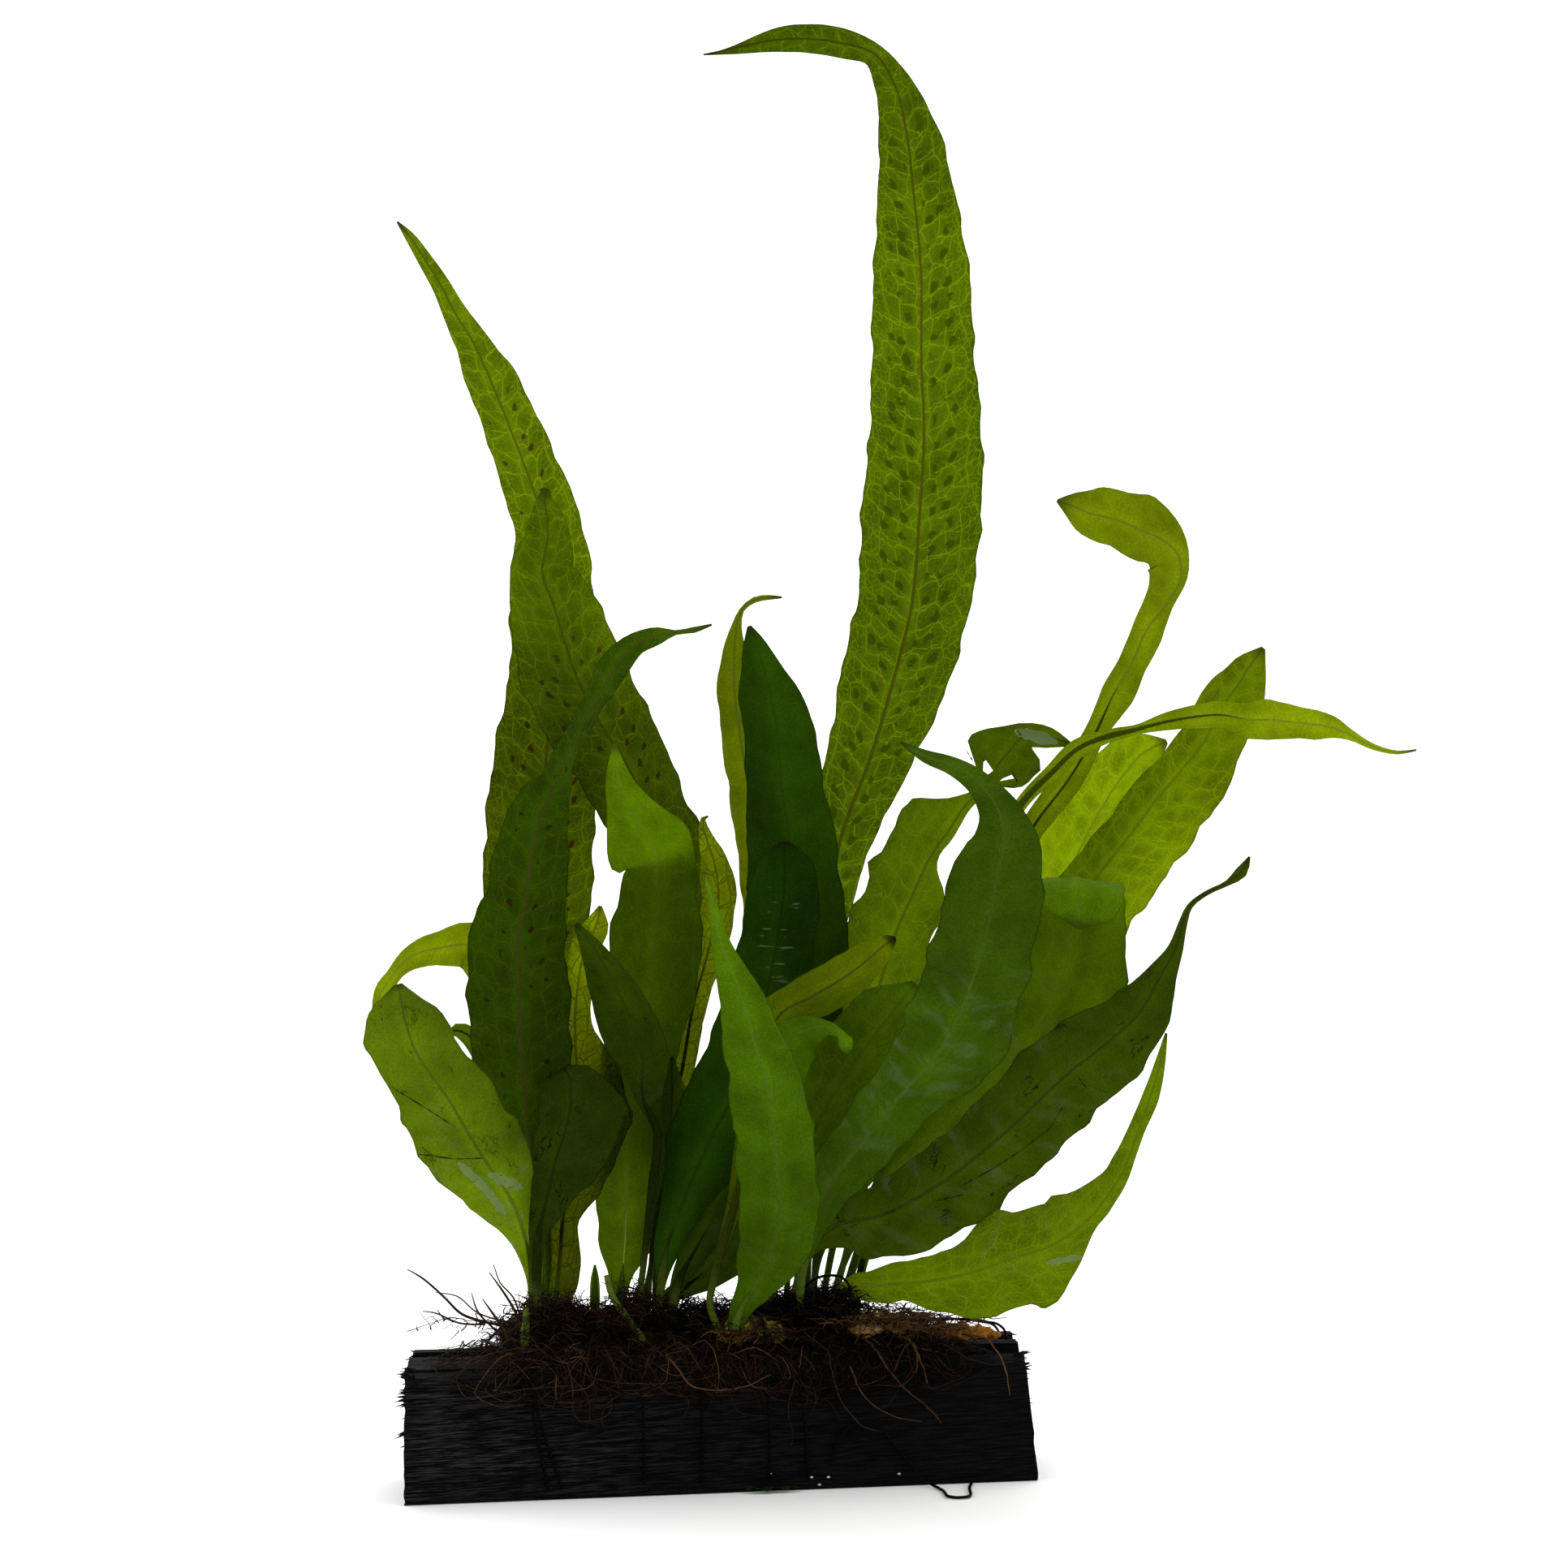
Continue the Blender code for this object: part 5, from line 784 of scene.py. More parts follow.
class Graph:
    """Short names for the nodes of one material."""

    def __init__(self, name):
        self.material = bpy.data.materials.new(name)
        self.material.use_nodes = True
        self.nodes = self.material.node_tree.nodes
        self.links = self.material.node_tree.links
        self.shader = self.nodes["Principled BSDF"]
        self.output = self.nodes["Material Output"]

    def feed(self, socket, value):
        if isinstance(value, bpy.types.NodeSocket):
            self.links.new(value, socket)
        else:
            socket.default_value = value

    def math(self, operation, a, b=0.0):
        node = self.nodes.new("ShaderNodeMath")
        node.operation = operation
        self.feed(node.inputs[0], a)
        self.feed(node.inputs[1], b)
        return node.outputs[0]

    def plus(self, a, b):
        return self.math("ADD", a, b)

    def less(self, a, b):
        return self.math("SUBTRACT", a, b)

    def times(self, a, b):
        return self.math("MULTIPLY", a, b)

    def over(self, a, b):
        return self.math("DIVIDE", a, b)

    def ramp(self, value, low, high, from_value=0.0, to_value=1.0):
        """A smooth step of value from low to high."""
        node = self.nodes.new("ShaderNodeMapRange")
        node.interpolation_type = "SMOOTHSTEP"
        for key, number in (("Value", value), ("From Min", low), ("From Max", high),
                            ("To Min", from_value), ("To Max", to_value)):
            self.feed(node.inputs[key], number)
        return node.outputs["Result"]

    def between(self, value, low, full, falling, gone):
        """A hump that rises as value goes from low to full, and falls from falling to gone."""
        return self.times(self.ramp(value, low, full), self.ramp(value, falling, gone, 1.0, 0.0))

    def uv(self, name):
        node = self.nodes.new("ShaderNodeUVMap")
        node.uv_map = name
        return self.split(node.outputs["UV"])[:2]

    def place(self):
        return self.nodes.new("ShaderNodeTexCoord").outputs["Object"]

    def split(self, vector):
        node = self.nodes.new("ShaderNodeSeparateXYZ")
        self.links.new(vector, node.inputs[0])
        return node.outputs["X"], node.outputs["Y"], node.outputs["Z"]

    def vector(self, x, y, z=0.0):
        node = self.nodes.new("ShaderNodeCombineXYZ")
        for socket, value in zip(node.inputs, (x, y, z)):
            self.feed(socket, value)
        return node.outputs[0]

    def noise(self, vector, scale, detail=2.0, roughness=0.5):
        node = self.nodes.new("ShaderNodeTexNoise")
        self.feed(node.inputs["Vector"], vector)
        node.inputs["Scale"].default_value = scale
        node.inputs["Detail"].default_value = detail
        node.inputs["Roughness"].default_value = roughness
        return node.outputs["Fac"]

    def stretched(self, vector, x, y, z):
        node = self.nodes.new("ShaderNodeMapping")
        self.feed(node.inputs["Vector"], vector)
        node.inputs["Scale"].default_value = (x, y, z)
        return node.outputs["Vector"]

    def cells(self, vector, feature, randomness):
        node = self.nodes.new("ShaderNodeTexVoronoi")
        node.voronoi_dimensions = "2D"
        node.feature = feature
        self.feed(node.inputs["Vector"], vector)
        node.inputs["Scale"].default_value = 1.0
        node.inputs["Randomness"].default_value = randomness
        return node.outputs

    def distance_to_cell(self, vector, unit, randomness):
        """The distance in mm to the nearest point of a jittered lattice with this unit."""
        nearest = self.cells(vector, "F1", randomness)["Position"]
        here, there = self.split(vector), self.split(nearest)
        steps = [self.times(self.less(a, b), u) for a, b, u in zip(here, there, unit)]
        return self.math("SQRT", self.plus(*[self.times(step, step) for step in steps]))

    def mix(self, share, a, b, blend="MIX"):
        node = self.nodes.new("ShaderNodeMix")
        node.data_type = "RGBA"
        node.blend_type = blend
        self.feed(node.inputs["Factor"], share)
        sockets = [s for s in node.inputs if s.type == "RGBA"]
        for socket, value in zip(sockets, (a, b)):
            self.feed(socket, (*value, 1.0) if isinstance(value, tuple) else value)
        return next(s for s in node.outputs if s.type == "RGBA")

    def tint(self, colour, factor):
        return self.mix(1.0, colour, factor, "MULTIPLY")

    def bump(self, height, distance, strength):
        node = self.nodes.new("ShaderNodeBump")
        node.inputs["Strength"].default_value = strength
        node.inputs["Distance"].default_value = distance
        self.feed(node.inputs["Height"], height)
        return node.outputs["Normal"]

    def coat(self, colour, roughness, specular, normal=None):
        """Sets the shader's colour, gloss and relief, and gives the material."""
        self.feed(self.shader.inputs["Base Color"], colour)
        self.shader.inputs["Roughness"].default_value = roughness
        self.shader.inputs["Specular IOR Level"].default_value = specular
        if normal is not None:
            self.feed(self.shader.inputs["Normal"], normal)
        return self.material


def leaf_material(name, body, vein, rib, net, spots, scars, sent_back, painted_sheen=0.0):
    """A thin living blade: light passes through it between a net of veins.

    The map leaf gives mm across and along, the map blade the same as shares of the half width
    and of the length, and the map tone the frond's tone and what kind of surface it is.
    """
    g = Graph(name)
    across_mm, along_mm = g.uv("leaf")
    across, along = g.uv("blade")
    tone, whole = g.uv("tone")
    width = g.math("ABSOLUTE", across_mm)
    share = g.math("ABSOLUTE", across)
    side = g.math("SIGN", across_mm)
    flat = g.vector(across_mm, along_mm)

    # Side veins climb from the midrib in wobbly rows, staggered from side to side. A coarse
    # net of cells fills the space between them, and a fine net fills its cells.
    wobble = g.times(g.less(g.noise(flat, 0.5), 0.5), 2.2)
    shift = g.times(side, SIDE_VEIN_SPACING / 4)
    climb = g.less(along_mm, g.times(width, SIDE_VEIN_SLOPE))
    row = g.over(g.plus(g.plus(climb, shift), wobble), SIDE_VEIN_SPACING)
    off_vein = g.math("PINGPONG", row, 0.5)
    side_vein = g.ramp(off_vein, 0.018, 0.042, 1.0, 0.0)
    side_vein = g.times(side_vein, g.ramp(share, 0.60, 0.85, 1.0, 0.0))
    half_plane = g.times(side, 17.3)
    coarse = g.vector(g.plus(g.over(width, COARSE_CELL), half_plane), row)
    cell_edge = g.cells(coarse, "DISTANCE_TO_EDGE", 0.75)["Distance"]
    net_vein = g.ramp(cell_edge, 0.018, 0.045, 1.0, 0.0)
    fine = g.vector(g.plus(g.over(width, FINE_CELL), half_plane),
                    g.times(row, SIDE_VEIN_SPACING / FINE_CELL))
    fine_edge = g.cells(fine, "DISTANCE_TO_EDGE", 0.9)["Distance"]
    fine_vein = g.ramp(fine_edge, 0.04, 0.12, 1.0, 0.0)
    near_rib_strength = 0.7 if name == "leaf_netted" else 0.22
    fine_vein = g.times(fine_vein, g.ramp(share, 0.45, 0.95, near_rib_strength, 0.75))
    veins = g.math("MAXIMUM", side_vein, g.math("MAXIMUM", net_vein, fine_vein))

    # The blade between the veins: large blotches, small speckle, darker middles of the cells,
    # and a lighter strip beside the midrib.
    blotches = g.ramp(g.noise(flat, 0.11, 3.0), 0.3, 0.7, 0.80, 1.18)
    speckle = g.ramp(g.noise(flat, 2.2, 3.0), 0.3, 0.7, 0.86, 1.14)
    cushions = g.ramp(cell_edge, 0.0, 0.4, 1 + 0.10 * net, 1 - 0.16 * net)
    near_rib = g.ramp(width, 0.3, 2.6, 1.2, 1.0)
    shade = g.times(g.times(blotches, speckle), g.times(cushions, near_rib))
    colour = g.mix(g.times(veins, net), g.tint(body, shade), vein)

    # Round spots in rows between the side veins, away from the midrib, margin, foot and tip.
    column = g.plus(g.over(width, SPOT_SPACING), g.times(side, 31.7))
    jumble = g.times(g.less(g.noise(flat, 1.3, 2.0), 0.5), 0.6)
    lattice = (SPOT_SPACING, SIDE_VEIN_SPACING)
    spot = g.plus(g.distance_to_cell(g.vector(column, row), lattice, 0.5), jumble)
    radius = BROWN_SPOT if name in BROWN_SPOTTED else GREEN_SPOT
    spot = g.ramp(spot, radius * 0.75, radius * 1.2, 1.0, 0.0)
    in_rows = g.between(share, 0.12, 0.20, 0.62, 0.74)
    on_blade = g.between(along, 0.24, 0.34, 0.78, 0.88)
    few, many = (0.50, 0.54) if name == "leaf_brown_spots" else (0.36, 0.42)
    some = g.ramp(g.noise(flat, 0.30), few, many)
    spot = g.times(g.times(spot, some), g.times(in_rows, on_blade))
    if name in BROWN_SPOTTED:
        spot_tone = BROWN_SPOT_COLOUR
    else:
        spot_tone = tuple(GREEN_SPOT_SHARE * c for c in body)
    colour = g.mix(g.times(spot, spots), colour, spot_tone)

    # Brown cracks in patches, and flecks.
    cracked = g.noise(g.vector(g.times(across_mm, 2.4), along_mm), 0.075, 4.0, 0.6)
    crack = g.ramp(g.math("ABSOLUTE", g.less(cracked, 0.5)), 0.003, 0.012, 1.0, 0.0)
    crack = g.times(crack, g.ramp(g.noise(flat, 0.16), 0.54, 0.62))
    flecks = g.ramp(g.noise(flat, 0.9, 3.0, 0.7), 0.71, 0.76)
    colour = g.mix(g.times(g.math("MAXIMUM", crack, flecks), scars), colour, FLECK_COLOUR)

    # The dark margin, the midrib that goes over into the stalk, the dry tip, scars and tone.
    colour = g.mix(g.ramp(share, 0.95, 0.995, 0.0, 0.55), colour, tuple(0.3 * c for c in body))
    rib_width = g.ramp(along, 0.1, 1.0, 0.32, 0.10)
    rib_mask = g.ramp(width, rib_width, g.plus(rib_width, 0.20), 0.85, 0.0)
    stalk = g.times(g.ramp(along, 0.05, 0.28, 1.0, 0.0), g.ramp(width, 0.08, 0.2, 1.0, 0.0))
    colour = g.mix(rib_mask, colour, g.mix(stalk, rib, STALK_COLOUR))
    colour = g.mix(g.ramp(along, 0.975, 1.0, 0.0, 0.7), colour, TIP_COLOUR)
    # The frond's tone scales the colour: its own colour together with painted light and shade.
    colour = g.mix(whole, SCAR_COLOUR, g.tint(colour, g.math("MAXIMUM", tone, stalk)))
    # The mask of the painted gleam strips.
    painted_gleam = g.ramp(whole, 1.2, 1.8)

    # Relief: veins a little sunk, gentle waves and a fine grain.
    relief = g.plus(g.times(veins, -0.35), g.times(g.noise(flat, 0.28, 2.0), 1.6))
    relief = g.plus(relief, g.times(g.noise(flat, 3.0, 2.0), 0.12))
    normal = g.bump(relief, 0.0006, 0.8)

    # The light that the surface sends back. Some leaves have a painted sheen in it, pale streaks painted in
    # as a reflection, and one has pale scratches.
    sent = g.tint(colour, (0.92, 1.0, 1.0))
    if painted_sheen:
        streaks = g.noise(g.vector(g.times(across_mm, 0.14), g.times(row, 1.3)), 1.0, 3.0)
        broad = g.ramp(g.noise(flat, 0.045, 2.0), 0.42, 0.60, 0.25, 1.0)
        broad = g.times(broad, g.ramp(along, 0.50, 0.72, 1.0, 0.12))
        sent = g.mix(g.times(g.ramp(streaks, 0.48, 0.70, 0.0, painted_sheen), broad), sent, PAINTED_SHEEN_COLOUR)
    if name == "leaf_scratched":
        level = g.less(along_mm, g.times(across_mm, 0.12))
        dashes = g.noise(g.vector(g.times(across_mm, 0.24), g.times(level, 1.5)), 1.0, 1.0)
        where = g.between(along, 0.70, 0.74, 0.92, 0.95)
        where = g.times(where, g.ramp(share, 0.35, 0.55, 0.65, 0.0))
        sent = g.mix(g.times(g.ramp(dashes, 0.66, 0.70), where), sent, SCRATCH_COLOUR)
    # Painted gleams: a pale highlight painted into the light sent back, with the light through them kept
    # clear.
    sent = g.mix(painted_gleam, sent, PAINTED_GLEAM_COLOUR)
    colour = g.mix(painted_gleam, colour, PAINTED_GLEAM_CLEAR)
    g.coat(sent, 0.42, 0.03, normal)
    through = g.nodes.new("ShaderNodeBsdfTranslucent")
    g.feed(through.inputs["Color"], colour)
    g.feed(through.inputs["Normal"], normal)
    both = g.nodes.new("ShaderNodeMixShader")
    both.inputs["Fac"].default_value = 1.0 - sent_back
    g.links.new(g.shader.outputs[0], both.inputs[1])
    g.links.new(through.outputs[0], both.inputs[2])
    g.links.new(both.outputs[0], g.output.inputs["Surface"])
    return g.material


def wood_material():
    """Near-black sawn wood: fine grey grain along its length, pale streaks along it painted as sheen that
    grow towards its left end, and painted shade in its crack and slot.
    """
    g = Graph("wood_black")
    place = g.place()
    x, y, z = g.split(place)
    tilted = g.vector(x, y, g.less(z, g.times(x, 0.035)))
    grain = g.noise(g.stretched(tilted, 110, 3000, 3000), 1.0, 4.0, 0.6)
    fine = g.noise(g.stretched(tilted, 240, 6500, 6500), 1.0, 3.0, 0.6)
    fibres = g.plus(g.times(grain, 0.55), g.times(fine, 0.45))
    # Painted sheen: pale streaks along the fibres, strongest towards the left end and in patches.
    patches = g.noise(g.stretched(place, 30, 60, 90), 1.0, 3.0)
    painted_sheen_share = g.times(g.ramp(x, -0.062, 0.030, 1.0, 0.12), g.ramp(patches, 0.35, 0.65, 0.6, 1.0))
    sheen_streak = g.times(g.ramp(fibres, 0.47, 0.61), painted_sheen_share)
    colour = g.mix(g.ramp(fibres, 0.35, 0.60), WOOD_BLACK, WOOD_GREY)
    colour = g.mix(sheen_streak, colour, WOOD_PAINTED_SHEEN)
    face = -BLOCK_DEPTH / 2
    front = g.ramp(y, (face + 1) * MM, (face + 1.5) * MM, 1.0, 0.0)
    for across, up in WOOD_SPECKS:
        wide = g.times(g.less(x, across * MM), 0.6)
        high = g.less(z, up * MM)
        gap = g.plus(g.math("ABSOLUTE", wide), g.math("ABSOLUTE", high))
        speck = g.times(g.ramp(gap, SPECK_SIZE * 0.7 * MM, SPECK_SIZE * MM, 1.0, 0.0), front)
        colour = g.mix(speck, colour, WOOD_SPECK)
    # Painted shade: the inside of the crack and the slot is painted near black.
    inside = 1.0
    for way, stops in ((z, SHADE_UP), (y, SHADE_BACK), (x, SHADE_ALONG)):
        inside = g.times(inside, g.between(way, *[stop * MM for stop in stops]))
    colour = g.mix(inside, colour, SLOT_PAINTED_SHADE)
    return g.coat(colour, 0.72, 0.02, g.bump(fibres, 0.0006, 0.9))


def root_material():
    """Fine roots: nearly black, through rust brown, to ochre, by the tone of each root."""
    g = Graph("root_brown")
    tone, _ = g.uv("blade")
    angle, length = g.uv("leaf")
    grime = g.noise(g.vector(angle, length), 0.5, 3.0)
    dark = g.mix(g.ramp(tone, 0.0, 0.55), ROOT_BLACK, ROOT_BROWN)
    colour = g.mix(g.ramp(tone, 0.5, 1.0), dark, ROOT_OCHRE)
    colour = g.tint(colour, g.ramp(grime, 0.3, 0.7, 0.55, 1.35))
    return g.coat(colour, 0.65, 0.04, g.bump(grime, 0.0002, 0.6))


def rhizome_material(name, low, high):
    """A creeping stem, scaly and stained, cream on its right mound and orange at its growing tip."""
    g = Graph(name)
    place = g.place()
    blotch = g.noise(place, 420.0, 5.0, 0.65)
    scales = g.noise(g.stretched(place, 900, 1800, 1800), 1.0, 3.0)
    colour = g.mix(g.ramp(blotch, 0.40, 0.60), low, high)
    x, _, _ = g.split(place)
    bands = g.noise(g.stretched(place, 300, 60, 60), 1.0, 2.0)
    colour = g.mix(g.ramp(bands, 0.52, 0.60, 0.0, 0.85), colour, low)
    pale = g.ramp(g.noise(place, 300.0, 3.0), 0.46, 0.60, 0.0, 0.9)
    mound = g.times(g.ramp(x, 0.024, 0.029), pale)
    colour = g.mix(mound, colour, CREAM)
    tip = g.times(g.ramp(x, 0.043, 0.047), g.ramp(blotch, 0.38, 0.56, 0.45, 0.95))
    colour = g.mix(tip, colour, ORANGE)
    colour = g.tint(colour, g.ramp(scales, 0.3, 0.7, 0.6, 1.3))
    return g.coat(colour, 0.60, 0.06, g.bump(scales, 0.0005, 0.8))


def thread_material():
    """Black nylon thread with a fine twist."""
    g = Graph("thread_black")
    angle, length = g.uv("leaf")
    twist = g.math("SINE", g.plus(g.times(length, 5.0), g.times(angle, math.pi * 2)))
    fibre = g.noise(g.vector(angle, length), 3.0, 2.0)
    colour = g.mix(g.ramp(g.plus(g.times(twist, 0.3), fibre), 0.2, 0.9), THREAD_BLACK, THREAD_GREY)
    return g.coat(colour, 0.45, 0.03, g.bump(twist, 0.0001, 0.6))


def floor_material():
    g = Graph("floor_pale")
    grain = g.noise(g.place(), 40.0, 2.0)
    return g.coat(g.mix(grain, FLOOR_PALE, FLOOR_PALER), 0.9, 0.1)


def make_camera():
    data = bpy.data.cameras.new("camera")
    data.sensor_width = SENSOR_WIDTH
    data.lens = FOCAL_LENGTH * SENSOR_WIDTH
    data.clip_start = 0.01
    data.clip_end = 20.0
    camera = add_object("camera", data)
    camera.location = mm_to_block((CAMERA_ACROSS, CAMERA_BACK, CAMERA_UP))[0]
    camera.rotation_euler = (math.pi / 2, 0, -PLANT_TURN)
    bpy.context.scene.camera = camera


def make_light():
    world = bpy.data.worlds.new("studio")
    world.use_nodes = True
    background = world.node_tree.nodes["Background"].inputs
    background["Color"].default_value = (1.0, 1.0, 1.0, 1.0)
    background["Strength"].default_value = WORLD_STRENGTH
    bpy.context.scene.world = world
    data = bpy.data.lights.new("softbox", "AREA")
    data.shape = "RECTANGLE"
    data.size, data.size_y = SOFTBOX_SIZE
    data.energy = SOFTBOX_POWER
    softbox = add_object("softbox", data)
    softbox.location = SOFTBOX_PLACE
    softbox.rotation_euler = (Vector(SOFTBOX_AIM) - softbox.location).to_track_quat("-Z", "Y").to_euler()
    bpy.context.scene.view_settings.view_transform = "Standard"


def make_floor(material):
    mesh = bpy.data.meshes.new("floor")
    bm = bmesh.new()
    bmesh.ops.create_circle(bm, cap_ends=True, segments=96, radius=FLOOR_RADIUS)
    bm.to_mesh(mesh)
    bm.free()
    mesh.materials.append(material)
    floor = add_object("floor", mesh)
    floor.location.z = -FLOOR_DROP


def finish_piece(piece, slot, *nodes):
    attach(piece, "root")
    if nodes:
        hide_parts(*nodes)


def waves(length, rng, longest):
    """A gentle uneven wave along a margin, between about -1 and 1."""
    out = np.zeros_like(length)
    for period, strength in ((longest, 0.5), (longest * 0.61, 0.32), (longest * 0.37, 0.18)):
        out += strength * np.sin(2 * math.pi * length / period + rng.uniform(0, 2 * math.pi))
    return out


def open_hole(points, faces, across, up, radius, rng):
    """Takes out the faces inside a ragged hole and draws its edge onto the hole's outline."""
    offset = points[:, [0, 2]] - np.array([across, up])
    distance = np.linalg.norm(offset, axis=1)
    angle = np.arctan2(offset[:, 1], offset[:, 0])
    phase = rng.uniform(0, 6)
    outline = radius * (1 + 0.22 * np.sin(3 * angle + phase) + 0.12 * np.sin(7 * angle + phase))
    inside = distance < outline
    kept = [face for face in faces if not all(inside[i] for i in face)]
    move = outline / np.maximum(distance, 1e-6)
    points[inside, 0] = across + offset[inside, 0] * move[inside]
    points[inside, 2] = up + offset[inside, 1] * move[inside]
    return kept


def full_station(across, back, up, left, right=None, twist=0):
    """A frond's station with its right half width and its twist filled in."""
    return [across, back, up, left, left if right is None else right, twist]


def strip_on(grid, route, width, columns, rough):
    """A strip that lies on the front of a sheet along a route given across and up, in mm."""
    corners = np.array(route, float)
    length = lengths_along(corners)
    spots = np.arange(0, length[-1], STRIP_STEP)
    places = np.stack([np.interp(spots, length, corners[:, k]) for k in (0, 1)], axis=-1)
    heading = np.gradient(places, axis=0)
    beside = np.stack([-heading[:, 1], heading[:, 0]], axis=-1)
    beside = beside / np.linalg.norm(heading, axis=1)[:, None]
    half = width / 2 * (1 - rough * np.abs(np.sin(spots * 1.9 + spots ** 2 * 0.3)))
    half *= np.sqrt(np.minimum(1, np.minimum(spots, spots[::-1]) / width + 0.05))
    flat = grid.reshape(-1, 3)
    rows = np.empty((len(spots), columns, 3))
    for column, way in enumerate(np.linspace(-1, 1, columns)):
        for i, (across, up) in enumerate(places + way * beside * half[:, None]):
            gaps = np.hypot(flat[:, 0] - across, flat[:, 2] - up) + 0.01
            near = np.argsort(gaps)[:4]
            back = np.average(flat[near, 1], weights=gaps[near] ** -2.0)
            rows[i, column] = across, back - STRIP_RISE, up
    return rows


def make_frond(name, stations, material, ruffle, outline, tones):
    """The blade is one thin ruffled sheet, raised along its midrib, and its stalk is a tapered bar."""
    rng = random.Random(name)
    stations = [full_station(*station) for station in stations]
    stations[0][2] = min(stations[0][2], STALK_FOOT)
    rows = smooth_rows(stations, BLADE_STEP)
    points = rows[:, :3]
    tangents, sides, normals = frames_along(points)
    length = lengths_along(points)
    along = length / length[-1]
    bend = np.gradient(tangents, axis=0) / np.gradient(length)[:, None]
    toward_side = (bend * sides).sum(axis=1)
    limit = BEND_SHARE / np.maximum(np.abs(toward_side), 1e-6)
    lefts = np.maximum(rows[:, 3], LEAST_HALF_WIDTH)
    rights = np.maximum(rows[:, 4], LEAST_HALF_WIDTH)
    lefts = np.where(toward_side < 0, np.minimum(lefts, limit), lefts)
    rights = np.where(toward_side > 0, np.minimum(rights, limit), rights)
    blade = np.clip((rows[:, 3] + rows[:, 4] - BLADE_FROM) / BLADE_OVER, 0, 1)
    twist = np.radians(rows[:, 5])[:, None]
    across = sides * np.cos(twist) + normals * np.sin(twist)
    front = normals * np.cos(twist) - sides * np.sin(twist)

    phase = rng.uniform(0, 1000)
    columns = np.linspace(-1, 1, BLADE_COLUMNS + 1)
    grid = np.empty((len(points), len(columns), 3))
    leaf = np.empty((len(points), len(columns), 2))
    edge_waves = {side: waves(length, rng, EDGE_WAVE) for side in (-1, 1)}
    lift_waves = {side: waves(length, rng, LIFT_WAVE) for side in (-1, 1)}
    for j, c in enumerate(columns):
        side = -1 if c < 0 else 1
        width = (lefts if c < 0 else rights) * (1 + outline * edge_waves[side] * abs(c) ** 3 * blade)
        cup = BLADE_CUP * width * abs(c) ** 1.5 * blade
        lift = ruffle * width * lift_waves[side] * abs(c) ** 2.2 * blade
        climb = length - abs(c) * width * SIDE_VEIN_SLOPE
        blister = BLISTER_HEIGHT * blade * np.sin(2 * math.pi * climb / SIDE_VEIN_SPACING)
        blister = blister * math.sin(math.pi * abs(c))
        blister -= RIB_GROOVE * blade * np.exp(-(c * width / RIB_GROOVE_WIDTH) ** 2)
        grid[:, j] = points + across * (c * width)[:, None] + front * (cup + lift + blister)[:, None]
        leaf[:, j, 0] = c * width
        leaf[:, j, 1] = length + phase
    tone = np.interp(along, *zip(*tones))

    b = Builder()
    b.grid(grid, leaf, surface_map(columns, along), tone)
    for route in SCARS.get(name, ()):
        b.grid(strip_on(grid, route, SCAR_WIDTH, 2, 0.8), np.ones(2), np.full(2, 0.5), whole=0.0)
    # Painted gleams: pale highlight strips laid on the front of the blade.
    for width, *route in PAINTED_GLEAMS.get(name, ()):
        b.grid(strip_on(grid, route, width, 7, 0.3), np.ones(2), np.full(2, 0.5), whole=2.0)
    if name in HOLES:
        flat = np.concatenate(b.points)
        for hole in HOLES[name]:
            b.faces = open_hole(flat, b.faces, *hole, rng)
        b.points = [flat]
    stalk = np.minimum((rows[:, 3] + rows[:, 4]) / 2, STALK_RADIUS * (1 - along) ** 0.7 + 0.10)
    stalk = stalk * (1 - blade) + RIB_HALF_WIDTH * blade
    broad = np.flatnonzero(blade >= 1)
    end = broad[0] + 1 if len(broad) else len(points)
    angles = 2 * math.pi * np.arange(RIB_SIDES) / RIB_SIDES
    rib = rings_round(points, across, front, stalk, angles, RIB_FLATNESS)
    rib_leaf = surface_map(RIB_HALF_WIDTH * np.cos(angles), length + phase)
    rib_shape = surface_map(np.full(RIB_SIDES, 0.02), along)
    b.grid(rib[:end], rib_leaf[:end], rib_shape[:end], tone[:end], closed=True, capped=True)
    piece = b.piece(name + "_blade", material, of_plant=True)
    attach(piece, "root")
    return piece


def block_profile():
    """The block's section in the YZ plane, in mm, from its front foot round over the top."""
    half = BLOCK_DEPTH / 2
    top = BLOCK_HEIGHT
    return [
        (-half + 0.6, 0), (-half, 0.6), (-half, top - 3.5), (-half + 0.4, top - 2.2),
        (-half + 1.4, top - 1.2), (-half + 2.8, top - 0.6),
        (CRACK_FRONT, top - 0.4), (CRACK_FRONT + 0.2, top - CRACK_DROP),
        (CRACK_FRONT + CRACK_WIDTH - 0.2, top - CRACK_DROP), (CRACK_FRONT + CRACK_WIDTH, top),
        (GROOVE_FRONT, top), (GROOVE_FRONT + 0.4, top - GROOVE_DROP),
        (GROOVE_FRONT + GROOVE_WIDTH - 0.4, top - GROOVE_DROP), (GROOVE_FRONT + GROOVE_WIDTH, top),
        (half - 0.8, top), (half, top - 0.8), (half, 0.6), (half - 0.6, 0),
    ]


def refine(profile, step):
    """The same closed outline with points no further apart than step."""
    out = []
    for a, b in zip(profile, profile[1:] + profile[:1]):
        count = max(1, math.ceil(math.dist(a, b) / step))
        for k in range(count):
            t = k / count
            out.append((a[0] + (b[0] - a[0]) * t, a[1] + (b[1] - a[1]) * t))
    return out


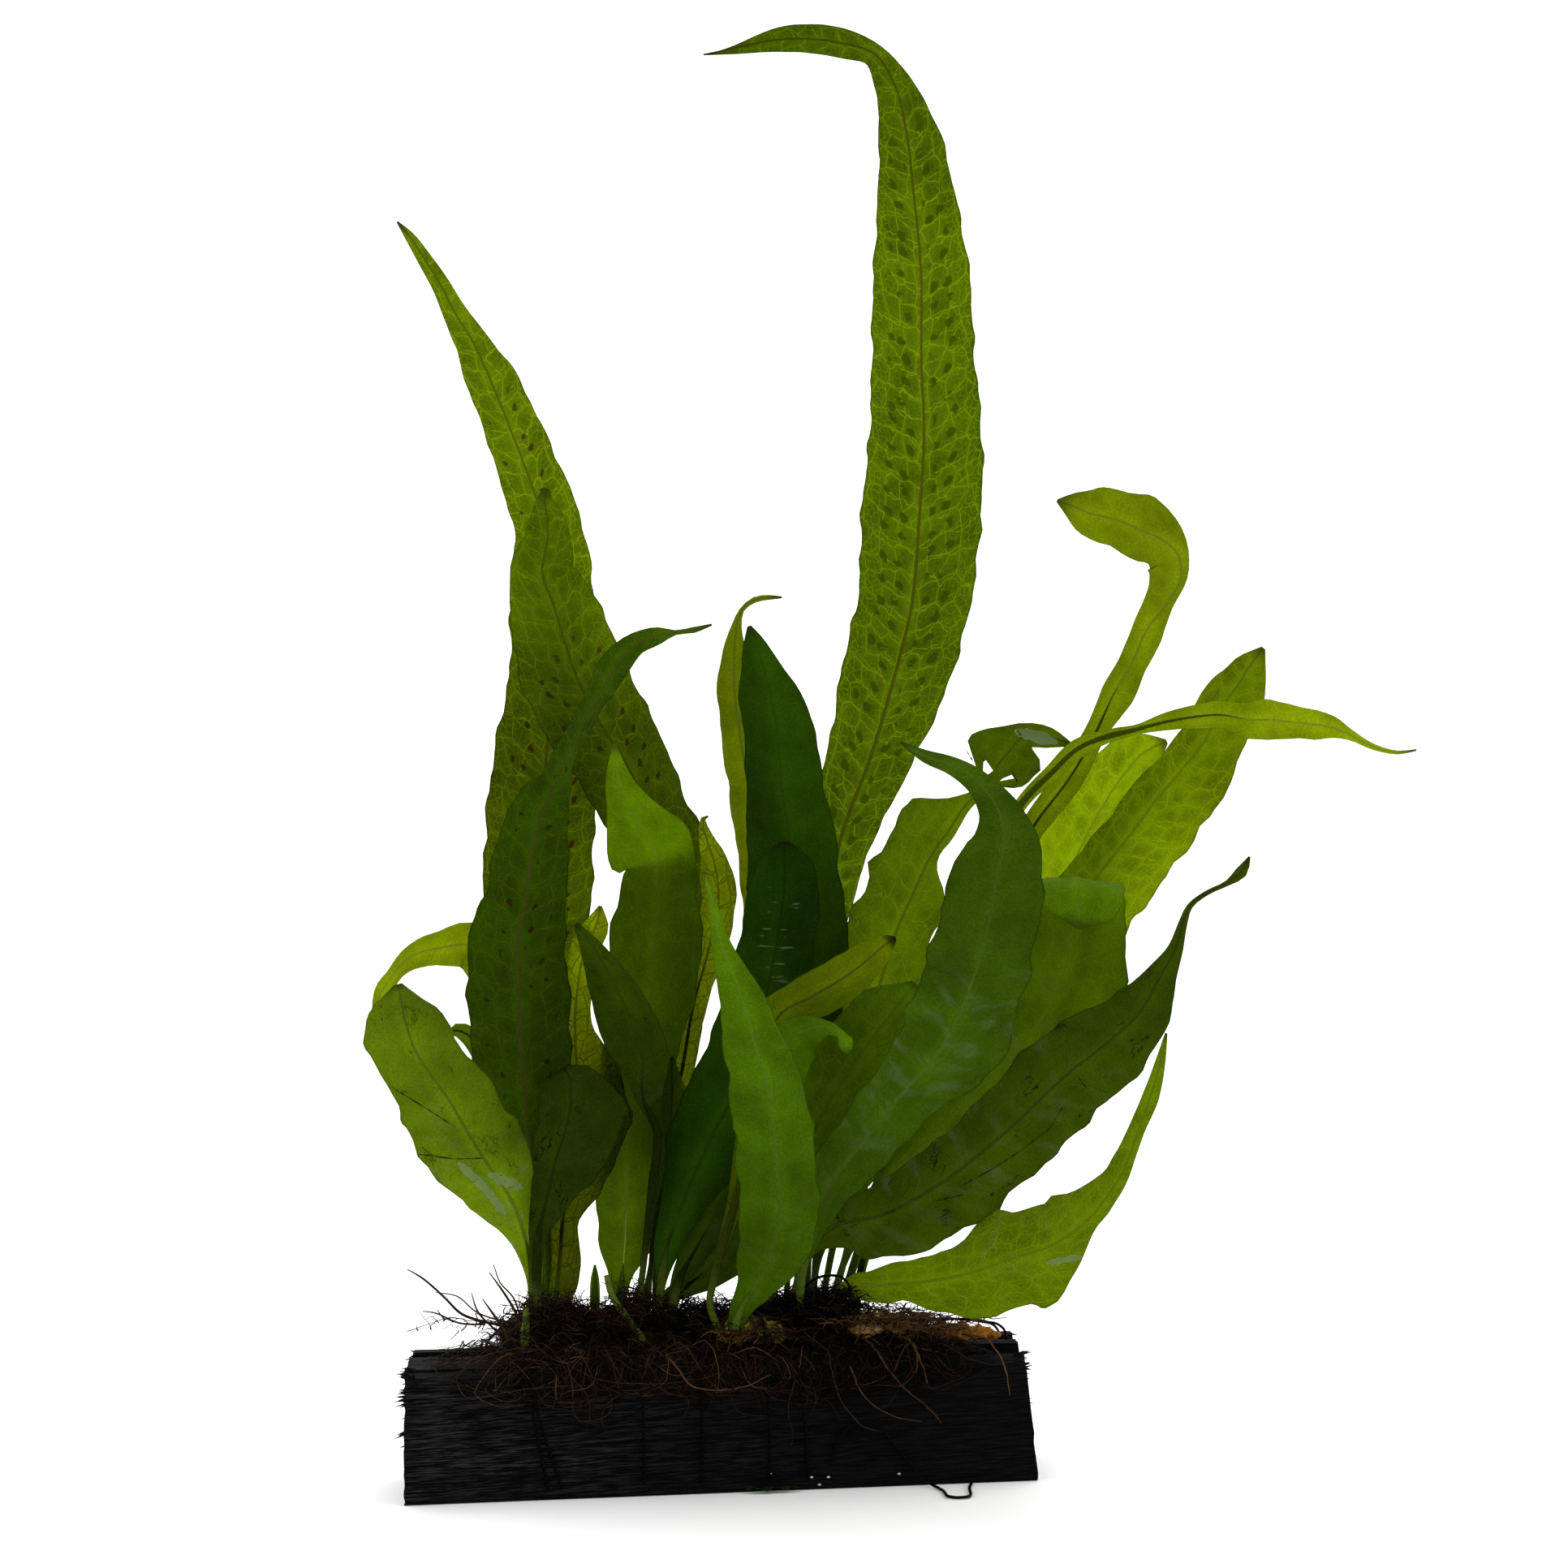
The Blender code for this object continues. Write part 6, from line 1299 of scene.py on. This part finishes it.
def opened(x, y, z):
    """A point of the section, moved where the crack opens into the slot towards the right end."""
    behind = CRACK_FRONT + CRACK_WIDTH
    share = min(1.0, max(0.0, (x - SLOT_FROM) / SLOT_OPENING))
    high = z > BLOCK_HEIGHT - CRACK_DROP - SLOT_MARGIN
    within = CRACK_FRONT + SLOT_MARGIN < y < GROOVE_FRONT - SLOT_MARGIN
    if share == 0 or not (high and within):
        return y, z
    below = (BLOCK_HEIGHT - z) / CRACK_DROP
    narrowed = 1 + share * ((GROOVE_FRONT - SLOT_BACK) / (GROOVE_FRONT - behind) - 1)
    if y > CRACK_FRONT + CRACK_WIDTH / 2:
        y = GROOVE_FRONT - (GROOVE_FRONT - y) * narrowed
    return y, z - below * share * (SLOT_DROP - CRACK_DROP)


def make_block(material):
    """The sawn block, its faces furrowed along the grain, its slot open, its upper corners frayed."""
    rng = random.Random(BLOCK_SEED)
    outline = refine(block_profile(), PROFILE_STEP)
    centre = np.array([0, BLOCK_HEIGHT / 2])
    end = BLOCK_LENGTH / 2
    fine = end - FINE_END
    stations = np.concatenate([np.linspace(-end, -fine, 9)[:-1], np.linspace(-fine, fine, 57),
                               np.linspace(fine, end, 9)[1:]])
    grid = np.empty((len(stations), len(outline), 3))
    for i, x in enumerate(stations):
        for j, (y, z) in enumerate(outline):
            y, z = opened(x, y, z)
            lean = -RIGHT_END_LEAN * z / BLOCK_HEIGHT * max(0.0, (x - end + LEAN_OVER) / LEAN_OVER)
            depth = 0.16 * (noise.noise(Vector((x * 0.05, y * 1.4, z * 1.4))) - 0.3)
            depth += 0.10 * noise.noise(Vector((x * 0.3, y * 0.35, z * 0.35)))
            near_end = max(0.0, 1 - (end - abs(x)) / 1.2)
            ragged = near_end * 0.5 * noise.noise(Vector((y * 0.9, z * 0.9, 3.7 if x > 0 else 9.1)))
            inward = centre - np.array([y, z])
            inward /= max(1e-6, np.linalg.norm(inward))
            if z < 1.0:
                depth = 0.0
            slant = (y + BLOCK_DEPTH / 2) * END_SLANT
            grid[i, j] = (x + slant + lean + ragged, y + inward[0] * depth, z + inward[1] * depth)
    b = Builder()
    b.grid(grid, np.zeros(2), np.zeros(2), closed=True, capped=True)
    for x_end, count in ((-end, 46), (end - RIGHT_END_LEAN, 40)):
        direction = 1 if x_end > 0 else -1
        for _ in range(count):
            y = rng.uniform(-19, -13) if rng.random() < 0.6 else rng.uniform(13, 18.5)
            z = rng.uniform(19.5, 25) if rng.random() < 0.75 else rng.uniform(8, 20)
            reach = rng.uniform(0.5, 2.0)
            start = np.array([x_end + (y + BLOCK_DEPTH / 2) * END_SLANT - direction * 2.0, y, z])
            tip = start + (direction * (2.0 + reach), rng.uniform(-0.8, 0.8), rng.uniform(-1.2, 1.0))
            middle = (start + tip) / 2 + (0, rng.uniform(-0.2, 0.2), rng.uniform(-0.3, 0.3))
            size = rng.uniform(0.15, 0.45)
            rows = np.array([[*start, size], [*middle, size * 0.8], [*tip, 0.05]])
            b.tube(rows, sides=4)
    piece = b.piece("block_sawn", material, smooth=False)
    finish_piece(piece, "wood_black", "wood_block")


def section_at(rings, x):
    """The ring of a loft along X at one x in mm, or None beyond its ends."""
    stops = rings[:, 0, 0]
    if not stops[0] <= x <= stops[-1]:
        return None
    i = min(int(np.searchsorted(stops, x, side="right")) - 1, len(stops) - 2)
    t = (x - stops[i]) / (stops[i + 1] - stops[i])
    return rings[i] * (1 - t) + rings[i + 1] * t


def rhizome_rings(stations, lump=0.16, pitch=0.5):
    """Rounded, lumpy stem sections across X, in mm."""
    rows = smooth_rows(stations, 0.6)
    angles = 2 * math.pi * np.arange(24) / 24
    rings = np.empty((len(rows), len(angles), 3))
    for i, (x, y, z, half_width, half_height) in enumerate(rows):
        for j, angle in enumerate(angles):
            cos, sin = math.cos(angle), math.sin(angle)
            place = Vector((x * pitch, half_width * pitch * cos, half_height * pitch * sin))
            swell = 1 - 0.4 * lump + lump * noise.noise(place) + 0.5 * lump * noise.noise(place * 2.7)
            rings[i, j] = (x, y + half_width * swell * cos, z + half_height * swell * sin)
    return rings


def make_rhizomes(green, ochre):
    b = Builder()
    b.grid(rhizome_rings(RHIZOMES["rhizome_main"]), np.zeros(2), np.zeros(2), closed=True, capped=True)
    finish_piece(b.piece("rhizome_main_stem", green), "rhizome_green", "rhizome_main")
    b = Builder()
    names = ("rhizome_front", "rhizome_right", "rhizome_tip")
    for name in names:
        b.grid(rhizome_rings(RHIZOMES[name], 0.55, 0.7), np.zeros(2), np.zeros(2), closed=True, capped=True)
    finish_piece(b.piece("rhizome_knobs", ochre), "rhizome_ochre", *names)


def on_wood(x, travel, height, side):
    """A point above the block, in mm: travel runs from the rhizome over the edge and down."""
    flat = EDGE_AT - ROUNDING
    arc = ROUNDING * math.pi / 2
    if travel < flat:
        y, z = MAT_INNER + travel, BLOCK_HEIGHT + height
    elif travel < flat + arc:
        angle = (travel - flat) / ROUNDING
        y = MAT_INNER + flat + (ROUNDING + height) * math.sin(angle)
        z = BLOCK_HEIGHT - ROUNDING + (ROUNDING + height) * math.cos(angle)
    else:
        y, z = BLOCK_DEPTH / 2 + height, BLOCK_HEIGHT - ROUNDING - (travel - flat - arc)
    return x, side * y, z


def lowest_travel(fringe):
    return EDGE_AT - ROUNDING + ROUNDING * math.pi / 2 + BLOCK_HEIGHT - ROUNDING - fringe


def cover_at(mat, x):
    columns = np.array(mat, float)
    return [float(np.interp(x, columns[:, 0], columns[:, k])) for k in (1, 2, 3)]


def mat_core(b, mat, side):
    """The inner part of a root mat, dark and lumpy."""
    span = mat[-1][0] - mat[0][0]
    first, last = mat[0][0] + DENSE_FROM * span, mat[0][0] + DENSE_TO * span
    xs = np.arange(first, last, 1.2)
    shares = np.linspace(0, 1, 26)
    grid = np.empty((len(xs), len(shares), 3))
    for i, x in enumerate(xs):
        top, face, fringe = cover_at(mat, x)
        end = lowest_travel(fringe)
        ending = min(1.0, (x - first) / 6, (last - x) / 6)
        for j, share in enumerate(shares):
            travel = share * end * (0.72 + 0.14 * noise.noise(Vector((x * 0.25, 0, side * 5))))
            cover = top + (face - top) * share
            lump = 0.55 + 0.5 * noise.noise(Vector((x * 0.45, travel * 0.45, side * 3)))
            thin = min(1.0, (1 - share) * 4) * max(0.05, ending)
            grid[i, j] = on_wood(x, travel, 0.1 + cover * lump * thin, side)
    b.grid(grid, np.zeros(2), np.array((0.04, 0.5)))


def loose_strands(b, mat, side, count, rng):
    """Single roots that wander over the mat and hang over the block's edge."""
    for _ in range(count):
        share = rng.uniform(DENSE_FROM, DENSE_TO) if rng.random() < 0.85 else rng.uniform(0.03, 0.97)
        x = mat[0][0] + share * (mat[-1][0] - mat[0][0])
        travel = rng.uniform(0, 13)
        reach = rng.uniform(-6, -3.5) if rng.random() < 0.9 else rng.uniform(-3, 1)
        heading = rng.choice((0, math.pi)) + rng.gauss(0, 0.6)
        turn = 0.0
        steps = rng.randint(7, 17)
        radius = rng.uniform(0.07, 0.17)
        tone = min(0.9, max(0.0, rng.gauss(0.34 if x < 5 else 0.16, 0.24)))
        level = rng.uniform(0.3, 1.25) if rng.random() < 0.85 else rng.uniform(1.2, 2.2)
        rows = []
        for k in range(steps):
            top, face, fringe = cover_at(mat, x)
            end = lowest_travel(fringe)
            cover = top + (face - top) * min(1.0, travel / end)
            height = 0.15 + cover * level * (0.8 + 0.4 * math.sin(k * 0.9 + tone * 20))
            rows.append((*on_wood(x, travel, height, side), radius * (1 - 0.6 * k / steps)))
            turn += rng.gauss(0, 0.22)
            turn *= 0.8
            heading += turn
            x = min(mat[-1][0], max(mat[0][0], x + 1.5 * math.cos(heading)))
            travel = min(end + reach, max(0.0, travel + 1.5 * math.sin(heading) + 0.12))
        b.tube(np.array(rows), tone, sides=3)


def crown_strands(b, rng):
    """Tufts of short roots and hairs that stand up between the stalks on the rhizome."""
    for x0, y0, z0, spread, depth, height, count, tone in TUFTS:
        for _ in range(count):
            x = x0 + rng.gauss(0, spread)
            y = y0 + rng.gauss(0, depth)
            z = z0 + rng.uniform(0, 0.6) * height
            lift = rng.uniform(0.2, 1.0)
            direction = np.array([rng.gauss(0, 0.6), rng.gauss(-0.1, 0.5), lift])
            steps = rng.randint(4, 8)
            radius = rng.uniform(0.08, 0.20)
            rows = []
            for k in range(steps):
                rows.append((x, y, z, radius * (1 - 0.6 * k / steps)))
                direction += np.array([rng.gauss(0, 0.4), rng.gauss(0, 0.35), rng.gauss(-0.16, 0.3)])
                step = direction / np.linalg.norm(direction) * 0.95
                x, y, z = x + step[0], y + step[1], min(z0 + height, max(27.0, z + step[2]))
            b.tube(np.array(rows), min(0.9, max(0.0, rng.gauss(tone, 0.16))), sides=3)


def make_roots(material):
    rng = random.Random(ROOT_SEED)
    b = Builder()
    mat_core(b, FRONT_MAT, -1)
    loose_strands(b, FRONT_MAT, -1, FRONT_STRANDS, rng)
    for route, radius, tone in MARKED_ROOTS:
        rows = [(*on_wood(x, travel, height, -1), radius) for x, travel, height in route]
        rows = smooth_rows(rows, 1.2)
        rows[:, 3] *= np.linspace(0.75, 0.3, len(rows))
        wander = np.cumsum(np.array([[rng.gauss(0, 0.12) for _ in range(3)] for _ in rows]), axis=0)
        rows[:, :3] += wander - np.linspace(0, 1, len(rows))[:, None] * wander[-1]
        b.tube(rows, tone, sides=6)
    finish_piece(b.piece("roots_front", material), "root_brown", "root_mat_front")

    b = Builder()
    mat_core(b, BACK_MAT, 1)
    loose_strands(b, BACK_MAT, 1, BACK_STRANDS, rng)
    finish_piece(b.piece("roots_back", material), "root_brown", "root_mat_back")

    b = Builder()
    crown_strands(b, rng)
    finish_piece(b.piece("roots_crown", material), "root_brown")

    b = Builder()
    for route in LOOSE_ROOTS:
        b.tube(smooth_rows(route, 1.0), 0.62, sides=6)
    piece = b.piece("roots_loose", material, of_plant=True)
    finish_piece(piece, "root_brown", "root_loose_high", "root_loose_middle", "root_loose_low")


def make_stalks(material):
    b = Builder()
    for route in CUT_STALKS:
        grid, angles, length = round_bar(smooth_rows(route, 0.8), 10)
        leaf = surface_map(0.6 * np.cos(angles), length)
        b.grid(grid, leaf, np.array((0.1, 0.1)), closed=True, capped=True)
    piece = b.piece("cut_stalks", material, of_plant=True)
    finish_piece(piece, "stalk_green", "stub_left", "cut_stalk_center")


def upper_hull(points):
    """The upper convex hull of points in a plane, from the least first value to the greatest."""
    chain = []
    for p in sorted(set(points)):
        while len(chain) > 1:
            a, c = chain[-2], chain[-1]
            if (c[0] - a[0]) * (p[1] - a[1]) - (c[1] - a[1]) * (p[0] - a[0]) < 0:
                break
            chain.pop()
        chain.append(p)
    return chain


def way_over(points):
    """The convex hull of points in a plane, from its first lowest corner over the top to its last."""
    over = upper_hull(points)
    under = [(-a, -b) for a, b in upper_hull([(-a, -b) for a, b in points])][::-1]
    lowest = min(b for _, b in under)
    feet = [k for k, (_, b) in enumerate(under) if b < lowest + 1e-6]
    return under[feet[0]::-1] + over[1:-1] + under[:feet[-1] - 1:-1]


def tie_rows(x_on_face, stems, rng):
    """A taut thread from the block's front foot over the plant to its back foot."""
    reach = 0.45
    half = BLOCK_DEPTH / 2
    x_top = x_on_face[-1]
    near = [(-half, TIE_FOOT), (half, TIE_FOOT), (-half, BLOCK_HEIGHT - 3.5), (half, BLOCK_HEIGHT - 0.8)]
    for rings in stems:
        section = section_at(rings, x_top)
        if section is not None:
            near += [(y, z) for _, y, z in section]
    for mat, side in ((FRONT_MAT, -1), (BACK_MAT, 1)):
        if mat[0][0] < x_top < mat[-1][0]:
            top, face, fringe = cover_at(mat, x_top)
            for share in np.linspace(0, 1, 12):
                cover = top + (face - top) * share
                near.append(on_wood(x_top, share * lowest_travel(fringe), cover * 0.8, side)[1:])
    angles = np.arange(12) * math.pi / 6
    spread = [(y + reach * math.cos(a), z + reach * math.sin(a)) for y, z in near for a in angles]
    spread += [(-half - reach - 0.001, TIE_FOOT), (half + reach + 0.001, TIE_FOOT)]
    chain = way_over([p for p in spread if p[1] >= TIE_FOOT])
    rows = []
    for y, z in chain:
        x = float(np.interp(z, TIE_HEIGHTS, x_on_face)) if y < 0 else x_top
        rows.append((x + rng.gauss(0, 0.03), y, z, THREAD_RADIUS))
    return np.array(rows)


def even_rows(rows, step):
    """The same line with points about step apart."""
    length = lengths_along(rows[:, :3])
    stops = np.linspace(0, length[-1], max(2, round(length[-1] / step)))
    return np.stack([np.interp(stops, length, rows[:, k]) for k in range(rows.shape[1])], axis=1)


def make_threads(material):
    rng = random.Random(THREAD_SEED)
    stems = [rhizome_rings(stations) for stations in RHIZOMES.values()]
    b = Builder()
    for x_on_face in TIES:
        b.tube(even_rows(tie_rows(x_on_face, stems, rng), 1.0), sides=8)
    for route in (TIE_LOOP, TIE_END, TIE_END_SECOND):
        rows = smooth_rows([(*point, THREAD_RADIUS * 0.9) for point in route], 0.7)
        b.tube(rows, sides=8)
    nodes = ("tie_left", "tie_left_second", "tie_center_left", "tie_center", "tie_center_right", "tie_right",
             "tie_loop", "tie_end")
    finish_piece(b.piece("tie_threads", material), "thread_black", *nodes)


def make_tail(material):
    """The loose end of thread, laid along the same route as its solid."""
    curve = bpy.data.curves.new("tie_tail_thread", "CURVE")
    curve.dimensions = "3D"
    curve.bevel_depth = TAIL_DIAMETER / 2
    curve.bevel_resolution = 3
    curve.use_fill_caps = True
    rows = smooth_rows(TIE_TAIL, 0.0008)
    spline = curve.splines.new("POLY")
    spline.points.add(len(rows) - 1)
    for point, row in zip(spline.points, rows):
        point.co = (*row, 1.0)
    curve.materials.append(material)
    piece = add_object("tie_tail_thread", curve)
    finish_piece(piece, "thread_black", "tie_tail")


def make_scrap(material):
    """A sliver of leaf against the foot of the block."""
    route = ((3.2, -20.8, 0.8, 0.3), (5, -20.9, 1, 0.9), (7, -21, 0.7, 1.4), (9, -20.8, 1.1, 1.3),
             (11, -20.9, 0.8, 1.2), (13, -20.7, 1, 0.8), (14.3, -20.6, 0.8, 0.2))
    rows = smooth_rows(route, 0.5)
    grid = np.empty((len(rows), 5, 3))
    for j, c in enumerate(np.linspace(-1, 1, 5)):
        lift = 0.25 * np.sin(rows[:, 0] * 1.7 + c)
        grid[:, j] = np.stack([rows[:, 0], rows[:, 1] + c * rows[:, 3], rows[:, 2] + lift * abs(c)], axis=1)
    b = Builder()
    leaf = surface_map(np.linspace(-2, 2, 5), rows[:, 0])
    b.grid(grid, leaf, np.array((0.5, 0.5)), np.full(len(rows), 0.3))
    finish_piece(b.piece("leaf_scrap_sliver", material), "leaf_dark", "leaf_scrap")


def make_fronds(materials):
    for name, stations in FRONDS.items():
        look, ruffle, outline, *tones = FROND_LOOKS[name]
        tones = tones if len(tones) > 1 else [(0, tones[0]), (1, tones[0])]
        piece = make_frond(name, stations, materials[look], ruffle, outline, tones)
        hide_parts(name)


make_camera()
threads = thread_material()
make_tail(threads)
make_light()
make_floor(floor_material())
leaves = {name: leaf_material(name, *look) for name, look in LEAVES.items()}
make_block(wood_material())
make_rhizomes(rhizome_material("rhizome_green", *RHIZOME_GREEN),
              rhizome_material("rhizome_ochre", *RHIZOME_OCHRE))
make_roots(root_material())
make_stalks(leaf_material("stalk_green", *CUT_STALK_LOOK))
make_threads(threads)
make_scrap(leaves["leaf_shade"])
make_fronds(leaves)
